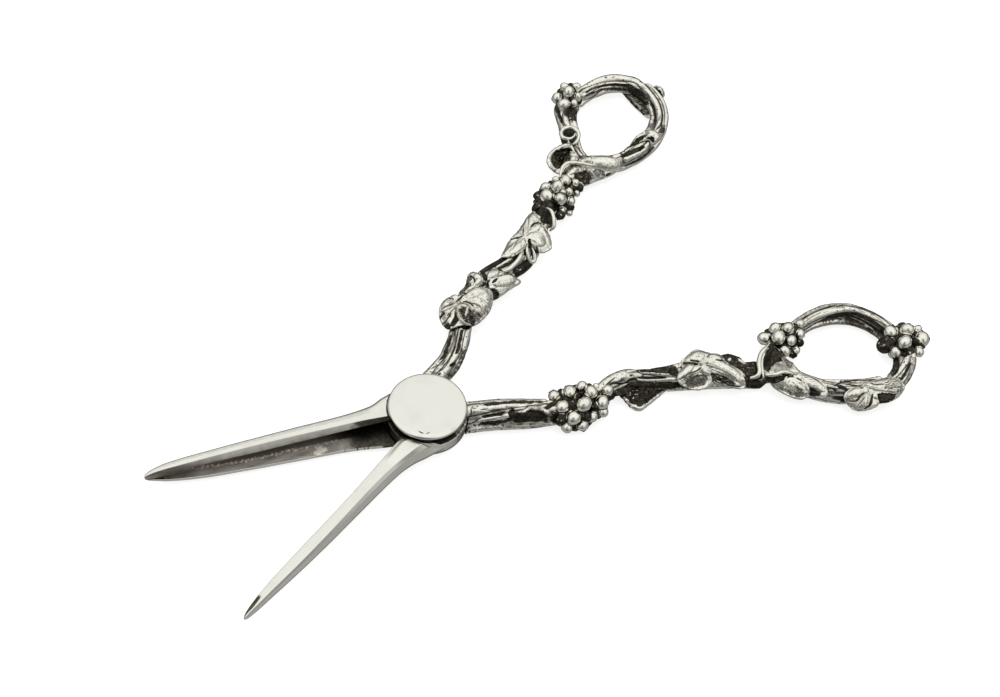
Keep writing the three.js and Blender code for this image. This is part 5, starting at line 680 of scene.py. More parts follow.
# tendrils: x, y, z, radius
TENDRILS = {
    "a_tendril": [
        [68.48, -35.09, 5.2, 0.6], [70.06, -35.99, 5.9, 0.6], [71.15, -35.41, 6.4, 0.6], [72.23, -33.9, 6.6, 0.6],
        [74.16, -32.25, 6.7, 0.6], [76.61, -31.31, 6.6, 0.6], [78.79, -30.58, 6.3, 0.6],
    ],
    "a_tendril_twig": [
        [71.67, -36.72, 6.2, 0.46], [72.52, -37.77, 6.45, 0.46], [73.82, -38.44, 6.6, 0.46], [75.22, -38.78, 6.6, 0.46],
        [76.32, -39.58, 6.6, 0.46], [77.2, -40.71, 6.45, 0.46],
    ],
    "b_tendril_mid": [
        [48.66, 25.36, 6.5, 0.5], [47.73, 23.93, 6.2, 0.5], [47.08, 22.58, 5.4, 0.5], [47.23, 21.63, 4.4, 0.5],
        [48.15, 21.25, 4.0, 0.5], [48.82, 21.92, 4.6, 0.5], [49.18, 22.98, 5.4, 0.5], [49.34, 24.04, 6.0, 0.5],
    ],
    "b_tendril_strand": [
        [38.49, 21.46, 6.7, 0.55], [40.53, 21.3, 6.8, 0.55], [42.91, 21.79, 7.0, 0.55], [45.15, 22.84, 6.9, 0.55],
        [46.57, 23.96, 6.5, 0.55],
    ],
    "b_tendril_grapes": [
        [56.86, 26.35, 4.2, 0.5], [58.0, 26.3, 5.0, 0.5], [58.74, 27.15, 5.8, 0.5], [59.45, 28.46, 6.3, 0.5],
        [59.83, 29.94, 6.5, 0.5], [59.55, 31.45, 6.3, 0.5],
    ],
    "b_tendril_coil": [
        [77.99, 44.0, 5.5, 0.5], [79.14, 43.96, 5.9, 0.5], [80.51, 44.74, 6.1, 0.5], [81.35, 46.17, 6.2, 0.5],
        [81.09, 47.61, 6.3, 0.5], [80.06, 48.57, 6.35, 0.5], [78.63, 48.74, 6.4, 0.5], [77.4, 48.01, 6.45, 0.5],
        [76.88, 46.89, 6.5, 0.5], [77.27, 45.89, 6.5, 0.5], [78.27, 45.29, 6.5, 0.5], [79.47, 45.39, 6.5, 0.5],
        [80.33, 46.05, 6.4, 0.5],
    ],
    "b_tendril_root": [
        [68.66, 37.27, 5.4, 0.46], [69.7, 38.31, 6.0, 0.46], [70.89, 39.11, 6.5, 0.46], [72.37, 39.29, 6.7, 0.46],
        [73.86, 38.59, 6.7, 0.46], [75.58, 37.32, 6.5, 0.46], [77.26, 36.0, 6.2, 0.46], [78.87, 35.19, 5.7, 0.46],
    ],
}
SECOND_WIRES = {
    "a_tendril": [
        [71.04, -37.26, 5.6, 0.42], [71.3, -36.63, 6.0, 0.42], [72.18, -35.09, 6.35, 0.42], [73.69, -33.36, 6.5, 0.42],
        [75.68, -32.06, 6.5, 0.42], [77.4, -31.58, 6.3, 0.42],
    ],
}
BUD_B = [108.65, 46.65, 3.6, 1.6]

# ------------------------------------------------------------------ small maths
def unit(v):
    return v / np.maximum(np.linalg.norm(v, axis=-1, keepdims=True), 1e-12)


def waves(p, scale, seed, n=9):
    """Smooth repeatable noise of about -1..1 on the rows of p."""
    rs = np.random.RandomState(seed)
    k = rs.normal(size=(n, p.shape[1]))
    k = k / np.linalg.norm(k, axis=1, keepdims=True) * rs.uniform(0.6, 1.6, (n, 1)) * TAU / scale
    ph = rs.uniform(0, TAU, n)
    return np.sin(p @ k.T + ph).sum(1) / math.sqrt(n) * 0.8


def spline(points, closed, per=24):
    """Dense Catmull-Rom line through the rows of points."""
    P = np.asarray(points, float)
    m = len(P)
    out = []
    t = np.arange(per)[:, None] / per
    for i in range(m if closed else m - 1):
        a, b, c, d = (P[(i + k) % m] if closed else P[min(max(i + k, 0), m - 1)] for k in (-1, 0, 1, 2))
        out.append(0.5 * (2 * b + (c - a) * t + (2 * a - 5 * b + 4 * c - d) * t ** 2 + (3 * b - a - 3 * c + d) * t ** 3))
    if not closed:
        out.append(P[-1:])
    return np.vstack(out)


def even(line, step, closed):
    """The line again with points step mm apart."""
    L = np.vstack([line, line[:1]]) if closed else line
    d = np.r_[0, np.cumsum(np.linalg.norm(np.diff(L[:, :3], axis=0), axis=1))]
    n = max(8, int(round(d[-1] / step)))
    s = np.linspace(0, d[-1], n + 1)
    if closed:
        s = s[:-1]
    return np.stack([np.interp(s, d, L[:, k]) for k in range(L.shape[1])], 1), s, d[-1]


def curve_at(x, xs, ys):
    """Smooth interpolation of a table."""
    xs, ys = np.asarray(xs, float), np.asarray(ys, float)
    h = np.diff(xs)
    g = np.diff(ys) / h
    m = np.zeros(len(xs))
    m[0], m[-1] = g[0], g[-1]
    for i in range(1, len(xs) - 1):
        if g[i - 1] * g[i] > 0:
            w1, w2 = 2 * h[i] + h[i - 1], h[i] + 2 * h[i - 1]
            m[i] = (w1 + w2) / (w1 / g[i - 1] + w2 / g[i])
    i = np.clip(np.searchsorted(xs, x) - 1, 0, len(xs) - 2)
    t = (x - xs[i]) / h[i]
    return ((1 + 2 * t) * (1 - t) ** 2 * ys[i] + t * (1 - t) ** 2 * h[i] * m[i]
            + t * t * (3 - 2 * t) * ys[i + 1] + t * t * (t - 1) * h[i] * m[i + 1])


def smoothstep(a, b, x):
    t = np.clip((x - a) / (b - a), 0, 1)
    return t * t * (3 - 2 * t)


# ------------------------------------------------------------------ relief
SIGHT = np.array([-215.266, -241.389, 480.247])
CHART_Z = 5.0


def chart(p):
    """Positions on the plane z = CHART_Z in line with p from the viewpoint SIGHT; the relief tables use them."""
    k = (CHART_Z - SIGHT[2]) / (p[..., 2] - SIGHT[2])
    return SIGHT[0] + (p[..., 0] - SIGHT[0]) * k, SIGHT[1] + (p[..., 1] - SIGHT[1]) * k


def away(X, Y, line):
    """Distance to a smooth line, and the run along it from 0 to 1."""
    L = np.asarray(line, float)
    if len(L) == 1:
        return np.hypot(X - L[0, 0], Y - L[0, 1]), np.full(X.shape, 0.5)
    if len(L) > 2:
        L = spline(L, False, 6)
    n = len(L) - 1
    best, run = np.full(X.shape, 99.0), np.zeros(X.shape)
    for i in range(n):
        ab = L[i + 1] - L[i]
        q = np.clip(((X - L[i, 0]) * ab[0] + (Y - L[i, 1]) * ab[1]) / max(ab @ ab, 1e-9), 0, 1)
        d = np.hypot(X - L[i, 0] - q * ab[0], Y - L[i, 1] - q * ab[1])
        run = np.where(d < best, (i + q) / n, run)
        best = np.minimum(best, d)
    return best, run


def inside(X, Y, ring):
    """Signed distance to a closed outline, negative inside it."""
    R = np.asarray(ring, float)
    n = len(R)
    best, odd = np.full(X.shape, 99.0), np.zeros(X.shape, bool)
    for i in range(n):
        a, b = R[i], R[(i + 1) % n]
        ab = b - a
        q = np.clip(((X - a[0]) * ab[0] + (Y - a[1]) * ab[1]) / max(ab @ ab, 1e-9), 0, 1)
        best = np.minimum(best, np.hypot(X - a[0] - q * ab[0], Y - a[1] - q * ab[1]))
        if abs(ab[1]) > 1e-9:
            odd ^= ((a[1] > Y) != (b[1] > Y)) & (X < a[0] + (Y - a[1]) / ab[1] * ab[0])
    return np.where(odd, -best, best)


def relief(items, X, Y, seed=1):
    """Height and darkening from a table of domes, pits, hatched patches, outlined areas, ridges and cuts; the darkening
    is patina in hollows and, where the tables ask for it, painted shade.
    """
    h, cav, D, D2 = (np.zeros(X.shape) for _ in range(4))
    at = np.stack([X.ravel(), Y.ravel()], 1)
    wob = waves(at, 2.2, seed).reshape(X.shape)
    fleck = waves(at, 0.85, seed + 1, 14).reshape(X.shape)
    for kind, *v in items:
        if kind in ("dome", "pit", "hatch"):
            x, y, rx, ry, rot = v[:5]
            c, s = math.cos(math.radians(rot)), math.sin(math.radians(rot))
            u, w = ((X - x) * c + (Y - y) * s) / rx, ((Y - y) * c - (X - x) * s) / ry
            q = np.hypot(u, w)
            if kind == "dome":
                val = v[5] * np.clip(1 - q * q, 0, 1) ** 0.75
                D2 = np.maximum(D2, np.minimum(D, val))
                D = np.maximum(D, val)
            elif kind == "pit":
                q = q * (1 + 0.12 * wob + 0.07 * fleck)
                g = smoothstep(1.10, 0.70, q)
                h = h - v[5] * smoothstep(1.0, 0.2, q) + (0.05 * fleck + 0.06 * wob) * g
                cav = np.maximum(cav, v[6] * g * (1 - 0.25 * smoothstep(0.45, 1.2, fleck)) * (1 - 0.20 * smoothstep(0.3, 1.1, wob)))
            else:
                turn, pitch, deep, dark = v[5:9]
                a = math.radians(turn)
                line = np.sin((Y * math.cos(a) - X * math.sin(a)) * TAU / pitch + 1.6 * wob)
                g = smoothstep(1.0, 0.65, q) * smoothstep(0.1, 0.85, line) * (0.6 + 0.4 * np.clip(wob, -1, 1))
                h = h - deep * g
                cav = np.maximum(cav, dark * g)
        elif kind == "area":
            sd = inside(X, Y, v[0]) + 0.10 * wob + 0.05 * fleck
            g = smoothstep(0.20, -0.14, sd)
            h = h - v[1] * smoothstep(0.15, -0.55, sd) + 0.06 * fleck * g
            cav = np.maximum(cav, v[2] * g * (1 - (v[3] if len(v) > 3 else 0.2) * smoothstep(0.30, 1.0, fleck)))
        else:
            line, wide, deep = v[:3]
            d, run = away(X, Y, line)
            ends = smoothstep(0, 0.2, run) * smoothstep(0, 0.2, 1 - run)
            wide = wide * (0.6 + 0.4 * ends) * (1 + 0.15 * wob)
            if kind == "ridge":
                g = np.exp(-(d / wide) ** 2)
                h = h + deep * g
                cav = cav * (1 - (v[3] if len(v) > 3 else 0.96) * np.exp(-(d / (wide * 1.15)) ** 4))
            else:
                g = np.exp(-(d / wide) ** 4)
                h = h - deep * g
                cav = np.maximum(cav, v[3] * g)
    near = np.exp(-((D - D2) / 0.08) ** 2) * smoothstep(0.04, 0.2, D2)
    return h + D - 0.05 * near, np.maximum(cav, 0.36 * near)


# ------------------------------------------------------------------ meshes
def grid_faces(rows, cols, wrap_rows, wrap_cols, base=0):
    i = np.arange(rows if wrap_rows else rows - 1)[:, None]
    j = np.arange(cols if wrap_cols else cols - 1)[None, :]
    a = i * cols + j
    b = i * cols + (j + 1) % cols
    c = ((i + 1) % rows) * cols + (j + 1) % cols
    d = ((i + 1) % rows) * cols + j
    return (np.stack([a, b, c, d], -1).reshape(-1, 4) + base).tolist()


def piece(name, verts, faces, body, nodes, material, attrs=None):
    me = bpy.data.meshes.new(name)
    me.from_pydata((np.asarray(verts) * MM).tolist(), [], faces)
    me.validate()
    for key, values in (attrs or {}).items():
        a = me.attributes.new(key, "FLOAT", "POINT")
        a.data.foreach_set("value", np.asarray(values, np.float32))
    me.polygons.foreach_set("use_smooth", [True] * len(me.polygons))
    me.update()
    ob = bpy.data.objects.new(name, me)
    bpy.context.scene.collection.objects.link(ob)
    outward(me)
    me.materials.append(material)
    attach(ob, body)
    if nodes:
        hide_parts(*nodes)
    return ob


def outward(me):
    """Turns the faces to point out, shell by shell."""
    import bmesh
    bm = bmesh.new()
    bm.from_mesh(me)
    bmesh.ops.recalc_face_normals(bm, faces=bm.faces[:])
    bm.to_mesh(me)
    bm.free()


def fan(ring, centre):
    n = len(ring)
    return [[ring[j], ring[(j + 1) % n], centre] for j in range(n)]


def join_shells(*shells):
    """(verts, faces, attrs) of several shells as one."""
    verts, faces, attrs, base = [], [], {}, 0
    for v, f, a in shells:
        verts.append(np.asarray(v, float))
        faces += [[k + base for k in q] for q in f]
        for key in ("cav", "dull_and_painted_light", "stain_and_painted_light"):
            attrs.setdefault(key, []).append(np.asarray(a.get(key, np.zeros(len(v))), float))
        base += len(v)
    return np.vstack(verts), faces, {k: np.concatenate(v) for k, v in attrs.items()}


def lathe(profile, segments=128):
    """Closed turned shell about Z; the profile starts and ends on the axis."""
    prof = np.asarray(profile, float)
    inner = prof[1:-1]
    a = np.arange(segments) / segments * TAU
    v = np.stack([inner[:, None, 0] * np.cos(a), inner[:, None, 0] * np.sin(a), np.repeat(inner[:, 1:2], segments, 1)], -1).reshape(-1, 3)
    f = grid_faces(len(inner), segments, False, True)
    n = len(v)
    v = np.vstack([v, [0, 0, prof[0, 1]], [0, 0, prof[-1, 1]]])
    f += fan(list(range(segments)), n)
    f += fan(list(range((len(inner) - 1) * segments, len(inner) * segments)), n + 1)
    return v, f


def rounded(poly, radii, per=5, fill=0):
    """Polygon with each corner rounded: per + 1 points a corner, then fill points along the flat."""
    P = np.asarray(poly, float)
    out = []
    n = len(P)
    for i in range(n):
        a, b, c = P[i - 1], P[i], P[(i + 1) % n]
        u, w = a - b, c - b
        lu, lw = np.linalg.norm(u), np.linalg.norm(w)
        u, w = u / max(lu, 1e-9), w / max(lw, 1e-9)
        ang = math.acos(float(np.clip(u @ w, -1, 1)))
        d = radii[i] / max(math.tan(ang / 2), 1e-6)
        d = min(d, 0.46 * lu, 0.46 * lw)
        p, q = b + u * d, b + w * d
        for k in range(per + 1):
            t = k / per
            out.append((1 - t) ** 2 * p + 2 * t * (1 - t) * b + t * t * q)
    if fill:
        rows = np.array(out).reshape(n, per + 1, 2)
        u = (np.arange(1, fill + 1) / (fill + 1))[None, :, None]
        flats = rows[:, -1:, :] * (1 - u) + np.roll(rows, -1, 0)[:, :1, :] * u
        return np.concatenate([rows, flats], 1).reshape(-1, 2)
    return np.array(out)


# ------------------------------------------------------------------ vine wood
def branch(path, strands, marks, closed, step, nu, seed, core=0.90, trim=0.0, under=4):
    """Vine wood: strands (rows x, y, z, radius) round a core along path rows (x, y, z, radius), with bark and marks."""
    rs = np.random.RandomState(seed)
    line, s, total = even(spline(path, closed), step, closed)
    C, R = line[:, :3], line[:, 3]
    T = unit(np.roll(C, -1, 0) - np.roll(C, 1, 0)) if closed else unit(np.gradient(C, axis=0))
    S = unit(np.cross(T, [0, 0, 1.0]))
    U = np.cross(S, T)
    th = np.arange(nu) / nu * TAU
    ct, sn = np.cos(th)[None, :], np.sin(th)[None, :]
    bundle = []
    for st in strands:
        L, _, _ = even(spline(st, False), 0.3, False)
        i = ((L[:, None, :2] - C[None, :, :2]) ** 2).sum(2).argmin(1)
        sl = np.unwrap(s[i] / total * TAU) * total / TAU if closed else s[i]
        rel = L[:, :3] - C[i]
        row = np.stack([sl, (rel * S[i]).sum(1), (rel * U[i]).sum(1), L[:, 3]], 1)
        if row[-1, 0] < row[0, 0]:
            row = row[::-1]
        row[:, 0] = np.maximum.accumulate(row[:, 0])
        if not closed and row[0, 0] < 4.0:
            row = np.vstack([[0.0, *row[0, 1:]], row])
        bundle.append((row, 2.2))
    for k in range(under):
        base = TAU * (0.30 + 0.40 * (k + 0.5) / under)
        l1, l2 = (max(1, round(total / x)) for x in rs.uniform(16, 34, 2))
        p1, p2 = rs.uniform(0, TAU, 2)
        ang = base + 0.16 * np.sin(TAU * l1 * s / total + p1) + 0.10 * np.sin(TAU * l2 * s / total + p2)
        rho = R * (0.46 + 0.04 * np.sin(TAU * l2 * s / total + p1)) * (3.2 / under) ** 0.5
        dist = R * 0.98 - rho
        bundle.append((np.stack([s, dist * np.sin(ang), dist * np.cos(ang), rho], 1), 0.0))
    best = core * R[:, None] * np.ones((1, nu))
    second = np.zeros_like(best)
    flank = np.ones_like(best)
    for k, (row, tip) in enumerate(bundle):
        q = row[0, 0] + (s - row[0, 0]) % total if closed else s
        if tip:
            end = np.minimum(q - row[0, 0], row[-1, 0] - q)
            grow = smoothstep(-0.3, tip, end)
            if not closed and row[0, 0] < 3.0:
                grow = np.where(q < 4.0, 1.0, grow)
        else:
            end, grow = np.ones(len(s)), np.ones(len(s))
        u, w, r = (np.interp(q, row[:, 0], row[:, c]) for c in (1, 2, 3))
        shrink = 1 - (1 - grow) * 0.5
        u, w, r = u * shrink, w * shrink, np.maximum(r * (0.4 + 0.6 * grow), 0.02)
        b = u[:, None] * sn + w[:, None] * ct
        side = (u[:, None] * ct - w[:, None] * sn) / r[:, None]
        disc = r[:, None] ** 2 - (u ** 2 + w ** 2)[:, None] + b ** 2
        hit = np.where((disc > 0) & (b > 0) & (end >= -0.3)[:, None], b + np.sqrt(np.maximum(disc, 0)), -9.0)
        own = hit > best
        second = np.where(own, best, np.maximum(second, hit))
        flank = np.where(own, 1 - np.sqrt(np.maximum(disc, 0)) / r[:, None], flank)
        best = np.maximum(best, hit)
    near = np.exp(-((best - np.maximum(second, 0)) / 0.14) ** 2)
    rad = ct[:, :, None] * U[:, None, :] + sn[:, :, None] * S[:, None, :]
    pos0 = C[:, None, :] + best[:, :, None] * rad
    flat = pos0.reshape(-1, 3)
    n1, n2 = waves(flat, 2.4, seed + 5).reshape(best.shape), waves(flat, 7.0, seed + 6).reshape(best.shape)
    # bark: streaks along the wood
    turn = s / total * TAU
    along = [np.cos(turn) * total / TAU, np.sin(turn) * total / TAU] if closed else [s, 0 * s]
    streak = []
    for wide, length, k in ((0.55, 5.5, 7), (0.32, 2.8, 8)):
        q = np.stack([np.broadcast_to(x, best.shape).ravel() for x in (R[:, None] * ct / wide, R[:, None] * sn / wide, along[0][:, None] / length, along[1][:, None] / length)], 1)
        streak.append(waves(q, 1.9, seed + k, 14).reshape(best.shape))
    bark = np.maximum(smoothstep(0.30, 1.0, streak[0]), 0.8 * smoothstep(0.35, 1.1, streak[1])) * smoothstep(-0.9, 0.5, n2)
    X, Y = chart(pos0)
    h, mark = relief(marks, X, Y, seed + 9)
    sight = unit(SIGHT - pos0)
    faces = smoothstep(-0.15, 0.2, (rad * sight).sum(2))
    h, mark = h * faces, mark * faces
    bare = np.where(flank == 1, 0.30 + 0.25 * n1, smoothstep(0.55, 0.93, flank) * 0.8)
    cav = np.maximum.reduce([0.85 * near, bare, 0.62 * bark, mark])
    r = best + h - 0.06 * near - 0.07 * bark + 0.03 * n1
    for _ in range(2):
        r = (np.roll(r, 1, 1) + 2 * r + np.roll(r, -1, 1)) / 4
        pad = np.vstack([r[-1:] if closed else r[:1], r, r[:1] if closed else r[-1:]])
        r = (pad[:-2] + 2 * pad[1:-1] + pad[2:]) / 4
    pos = C[:, None, :] + r[:, :, None] * rad
    rows = len(s)
    if trim:
        reach = np.hypot(pos[:, :, 0], pos[:, :, 1]) + 0.5 * smoothstep(5.1, 5.5, pos[:, :, 2])
        newp, newc = np.zeros_like(pos), np.zeros_like(cav)
        for j in range(nu):
            ok = np.where(reach[:, j] >= trim)[0]
            i0 = ok[0]
            f0 = i0 - (reach[i0, j] - trim) / max(reach[i0, j] - reach[i0 - 1, j], 1e-6) if i0 > 0 else 0.0
            idx = f0 + (rows - 1 - f0) * (np.arange(rows) / (rows - 1))
            lo = np.clip(np.floor(idx).astype(int), 0, rows - 2)
            t = (idx - lo)[:, None]
            newp[:, j] = pos[lo, j] * (1 - t) + pos[lo + 1, j] * t
            newc[:, j] = cav[lo, j] * (1 - t[:, 0]) + cav[lo + 1, j] * t[:, 0]
        pos, cav = newp, newc
    v = pos.reshape(-1, 3)
    c = cav.reshape(-1)
    f = grid_faces(rows, nu, closed, True)
    if not closed:
        n = len(v)
        v = np.vstack([v, pos[0].mean(0), pos[-1].mean(0) + T[-1] * R[-1] * 0.35])
        c = np.r_[c, 1.0, 0.6]
        # painted shade: the cut end next to the joint is made black
        if trim:
            c[:nu] = 1.0
        f += fan(list(range(nu)), n) + fan(list(range((rows - 1) * nu, rows * nu)), n + 1)
    return v, f, {"cav": np.clip(c, 0, 1)}


def wire(path, step=0.22, nu=16, taper=(0.6, 0.35), seed=1, wobble=0.05):
    """Tendril: round wire with rounded ends, thinner towards both ends."""
    line, s, total = even(spline(path, False), step, False)
    C, R = line[:, :3], line[:, 3].copy()
    u = s / total
    R = R * (taper[0] + (1 - taper[0]) * smoothstep(0, 0.25, u)) * (taper[1] + (1 - taper[1]) * smoothstep(0, 0.3, 1 - u))
    e = np.minimum(s, total - s)
    R = R * np.sqrt(np.clip(1 - (1 - np.clip(e / np.maximum(R, 1e-3), 0, 1)) ** 2, 0.02, 1))
    T = unit(np.gradient(C, axis=0))
    S = unit(np.cross(T, [0.13, 0.21, 1.0]))
    U = np.cross(S, T)
    th = np.arange(nu) / nu * TAU
    pos = C[:, None, :] + R[:, None, None] * (np.cos(th)[None, :, None] * U[:, None, :] + np.sin(th)[None, :, None] * S[:, None, :])
    v = pos.reshape(-1, 3)
    v = v + wobble * 0.5 * waves(v, 1.7, seed)[:, None] * unit(v - np.repeat(C, nu, 0))
    n = len(v)
    f = grid_faces(len(s), nu, False, True)
    v = np.vstack([v, C[0] - T[0] * 0.02, C[-1] + T[-1] * 0.02])
    f += fan(list(range(nu)), n) + fan(list(range((len(s) - 1) * nu, len(s) * nu)), n + 1)
    return v, f, {"cav": np.zeros(len(v))}


# ------------------------------------------------------------------ leaves
def leaf(spec, rods, spokes=300, rings=64, seed=1):
    """Vine leaf: rings from the centre to the outline lying on the wood, relief along the normals, closed underside."""
    c = np.asarray(spec["c"], float)
    thick, arch = spec.get("thick", 0.8), spec.get("arch", 0.25)
    dense = spline(spec["o"], True, 40)
    m = len(dense)
    nrm = unit(sum(np.cross(dense[k] - c, dense[(k + 1) % m] - c) for k in range(m)))
    if nrm[2] < 0:
        dense, nrm = dense[::-1], -nrm
    L = np.vstack([dense, dense[:1]])
    d = np.r_[0, np.cumsum(np.linalg.norm(np.diff(L, axis=0), axis=1))]
    sp = np.arange(spokes) / spokes * d[-1]
    edge = np.stack([np.interp(sp, d, L[:, k]) for k in range(3)], 1)
    teeth = np.abs((sp / 1.5) % 1.0 - 0.5) * 2
    edge = c + (edge - c) * (1 + 0.012 * (0.6 + 0.4 * waves(edge, 5, seed + 9)) * (teeth - 0.5) * 2)[:, None]
    t = (np.arange(1, rings + 1) / rings) ** 0.92
    base = c + (edge - c)[None, :, :] * t[:, None, None]
    base = base + (arch * t * (1 - t) * 2)[:, None, None] * nrm
    if not spec.get("free"):
        # flattened, then nowhere closer to the wood than this, moved along the line of sight
        flat = base.reshape(-1, 3)
        a = unit(SIGHT - flat)
        flat = flat + a * ((1 - spec.get("bend", 0.5)) * (c[2] - flat[:, 2]) / a[:, 2])[:, None]
        for _ in range(3):
            gap = np.full(len(flat), 99.0)
            for rod in rods:
                gap = np.minimum(gap, (np.linalg.norm(flat[:, None, :] - rod[None, :, :3], axis=2) - rod[None, :, 3]).min(1))
            flat = flat + unit(SIGHT - flat) * np.maximum(0.55 - gap, 0)[:, None]
        base = flat.reshape(base.shape)
        for _ in range(spec.get("ease", 3)):
            base[1:-1] = (base[:-2] + 2 * base[1:-1] + base[2:]) / 4
            base = (np.roll(base, 1, 1) + 2 * base + np.roll(base, -1, 1)) / 4
    du = np.gradient(base, axis=0)
    dv = np.roll(base, -1, 1) - np.roll(base, 1, 1)
    N = unit(np.cross(du, dv))
    if (N @ nrm).mean() < 0:
        N = -N
    N = unit(N * 0.5 + nrm * 0.5)
    run = t[:, None] * np.ones(spokes)
    pts = base.reshape(-1, 3)
    h, cav = relief(spec["relief"], *chart(base), seed)
    h = h - spec.get("droop", 0.30) * smoothstep(0.80, 1.0, run)
    h = h + 0.03 * waves(pts, 1.3, seed + 1).reshape(h.shape) + 0.06 * waves(pts, 4.5, seed + 2).reshape(h.shape)
    speck = smoothstep(0.75, 1.5, waves(pts, 0.9, seed + 3, 14).reshape(h.shape))
    cav = np.maximum(cav, 0.45 * speck)
    top = base + N * h[:, :, None]
    out = unit(edge - c)
    mid = top[-1] - N[-1] * thick * 0.5 + (out - (out * N[-1]).sum(1, keepdims=True) * N[-1]) * thick * 0.22
    rr = list(range(rings - 1, 0, -3))
    low = [base[i] - N[i] * (thick * (0.55 + 0.45 * (1 - t[i] ** 4)) - np.minimum(h[i], 0)[:, None]) for i in rr]
    nrows = rings + 1 + len(low)
    v = np.vstack([top.reshape(-1, 3), mid] + low)
    cv = np.r_[cav.reshape(-1), np.maximum(0.35, cav[-1]), np.full(spokes * len(low), 0.8)]
    f = grid_faces(nrows, spokes, False, True)
    n = len(v)
    v = np.vstack([v, top[0].mean(0), low[-1].mean(0)])
    cv = np.r_[cv, cav[0].mean(), 0.8]
    f += fan(list(range(spokes)), n) + fan(list(range((nrows - 1) * spokes, nrows * spokes)), n + 1)
    return v, f, {"cav": np.clip(cv, 0, 1)}


# ------------------------------------------------------------------ grapes
def ball(centre, r, div):
    import bmesh
    bm = bmesh.new()
    bmesh.ops.create_icosphere(bm, subdivisions=div, radius=r)
    v = np.array([q.co[:] for q in bm.verts]) + np.asarray(centre)
    f = [[q.index for q in p.verts] for p in bm.faces]
    bm.free()
    return v, f


def melted(verts, faces, voxel):
    """One clean skin round overlapping shells."""
    me = bpy.data.meshes.new("tmp")
    me.from_pydata((np.asarray(verts)).tolist(), [], faces)
    ob = bpy.data.objects.new("tmp", me)
    bpy.context.scene.collection.objects.link(ob)
    mod = ob.modifiers.new("skin", "REMESH")
    mod.mode = "VOXEL"
    mod.voxel_size = voxel
    mod.adaptivity = 0
    deps = bpy.context.evaluated_depsgraph_get()
    ev = ob.evaluated_get(deps).to_mesh()
    n = len(ev.vertices)
    v = np.zeros(n * 3)
    ev.vertices.foreach_get("co", v)
    f = [list(p.vertices) for p in ev.polygons]
    ob.evaluated_get(deps).to_mesh_clear()
    bpy.data.objects.remove(ob)
    bpy.data.meshes.remove(me)
    return v.reshape(-1, 3), f


def bunch(grapes, ground, seed, voxel=0.12):
    """Grapes pressed into a dark ground, their crowns standing clear; each grape carries painted shade on its side
    turned away from the viewpoint and up.
    """
    G = np.asarray(grapes, float)
    rs = np.random.RandomState(seed)
    sight = unit(SIGHT - G[:, :3].mean(0))
    painted_light_dir = unit(0.7 * sight + np.array([0, 0, 0.5]))
    shells, mass = [], [np.asarray(q, float) for q in ground]
    for g in G:
        v, f = ball((0, 0, 0), g[3], 4)
        ax = unit(rs.normal(size=3) * np.array([1.0, 1.0, 0.5]))
        shells.append((v * (1 + 0.16 * ((v / g[3]) @ ax)[:, None] ** 2 - 0.06) + g[:3], f))
        mass.append(np.r_[g[:3] - sight * g[3] * 0.70, g[3] * 0.98])
    span = np.linalg.norm(G[:, None, :3] - G[None, :, :3], axis=2)
    for i in range(len(G)):
        for j in range(i):
            if span[i, j] < G[i, 3] + G[j, 3] + 1.3:
                small = min(G[i, 3], G[j, 3])
                mass.append(np.r_[(G[i, :3] + G[j, :3]) / 2 - sight * small * 0.85, small * 0.92])
    for q in mass:
        v, f = ball((0, 0, 0), q[3], 3)
        q[2] = max(q[2], q[3] + 0.03)
        shells.append((v + q[:3], f))
    V, F, base = [], [], 0
    for v, f in shells:
        V.append(v)
        F += [[k + base for k in q] for q in f]
        base += len(v)
    v, f = melted(np.vstack(V), F, voxel)
    d = np.linalg.norm(v[:, None, :] - G[None, :, :3], axis=2) - G[None, :, 3]
    i = d.argmin(1)
    d = np.sort(d, axis=1)
    # painted shade: each grape darkens on its side turned away from the viewpoint and up; creases and ground between
    # grapes are darkened as patina
    face = (((v - G[i, :3]) / G[i, 3:4]) * painted_light_dir).sum(1)
    cav = np.maximum(np.exp(-((d[:, 1] - d[:, 0]) / 0.26) ** 2), smoothstep(0.08, 0.26, d[:, 0]))
    cav = np.maximum(cav, smoothstep(0.15, -0.25, face))
    rough = smoothstep(0.1, 0.3, d[:, 0])
    n = unit(v - G[i, :3])
    v = v + n * (rough * (0.14 * waves(v, 1.3, seed + 3) + 0.08 * waves(v, 0.6, seed + 5)))[:, None]
    cav = np.clip(cav - rough * 0.55 * smoothstep(0.35, 1.2, waves(v, 1.1, seed + 4)), 0, 1)
    return v, f, {"cav": cav}

# ------------------------------------------------------------------ materials
def nodes_of(mat):
    mat.use_nodes = True
    nt = mat.node_tree
    nt.nodes.clear()
    return nt, nt.nodes, nt.links


def add(nt, kind, x=0, y=0, **settings):
    n = nt.nodes.new(kind)
    n.location = (x, y)
    for k, v in settings.items():
        setattr(n, k, v)
    return n


def ramp(nt, stops, x=0, y=0):
    n = add(nt, "ShaderNodeValToRGB", x, y)
    e = n.color_ramp.elements
    while len(e) < len(stops):
        e.new(0.5)
    for k, (p, c) in enumerate(stops):
        e[k].position = p
        e[k].color = (c, c, c, 1) if not isinstance(c, tuple) else c
    return n


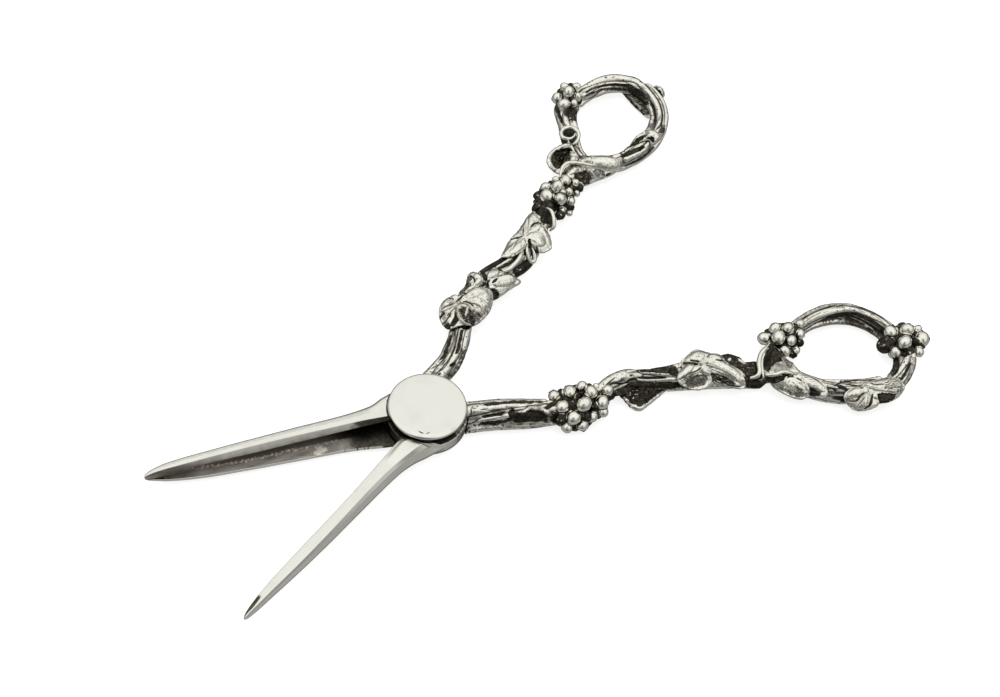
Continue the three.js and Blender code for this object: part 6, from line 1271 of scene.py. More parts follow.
def silver(name, colour, rough, patina, reach, dark=(0.030, 0.026, 0.0195), grime=0.35, scratch=(1.0, 1.0, 1.0), wave=0.08, hair=0.05, warm=(0.62, 0.52, 0.40), fleck=0.0, finish_and_light_attrs=False):
    """Old silver: bright worn metal, darkened by patina in hollows (occlusion) and by a vertex attribute that also
    holds painted shade; fine scratches and soft unevenness.
    """
    mat = bpy.data.materials.new(name)
    nt, N, L = nodes_of(mat)
    out = add(nt, "ShaderNodeOutputMaterial", 900, 0)
    bsdf = add(nt, "ShaderNodeBsdfPrincipled", 600, 0)
    L.new(bsdf.outputs[0], out.inputs[0])
    bsdf.inputs["Metallic"].default_value = 1.0
    tc = add(nt, "ShaderNodeTexCoord", -1500, 0)
    # hollows: patina from occlusion, and from the vertex attribute, which also holds painted shade
    cav = add(nt, "ShaderNodeAttribute", -1200, 300, attribute_name="cav")
    ao = add(nt, "ShaderNodeAmbientOcclusion", -1200, 60, samples=12)
    ao.inputs["Distance"].default_value = reach * MM
    shut = ramp(nt, [(0.25, 1.0), (0.80, 0.0)], -980, 60)
    L.new(ao.outputs["AO"], shut.inputs[0])
    fine = add(nt, "ShaderNodeTexNoise", -1200, -200)
    fine.inputs["Scale"].default_value = 900
    fine.inputs["Detail"].default_value = 4
    L.new(tc.outputs["Object"], fine.inputs["Vector"])
    soft = add(nt, "ShaderNodeTexNoise", -1200, -420)
    soft.inputs["Scale"].default_value = 190
    soft.inputs["Detail"].default_value = 3
    L.new(tc.outputs["Object"], soft.inputs["Vector"])
    both = add(nt, "ShaderNodeMath", -760, 200, operation="MAXIMUM")
    L.new(cav.outputs["Fac"], both.inputs[0])
    L.new(shut.outputs[0], both.inputs[1])
    if fleck:
        dots = add(nt, "ShaderNodeTexNoise", -1200, 520)
        dots.inputs["Scale"].default_value = 1700
        dots.inputs["Detail"].default_value = 3
        L.new(tc.outputs["Object"], dots.inputs["Vector"])
        dr = ramp(nt, [(0.56, 0.0), (0.70, fleck)], -980, 520)
        L.new(dots.outputs[0], dr.inputs[0])
        more = add(nt, "ShaderNodeMath", -660, 320, operation="MAXIMUM")
        L.new(both.outputs[0], more.inputs[0])
        L.new(dr.outputs[0], more.inputs[1])
        both = more
    worn = add(nt, "ShaderNodeMath", -760, -100, operation="MULTIPLY_ADD")
    L.new(fine.outputs[0], worn.inputs[0])
    worn.inputs[1].default_value = 0.7
    worn.inputs[2].default_value = -0.35
    sum1 = add(nt, "ShaderNodeMath", -560, 150, operation="ADD")
    L.new(both.outputs[0], sum1.inputs[0])
    mask = add(nt, "ShaderNodeMath", -560, -60, operation="MULTIPLY")
    L.new(worn.outputs[0], mask.inputs[0])
    L.new(both.outputs[0], mask.inputs[1])
    L.new(mask.outputs[0], sum1.inputs[1])
    patina_shade_mix = ramp(nt, [(0.19, 0.0), (0.72, patina)], -380, 150)
    L.new(sum1.outputs[0], patina_shade_mix.inputs[0])
    # thin yellow-brown tarnish next to the hollows and in soft patches
    tarn = ramp(nt, [(0.10, 0.0), (0.55, grime)], -380, -80)
    L.new(sum1.outputs[0], tarn.inputs[0])
    patch = ramp(nt, [(0.45, 0.0), (0.75, 0.16)], -760, -420)
    L.new(soft.outputs[0], patch.inputs[0])
    tmax = add(nt, "ShaderNodeMath", -160, -120, operation="MAXIMUM")
    L.new(tarn.outputs[0], tmax.inputs[0])
    L.new(patch.outputs[0], tmax.inputs[1])
    m1 = add(nt, "ShaderNodeMix", 60, 60, data_type="RGBA")
    m1.inputs["A"].default_value = (*colour, 1)
    m1.inputs["B"].default_value = (colour[0] * warm[0], colour[1] * warm[1] * 1.12, colour[2] * warm[2] * 1.3, 1)
    L.new(tmax.outputs[0], m1.inputs["Factor"])
    m2 = add(nt, "ShaderNodeMix", 260, 60, data_type="RGBA")
    L.new(m1.outputs["Result"], m2.inputs["A"])
    # the dark layer itself is mottled from black to worn brown grey
    mott = add(nt, "ShaderNodeTexNoise", -760, 520)
    mott.inputs["Scale"].default_value = 1050
    mott.inputs["Detail"].default_value = 6
    mott.inputs["Roughness"].default_value = 0.62
    L.new(tc.outputs["Object"], mott.inputs["Vector"])
    tones = ramp(nt, [(0.36, (dark[0] * 0.75, dark[1] * 0.75, dark[2] * 0.75, 1)), (0.53, (dark[0] * 1.6, dark[1] * 1.6, dark[2] * 1.6, 1)), (0.72, (0.115, 0.103, 0.082, 1))], -380, 520)
    L.new(mott.outputs[0], tones.inputs[0])
    L.new(tones.outputs[0], m2.inputs["B"])
    L.new(patina_shade_mix.outputs[0], m2.inputs["Factor"])
    base = m2.outputs["Result"]
    # the first attribute turns the metal a darker, rougher, less metallic brown and the second mixes in a pale beige;
    # besides real stains, scuffs and satin faces they paint light on a fold and on the bevel of the tongue blade
    if finish_and_light_attrs:
        dull_and_painted_light = add(nt, "ShaderNodeAttribute", 0, 500, attribute_name="dull_and_painted_light")
        stain_and_painted_light = add(nt, "ShaderNodeAttribute", 0, 700, attribute_name="stain_and_painted_light")
        m3 = add(nt, "ShaderNodeMix", 420, 200, data_type="RGBA")
        L.new(base, m3.inputs["A"])
        m3.inputs["B"].default_value = (0.088, 0.074, 0.060, 1)
        L.new(dull_and_painted_light.outputs["Fac"], m3.inputs["Factor"])
        m4 = add(nt, "ShaderNodeMix", 520, 300, data_type="RGBA")
        L.new(m3.outputs["Result"], m4.inputs["A"])
        m4.inputs["B"].default_value = (0.75, 0.665, 0.56, 1)
        L.new(stain_and_painted_light.outputs["Fac"], m4.inputs["Factor"])
        base = m4.outputs["Result"]
        less = add(nt, "ShaderNodeMath", 420, 420, operation="MULTIPLY_ADD")
        L.new(dull_and_painted_light.outputs["Fac"], less.inputs[0])
        less.inputs[1].default_value = -0.75
        less.inputs[2].default_value = 1.0
        L.new(less.outputs[0], bsdf.inputs["Metallic"])
    L.new(base, bsdf.inputs["Base Color"])
    # roughness
    r0 = add(nt, "ShaderNodeMapRange", 60, -200)
    r0.inputs["From Min"].default_value = 0.3
    r0.inputs["From Max"].default_value = 0.7
    r0.inputs["To Min"].default_value = rough * 0.75
    r0.inputs["To Max"].default_value = rough * 1.3
    L.new(soft.outputs[0], r0.inputs["Value"])
    r1 = add(nt, "ShaderNodeMath", 260, -200, operation="MULTIPLY_ADD")
    L.new(patina_shade_mix.outputs[0], r1.inputs[0])
    r1.inputs[1].default_value = 0.16
    L.new(r0.outputs[0], r1.inputs[2])
    if finish_and_light_attrs:
        r2 = add(nt, "ShaderNodeMath", 420, -200, operation="MULTIPLY_ADD")
        L.new(dull_and_painted_light.outputs["Fac"], r2.inputs[0])
        r2.inputs[1].default_value = 0.4
        L.new(r1.outputs[0], r2.inputs[2])
        r1 = r2
    L.new(r1.outputs[0], bsdf.inputs["Roughness"])
    # hair scratches and hand-finish waviness
    mp = add(nt, "ShaderNodeMapping", -1200, -700)
    mp.inputs["Scale"].default_value = scratch
    L.new(tc.outputs["Object"], mp.inputs["Vector"])
    hairs = add(nt, "ShaderNodeTexNoise", -980, -700)
    hairs.inputs["Scale"].default_value = 2600
    hairs.inputs["Detail"].default_value = 2
    L.new(mp.outputs[0], hairs.inputs["Vector"])
    b1 = add(nt, "ShaderNodeBump", 200, -450)
    b1.inputs["Strength"].default_value = hair
    b1.inputs["Distance"].default_value = 0.0001
    L.new(hairs.outputs[0], b1.inputs["Height"])
    lump = add(nt, "ShaderNodeTexNoise", -980, -950)
    lump.inputs["Scale"].default_value = 320
    lump.inputs["Detail"].default_value = 2
    L.new(tc.outputs["Object"], lump.inputs["Vector"])
    b2 = add(nt, "ShaderNodeBump", 400, -450)
    b2.inputs["Strength"].default_value = wave
    b2.inputs["Distance"].default_value = 0.0006
    L.new(lump.outputs[0], b2.inputs["Height"])
    L.new(b1.outputs[0], b2.inputs["Normal"])
    L.new(b2.outputs[0], bsdf.inputs["Normal"])
    return mat

BRIGHT = (0.905, 0.898, 0.82)
CAST = (0.965, 0.95, 0.845)
M_BLADE = silver("silver_polished", BRIGHT, 0.20, 0.97, 0.6, dark=(0.046, 0.040, 0.031), scratch=(1.0, 0.12, 1.0), wave=0.05, hair=0.10, finish_and_light_attrs=True)
M_CAP = silver("silver_disc", BRIGHT, 0.16, 0.9, 0.8, wave=0.05, hair=0.06)
M_VINE = silver("silver_vine", CAST, 0.24, 0.995, 1.5, grime=0.28, wave=0.30, hair=0.42, fleck=0.80)
M_LEAF = silver("silver_leaf", CAST, 0.23, 0.995, 1.4, grime=0.28, wave=0.22, hair=0.36, fleck=0.60)
M_FRUIT = silver("silver_fruit", CAST, 0.19, 0.995, 1.3, grime=0.30, wave=0.16, hair=0.24, fleck=0.40)
M_WIRE = silver("silver_tendril", CAST, 0.18, 0.99, 1.0, grime=0.28, wave=0.14, hair=0.14, fleck=0.3)

# ------------------------------------------------------------------ blades and joint
LAP_R, LAP_CLEAR, LAP_TOP = 9.45, 9.62, 5.0
NECK_RISE = 1.25


def blade(axis_deg, side, table, section, stations, cut):
    """Loft along the blade; each long line starts where it clears the joint. Also gives run, offset and section index."""
    a = math.radians(axis_deg)
    d = np.array([math.cos(a), math.sin(a), 0])
    n = np.array([-d[1] * side, d[0] * side, 0])
    S = table["s"]
    s = stations
    cols = {k: curve_at(s, S, v) for k, v in table.items() if k != "s"}
    rings = []
    for i, si in enumerate(s):
        q = section({k: c[i] for k, c in cols.items()})
        rings.append(d * si + n * q[:, :1] + np.array([0, 0, 1.0]) * q[:, 1:2])
    pos = np.array(rings)
    rows, nu = pos.shape[:2]
    rad = np.hypot(pos[:, :, 0], pos[:, :, 1])
    for j in range(nu):
        lim = cut(pos[0, j, 2])
        ok = np.where(rad[:, j] >= lim)[0]
        i0 = ok[0]
        if i0 == 0:
            continue
        f0 = i0 - (rad[i0, j] - lim) / max(rad[i0, j] - rad[i0 - 1, j], 1e-6)
        k = 40
        idx = np.concatenate([f0 + (k - f0) * (np.arange(k) / k), np.arange(k, rows)])
        lo = np.clip(np.floor(idx).astype(int), 0, rows - 2)
        t = (idx - lo)[:, None]
        pos[:, j] = pos[lo, j] * (1 - t) + pos[lo + 1, j] * t
    v = pos.reshape(-1, 3)
    f = grid_faces(rows, nu, False, True)
    f.append(list(range(nu))[::-1])
    m = len(v)
    v = np.vstack([v, pos[-1].mean(0) + d * 0.15])
    f += fan(list(range((rows - 1) * nu, rows * nu)), m)
    return v, f, v @ d, v @ n, np.r_[np.tile(np.arange(nu), rows), 0]


def channel_section(c):
    o, ti, ce, bi, zt, zb, k = c["out"], c["top"], c["cut"], c["bot"], c["zt"], c["zb"], min(max(c["deep"], 0), 1)
    h = zt - zb
    lip, sole = min(1.2, h * 0.22), min(0.9, h * 0.2)
    back = lambda x: x + (o + 1.0 - x) * k
    return rounded([[ti, zt], [o, zt], [o, zb], [bi, zb], [bi, zb + sole], [back(bi), zb + sole], [back(ce), zt - lip], [ce, zt - lip]],
                   [0.12, 1.9, 1.2, 0.22, 0.22, 0.7, 0.8, 0.07], 6, 14)


def tongue_section(c):
    a, r, o, zt, zb = c["in"], c["rdg"], c["out"], c["zt"], c["zb"]
    h = zt - zb
    m = [r + 0.42 * (o - r) - 0.07, zt - 0.42 * 0.70 * h + 0.07]
    return rounded([[a, zt - 0.05], [r, zt], m, [o, zb + 0.30 * h], [o + 0.05, zb], [a, zb]], [0.16, 0.28, 0.16, 0.3, 0.2, 0.16], 6, 6)


st = np.concatenate([np.linspace(6.0, 16, 61), np.linspace(16.2, 58, 210), np.linspace(58.2, 66.0, 60)])
v, f, s, q, j = blade(161, 1, CHANNEL, channel_section, st, lambda z: 8.3 if z > 5.25 else LAP_CLEAR)
corner, k = j // 21, j % 21
along = np.stack([s, 0.25 * q], 1)
n1, n2 = waves(along, 0.75, 301, 14), waves(np.stack([s * 0.6, q], 1), 1.6, 302, 14)
near_hub = smoothstep(24, 12, s)
cav = np.zeros(len(v))
dull_and_painted_light = np.zeros(len(v))
# the channel's back wall: near black by the joint, patina with painted shade inside the channel, turning dull brown
# further out
wall = (corner == 5) | (corner == 6) | ((corner == 7) & (k < 3))
cav[wall] = 0.97
clear_of = smoothstep(17, 27, s)
cav[wall] = (0.97 - 0.64 * clear_of)[wall]
dull_and_painted_light[wall] = (0.9 * clear_of)[wall]
# the floor of the channel: black inside, patina with painted shade under the top flange, a scuffed line where the other
# blade rubs, brown outside it
rub = np.interp(s, [10, 20, 30, 42, 47, 51, 56, 62], [0.3, 0.16, -0.05, 0.0, -0.35, -0.7, -1.0, -1.2])
deep = smoothstep(rub + 0.10, rub - 0.30, q)
flecks = waves(np.stack([s, 1.4 * q], 1), 0.8, 303, 18)
scuff = np.exp(-((q - rub - 0.22 * n2) / 0.34) ** 4) * smoothstep(0.1, 0.45, 0.6 * n1 + 0.8 * flecks) * smoothstep(17, 26, s) * smoothstep(60, 52, s)
sole = ((corner == 4) & (k >= 5)) | ((corner == 5) & (k <= 4))
hub = smoothstep(23, 15, s)
cav[sole] = (np.maximum(deep * 0.97, 0.10 + 0.25 * smoothstep(0.2, 1.2, n2) + 0.85 * hub * (1 - 0.55 * smoothstep(0.5, 1.3, n2))) * (1 - scuff))[sole]
dull_and_painted_light[sole] = ((1 - deep) * (1 - scuff) * (1 - hub) * 0.92 * smoothstep(62.5, 59, s))[sole]
rim = ((corner == 3) & (k > 2)) | ((corner == 4) & (k < 5))
cav[rim] = (0.75 * smoothstep(0.45, 0.9, n1) * smoothstep(27, 21, s) * smoothstep(12, 15, s))[rim]
# the inner face of the top flange: painted shade near the joint, darker towards the tip, a duller grey between
face = ((corner == 7) & (k >= 3))
cav[face] = (0.97 * smoothstep(21, 13, s) + 0.20 * smoothstep(0.3, 1.2, n2) + 0.55 * smoothstep(52, 60, s))[face]
across = np.clip((k - 3) / 17, 0, 1)
dull_and_painted_light[face] = np.clip(np.interp(s, [10, 24, 40, 48, 54, 60, 64], [0.5, 0.66, 0.62, 0.66, 0.78, 0.92, 0.95]) + 0.30 * (0.8 - across) + 0.04 * n2, 0, 0.97)[face]
dull_and_painted_light[face] = (dull_and_painted_light * (1 - 0.85 * smoothstep(20, 14, s)))[face]
cav[sole] = np.maximum(cav, 0.7 * smoothstep(51, 58, s))[sole]
X, Y = chart(v)
stain_and_painted_light = np.where(sole | rim, 0.85 * smoothstep(1.15, 0.35, np.hypot((X + 26.3) / 1.5, (Y - 5.2) / 1.15) + 0.28 * n1 + 0.22 * n2), 0)
cav = np.where(stain_and_painted_light > 0.1, cav * 0.3, cav)
stain_and_painted_light[wall] = (0.15 * clear_of)[wall]
stain_and_painted_light = np.where(sole, np.maximum(stain_and_painted_light, scuff), stain_and_painted_light)
dull_and_painted_light = np.where(sole, np.maximum(dull_and_painted_light, scuff), dull_and_painted_light)
inside_sole = sole & (deep > 0.5)
cav[inside_sole] = (cav * (1 - 0.2 * clear_of))[inside_sole]
dull_and_painted_light[inside_sole] = np.maximum(dull_and_painted_light, 0.75 * clear_of)[inside_sole]
stain_and_painted_light[inside_sole] = np.maximum(stain_and_painted_light, 0.08 * clear_of)[inside_sole]
streaks = waves(np.stack([0.12 * s, 2.2 * q], 1), 1.0, 304, 14)
outer_sole = sole & (deep < 0.5) & (scuff < 0.3)
stain_and_painted_light[outer_sole] = np.maximum(stain_and_painted_light, (0.05 + 0.06 * np.clip(streaks, -1, 1)) * clear_of * smoothstep(60, 52, s))[outer_sole]
cav[outer_sole] = np.maximum(cav, 0.34 * smoothstep(0.1, 0.9, -streaks))[outer_sole]
# painted shade: the top face darkens slightly towards its outer edge, standing in for the reflection of a crowned face
outer_edge_shade = (corner == 0) & (k >= 6) | (corner == 1) & (k < 7)
cav[outer_edge_shade] = np.maximum(cav, np.where(corner == 1, 0.27, 0.27 * smoothstep(0.25, 1.0, (k - 6) / 14)) * smoothstep(9, 14, s))[outer_edge_shade]
# painted shade: the low part of the channel's mouth by the joint is made black
mouth_shade = smoothstep(12.5, 11.0, s) * (v[:, 2] < 5.45)
cav = np.maximum(cav, mouth_shade)
# painted shadow: the flange top under the rim of the cap is made near black
cav = np.where((np.hypot(v[:, 0], v[:, 1]) < 9.46) & (v[:, 2] > 5.9), 0.96, cav)
dull_and_painted_light = np.where(wall | inside_sole | (scuff > 0.2), dull_and_painted_light, dull_and_painted_light * (1 - 0.6 * np.clip(stain_and_painted_light, 0, 1)))
# the lap under the cap: painted shade, near black all round except a mottled sector towards the channel blade
lap_a, lf = lathe([[0, 5.35], [7.6, 5.35], [8.3, 5.35], [8.5, 5.5], [8.5, 6.4], [8.35, 6.56], [7.6, 6.56], [0, 6.56]])
turn = np.degrees(np.arctan2(lap_a[:, 1], lap_a[:, 0]))
wide = smoothstep(30, 18, np.abs(turn + 34)) * smoothstep(7.8, 8.3, np.hypot(lap_a[:, 0], lap_a[:, 1]))
lap_a[:, :2] *= (1 + 0.09 * wide)[:, None]
V, F, AT = join_shells((v, f, {"cav": np.clip(cav, 0, 1), "dull_and_painted_light": dull_and_painted_light, "stain_and_painted_light": np.clip(stain_and_painted_light, 0, 1)}), (lap_a, lf, {"cav": np.where(np.abs(turn + 40) < 36, np.clip(0.55 + 0.3 * waves(lap_a, 0.9, 307), 0, 0.97), 0.97)}))
piece("channel_blade_vis", V, F, ARM_A, ["channel_blade"], M_BLADE, AT)

st = np.concatenate([np.linspace(TONGUE["s"][0], 16, 61), np.linspace(16.2, 58, 140), np.linspace(58.2, TONGUE["s"][-1], 70)])
v, f, s, q, j = blade(-163, -1, TONGUE, tongue_section, st, lambda z: 9.36 if z > 4.0 else 8.3)
corner, k = j // 13, j % 13
lift = NECK_RISE * smoothstep(17.5, 10.0, s) * smoothstep(-0.18, -0.62, q) * np.clip((v[:, 2] - 2.3) / 2.7, 0, 1)
# painted light: a strip along the raised neck is made a pale dull beige so it reads bright instead of showing a dark
# reflection
fold_light = smoothstep(17.5, 13.0, s) * smoothstep(0.0, -0.15, q) * smoothstep(-0.85, -0.6, q) * (v[:, 2] > 4.5)
v[:, 2] += lift
v[:, :2] += np.outer(-0.36 * lift * smoothstep(-1.2, -2.2, q), [-0.2924, 0.9563])
inner = curve_at(np.clip(s, TONGUE["s"][0], TONGUE["s"][-1]), TONGUE["s"], TONGUE["in"])
top = (corner == 0) & (k >= 2)
r = np.hypot(v[:, 0], v[:, 1])
# painted shadow: the tongue under the cap is made dark
cav = np.where(r < 9.355, 0.9, 0.0)
cav = np.maximum(cav, np.where(top, 0.97 * smoothstep(60.4, 62.2, s) * smoothstep(-0.98, -0.70, q - inner), 0))
# painted shade: the top face darkens slightly towards its inner edge, standing in for the reflection of a crowned face
cav = np.maximum(cav, np.where(top | (corner == 0) | (corner == 5), 0.255 * (1 - np.clip((inner - q) / 1.7, 0, 1)), 0))
# the bevel gets a satin finish; its upper facet stays nearly polished and the rest is duller and darker, painted light
# and shade of two facets
bevel = ((corner == 1) & (k > 4)) | (corner == 2) | ((corner == 3) & (k < 4))
dull_and_painted_light = np.where((corner == 1) & (k > 4), 0.06, np.where(bevel, 0.24, 0))
lap_b, lf = lathe([[0, 1.4], [9.2, 1.4], [9.45, 1.65], [9.45, 2.6], [9.45, 3.6], [9.45, 4.3], [9.45, 4.72], [9.43, 4.9], [9.38, 4.97], [9.34, 4.99], [9.32, 5.0], [9.0, 5.0], [8.7, 5.0], [8.2, 5.0], [0, 5.0]], 256)
rb, zb = np.hypot(lap_b[:, 0], lap_b[:, 1]), lap_b[:, 2]
turn = np.degrees(np.arctan2(lap_b[:, 1], lap_b[:, 0]))
# painted shade on the lap: the wall is bright only in the sector seen beside the tongue's neck, near black elsewhere
# and on the top under the cap, mottled grey on the right, darker towards the bottom
lit_sector = smoothstep(-160, -152, turn) * smoothstep(-75, -80, turn)
rise = smoothstep(-159, -151, turn) * smoothstep(-104, -118, turn)
rim_up = (rb > 9.335) & (zb > 4.2)
lap_b[:, 2] += np.where(rim_up, NECK_RISE * rise * np.clip((zb - 3.6) / 1.1, 0, 1), 0)
cb = np.where((zb > 4.9) & (rb < 9.33), 0.95, 0.10 + 0.20 * smoothstep(2.2, 1.4, zb) + 0.22 * smoothstep(0.3, 1.0, waves(lap_b, 2.0, 305)))
right = smoothstep(-82, -74, turn) * smoothstep(40, 20, turn)
cb = np.where(right > 0.5, np.clip(0.46 + 0.30 * waves(lap_b, 0.9, 306), 0, 0.95), np.maximum(cb, (1 - lit_sector) * 0.97))
# painted light on the fold: pale beige, less metallic
stain_and_painted_light = 0.5 * fold_light
dull_and_painted_light = np.maximum(dull_and_painted_light, 0.5 * fold_light)
V, F, AT = join_shells((v, f, {"cav": cav, "dull_and_painted_light": dull_and_painted_light, "stain_and_painted_light": stain_and_painted_light}), (lap_b, lf, {"cav": cb, "dull_and_painted_light": 0.15 * np.maximum(lit_sector, right)}))
piece("tongue_blade_vis", V, F, ARM_B, ["tongue_blade"], M_BLADE, AT)

CAP_MARKS = [
    ["cut", [[-4.55, -3.15], [-4.4, -3.7], [-4.05, -4.15]], 0.17, 0.05, 0.8], ["cut", [[-3.65, -4.55], [-3.2, -4.75], [-2.75, -4.65]], 0.15, 0.04, 0.75],
    ["cut", [[-3.5, -4.0], [-3.3, -4.25]], 0.09, 0.02, 0.4], ["cut", [[-5.6, -2.3], [-5.3, -2.9]], 0.08, 0.015, 0.25], ["cut", [[6.8, -3.0], [7.2, -2.6]], 0.07, 0.015, 0.3],
]
prof = [[0, 6.9], [8.1, 6.9], [8.6, 6.95], [8.88, 7.06], [9.0, 7.22], [9.0, 7.40], [8.965, 7.55], [8.89, 7.67], [8.78, 7.76], [8.64, 7.83], [8.48, 7.88], [8.28, 7.918], [8.08, 7.945]]
prof = [[r * (1 + 0.012 * min(1.0, r / 8.0)), z] for r, z in prof]
prof += [[r, 8.0 - 0.00055 * r ** 2] for r in np.linspace(7.9, 0.15, 72)] + [[0, 8.0]]
v, f = lathe(prof, 256)
h, cav = relief(CAP_MARKS, *chart(v), 7)
on = smoothstep(7.85, 7.9, v[:, 2])
v[:, 2] += h * on + 0.006 * waves(v, 5.5, 308) * on
rc = np.hypot(v[:, 0], v[:, 1])
worn_side = smoothstep(70, 40, np.abs(np.degrees(np.arctan2(v[:, 1], v[:, 0])) + 118))
groove = np.exp(-((rc - 8.60) / 0.09) ** 2) * (v[:, 2] > 7.4) * (0.40 + 0.30 * np.clip(waves(v, 4.0, 309), -1, 1)) * worn_side
# painted shade: the cap's underside is made dark
piece("pivot_cap_vis", v, f, ARM_A, ["pivot_cap"], M_CAP, {"cav": np.maximum.reduce([cav * on, groove, smoothstep(7.1, 6.95, v[:, 2])])})
v, f = lathe([[0, 0.02], [1.4, 0.02], [2.05, 0.06], [2.2, 0.2], [2.2, 7.2], [2.05, 7.3], [0, 7.3]], 64)
piece("pivot_pin_vis", v, f, ARM_A, ["pivot_pin"], M_BLADE, {"cav": np.zeros(len(v))})
ring = [[2.4, 0.12], [2.55, 0.0], [7.5, 0.0], [7.9, 0.12], [8.0, 0.4], [8.0, 0.85], [7.85, 1.05], [7.6, 1.1], [2.4, 1.1]]
a = np.arange(128) / 128 * TAU
rv = np.array([[[r * math.cos(t), r * math.sin(t), z] for t in a] for r, z in ring]).reshape(-1, 3)
piece("pivot_boss_vis", rv, grid_faces(len(ring), 128, True, True), ARM_A, ["pivot_boss"], M_CAP, {"cav": np.zeros(len(rv))})

# ------------------------------------------------------------------ vine shanks and bows
v, f, at = branch([[6.4, -4.3, 3.85, 2.6]] + SHANK_A, STRANDS["SHANK_A"], MARKS["SHANK_A"], False, 0.2, 168, 11, trim=9.6)
piece("a_vine_shank_vis", v, f, ARM_A, ["a_vine_shank"], M_VINE, at)
v, f, at = branch([[6.4, 6.1, 3.85, 2.4]] + SHANK_B, STRANDS["SHANK_B"], MARKS["SHANK_B"], False, 0.2, 168, 23, trim=9.6)
piece("b_vine_shank_vis", v, f, ARM_B, ["b_vine_shank"], M_VINE, at)
v, f, at = branch(BOW_A, STRANDS["BOW_A"], MARKS["BOW_A"], True, 0.2, 144, 31)
piece("a_finger_bow_vis", v, f, ARM_A, ["a_finger_bow"], M_VINE, at)
v, f, at = branch(BOW_B, STRANDS["BOW_B"], MARKS["BOW_B"], True, 0.2, 144, 47)
piece("b_finger_bow_vis", v, f, ARM_B, ["b_finger_bow"], M_VINE, at)

# ------------------------------------------------------------------ ornament
def arm(name):
    return ARM_A if name.startswith("a_") else ARM_B


RODS = {"a_": [spline(SHANK_A, False, 10), spline(BOW_A, True, 10)], "b_": [spline(SHANK_B, False, 10), spline(BOW_B, True, 10)]}


for i, (name, g) in enumerate(GRAPES.items()):
    v, f, at = bunch(g, GROUND[name], 60 + i)
    piece(name + "_vis", v, f, arm(name), [name], M_FRUIT, at)
for i, (name, spec) in enumerate(LEAVES.items()):
    v, f, at = leaf(spec, RODS[name[:2]], seed=100 + i)
    piece(name + "_vis", v, f, arm(name), [name], M_LEAF, at)
for i, (name, path) in enumerate(TENDRILS.items()):
    v, f, at = wire(path, seed=200 + i)
    if name in SECOND_WIRES:
        v, f, at = join_shells((v, f, at), wire(SECOND_WIRES[name], seed=230 + i))
    piece(name + "_vis", v, f, arm(name), [name], M_WIRE, at)
x, y, z, r = BUD_B
v, f = ball((0, 0, 0), r, 5)
d = unit(v)
v = v * np.array([0.85, 1.25, 1.0]) + np.array([x, y, z])
h, cav = relief([["area", [[106.7, 45.0], [107.2, 46.9], [108.2, 47.5], [108.5, 46.2], [108.1, 44.8], [107.4, 44.1]], 0.8, 1.0], ["cut", [[107.0, 47.8], [108.2, 47.6], [109.0, 46.8]], 0.16, 0.2, 0.8], ["cut", [[108.0, 44.2], [108.8, 45.0], [109.0, 45.8]], 0.14, 0.15, 0.7]], *chart(v), 240)
seen = smoothstep(0.1, 0.4, (d * unit(SIGHT - v)).sum(1))
v = v + d * (h * seen + 0.04 * waves(v, 1.1, 241))[:, None]
piece("b_bud_vis", v, f, ARM_B, ["b_bud"], M_LEAF, {"cav": cav * seen})

# ------------------------------------------------------------------ stage, light, camera
def plane(name, size, z):
    me = bpy.data.meshes.new(name)
    me.from_pydata([(-size, -size, z), (size, -size, z), (size, size, z), (-size, size, z)], [], [(0, 1, 2, 3)])
    ob = bpy.data.objects.new(name, me)
    bpy.context.scene.collection.objects.link(ob)
    return ob


floor = plane("floor", 3.0, -0.0002)
fm = bpy.data.materials.new("floor_white")
nt, N, L = nodes_of(fm)
out = add(nt, "ShaderNodeOutputMaterial", 400, 0)
bs = add(nt, "ShaderNodeBsdfPrincipled", 100, 0)
bs.inputs["Base Color"].default_value = (0.28, 0.28, 0.277, 1)
bs.inputs["Roughness"].default_value = 0.9
bs.inputs["Emission Color"].default_value = (1.0, 1.0, 0.99, 1)
bs.inputs["Emission Strength"].default_value = 0.80
L.new(bs.outputs[0], out.inputs[0])
floor.data.materials.append(fm)
floor.visible_glossy = False

scene = bpy.context.scene
scene.view_settings.view_transform = "Standard"
scene.view_settings.look = "None"
scene.view_settings.exposure = 0.0
world = bpy.data.worlds.new("studio")
scene.world = world
world.use_nodes = True
nt = world.node_tree
nt.nodes.clear()
out = add(nt, "ShaderNodeOutputWorld", 900, 0)
bg = add(nt, "ShaderNodeBackground", 700, 0)
nt.links.new(bg.outputs[0], out.inputs[0])
tc = add(nt, "ShaderNodeTexCoord", -900, 0)


def lobe(axis, stops, x, y):
    """Grey ramp over the cosine to a fixed direction."""
    dot = add(nt, "ShaderNodeVectorMath", x, y, operation="DOT_PRODUCT")
    nt.links.new(tc.outputs["Generated"], dot.inputs[0])
    dot.inputs[1].default_value = tuple(unit(np.array(axis, float)))
    half = add(nt, "ShaderNodeMath", x + 180, y, operation="MULTIPLY_ADD")
    nt.links.new(dot.outputs["Value"], half.inputs[0])
    half.inputs[1].default_value = 0.5
    half.inputs[2].default_value = 0.5
    r = ramp(nt, [((math.cos(math.radians(p)) + 1) / 2, c) for p, c in stops], x + 360, y)
    nt.links.new(half.outputs[0], r.inputs[0])
    return r


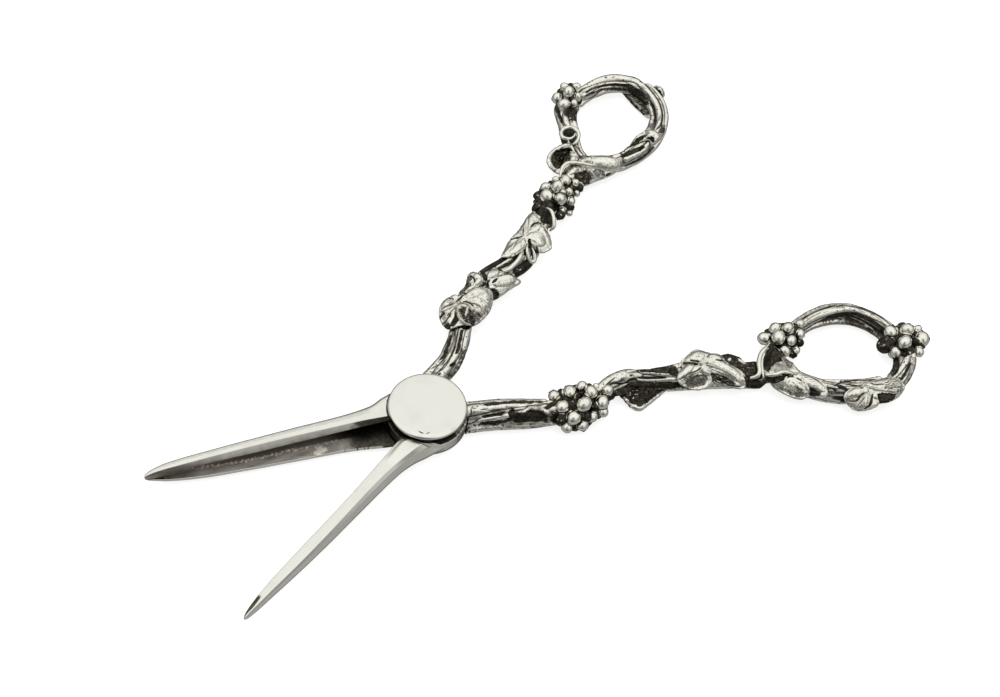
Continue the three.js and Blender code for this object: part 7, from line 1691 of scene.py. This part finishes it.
tent = lobe((0, 0, 1), [(180, 0.38), (112, 0.38), (96, 0.26), (84, 0.24), (68, 0.60), (50, 0.90), (36, 0.89), (0, 1.0)], -700, 200)
hole = lobe((-0.41, -0.42, 0.81), [(180, 1.0), (27, 1.0), (18, 0.66), (9, 0.32), (0, 0.26)], -700, -100)
front = lobe((-0.66, -0.69, 0.30), [(180, 1.0), (44, 1.0), (30, 0.62), (14, 0.30), (0, 0.25)], -700, -400)
rear = lobe((0.41, 0.42, -0.81), [(180, 1.0), (64, 1.0), (44, 0.50), (24, 0.24), (0, 0.22)], -700, -700)
mul = add(nt, "ShaderNodeMix", 200, 0, data_type="RGBA", blend_type="MULTIPLY")
mul.inputs["Factor"].default_value = 1.0
nt.links.new(tent.outputs[0], mul.inputs["A"])
nt.links.new(hole.outputs[0], mul.inputs["B"])
both = add(nt, "ShaderNodeMix", 400, 0, data_type="RGBA", blend_type="MULTIPLY")
both.inputs["Factor"].default_value = 1.0
nt.links.new(mul.outputs["Result"], both.inputs["A"])
nt.links.new(front.outputs[0], both.inputs["B"])
last = add(nt, "ShaderNodeMix", 550, 0, data_type="RGBA", blend_type="MULTIPLY")
last.inputs["Factor"].default_value = 1.0
nt.links.new(both.outputs["Result"], last.inputs["A"])
nt.links.new(rear.outputs[0], last.inputs["B"])
nt.links.new(last.outputs["Result"], bg.inputs["Color"])
bg.inputs["Strength"].default_value = 1.0



def area(name, loc, target, size, power, shape="RECTANGLE", size_y=None):
    l = bpy.data.lights.new(name, "AREA")
    l.energy = power
    l.shape = shape
    l.size = size
    l.size_y = size_y or size
    ob = bpy.data.objects.new(name, l)
    scene.collection.objects.link(ob)
    loc, target = np.array(loc, float), np.array(target, float)
    z = unit(loc - target)
    x = unit(np.cross([0.01, 0.02, 1.0], z))
    y = np.cross(z, x)
    ob.matrix_world = Matrix([[x[0], y[0], z[0], loc[0]], [x[1], y[1], z[1], loc[1]], [x[2], y[2], z[2], loc[2]], [0, 0, 0, 1]])
    return ob


wash = area("floor_wash", (0.0, 0.0, 1.6), (0.02, 0, 0), 2.4, 34.0)
wash.visible_glossy = False

cam = bpy.data.cameras.new("camera")
cam.lens = 90
cam.sensor_width = 36
cam.sensor_fit = "HORIZONTAL"
cam.clip_start, cam.clip_end = 0.01, 20
co = bpy.data.objects.new("camera", cam)
scene.collection.objects.link(co)
RIGHT = (0.7898652828968249, -0.6074107402060488, 0.08464648579036597)
DOWN = (-0.45650504208326526, -0.6744891647501322, -0.5802305689872133)
AHEAD = (0.4095314168984779, 0.4196624349605393, -0.810041640445796)
EYE = (-0.215266, -0.241389, 0.480247)
co.matrix_world = Matrix([[RIGHT[i], -DOWN[i], -AHEAD[i], EYE[i]] for i in range(3)] + [[0, 0, 0, 1]])
scene.camera = co

for leftover in [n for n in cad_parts.values() if not n.hide_render]:
    leftover.data.materials.clear()
    leftover.data.materials.append(M_VINE)
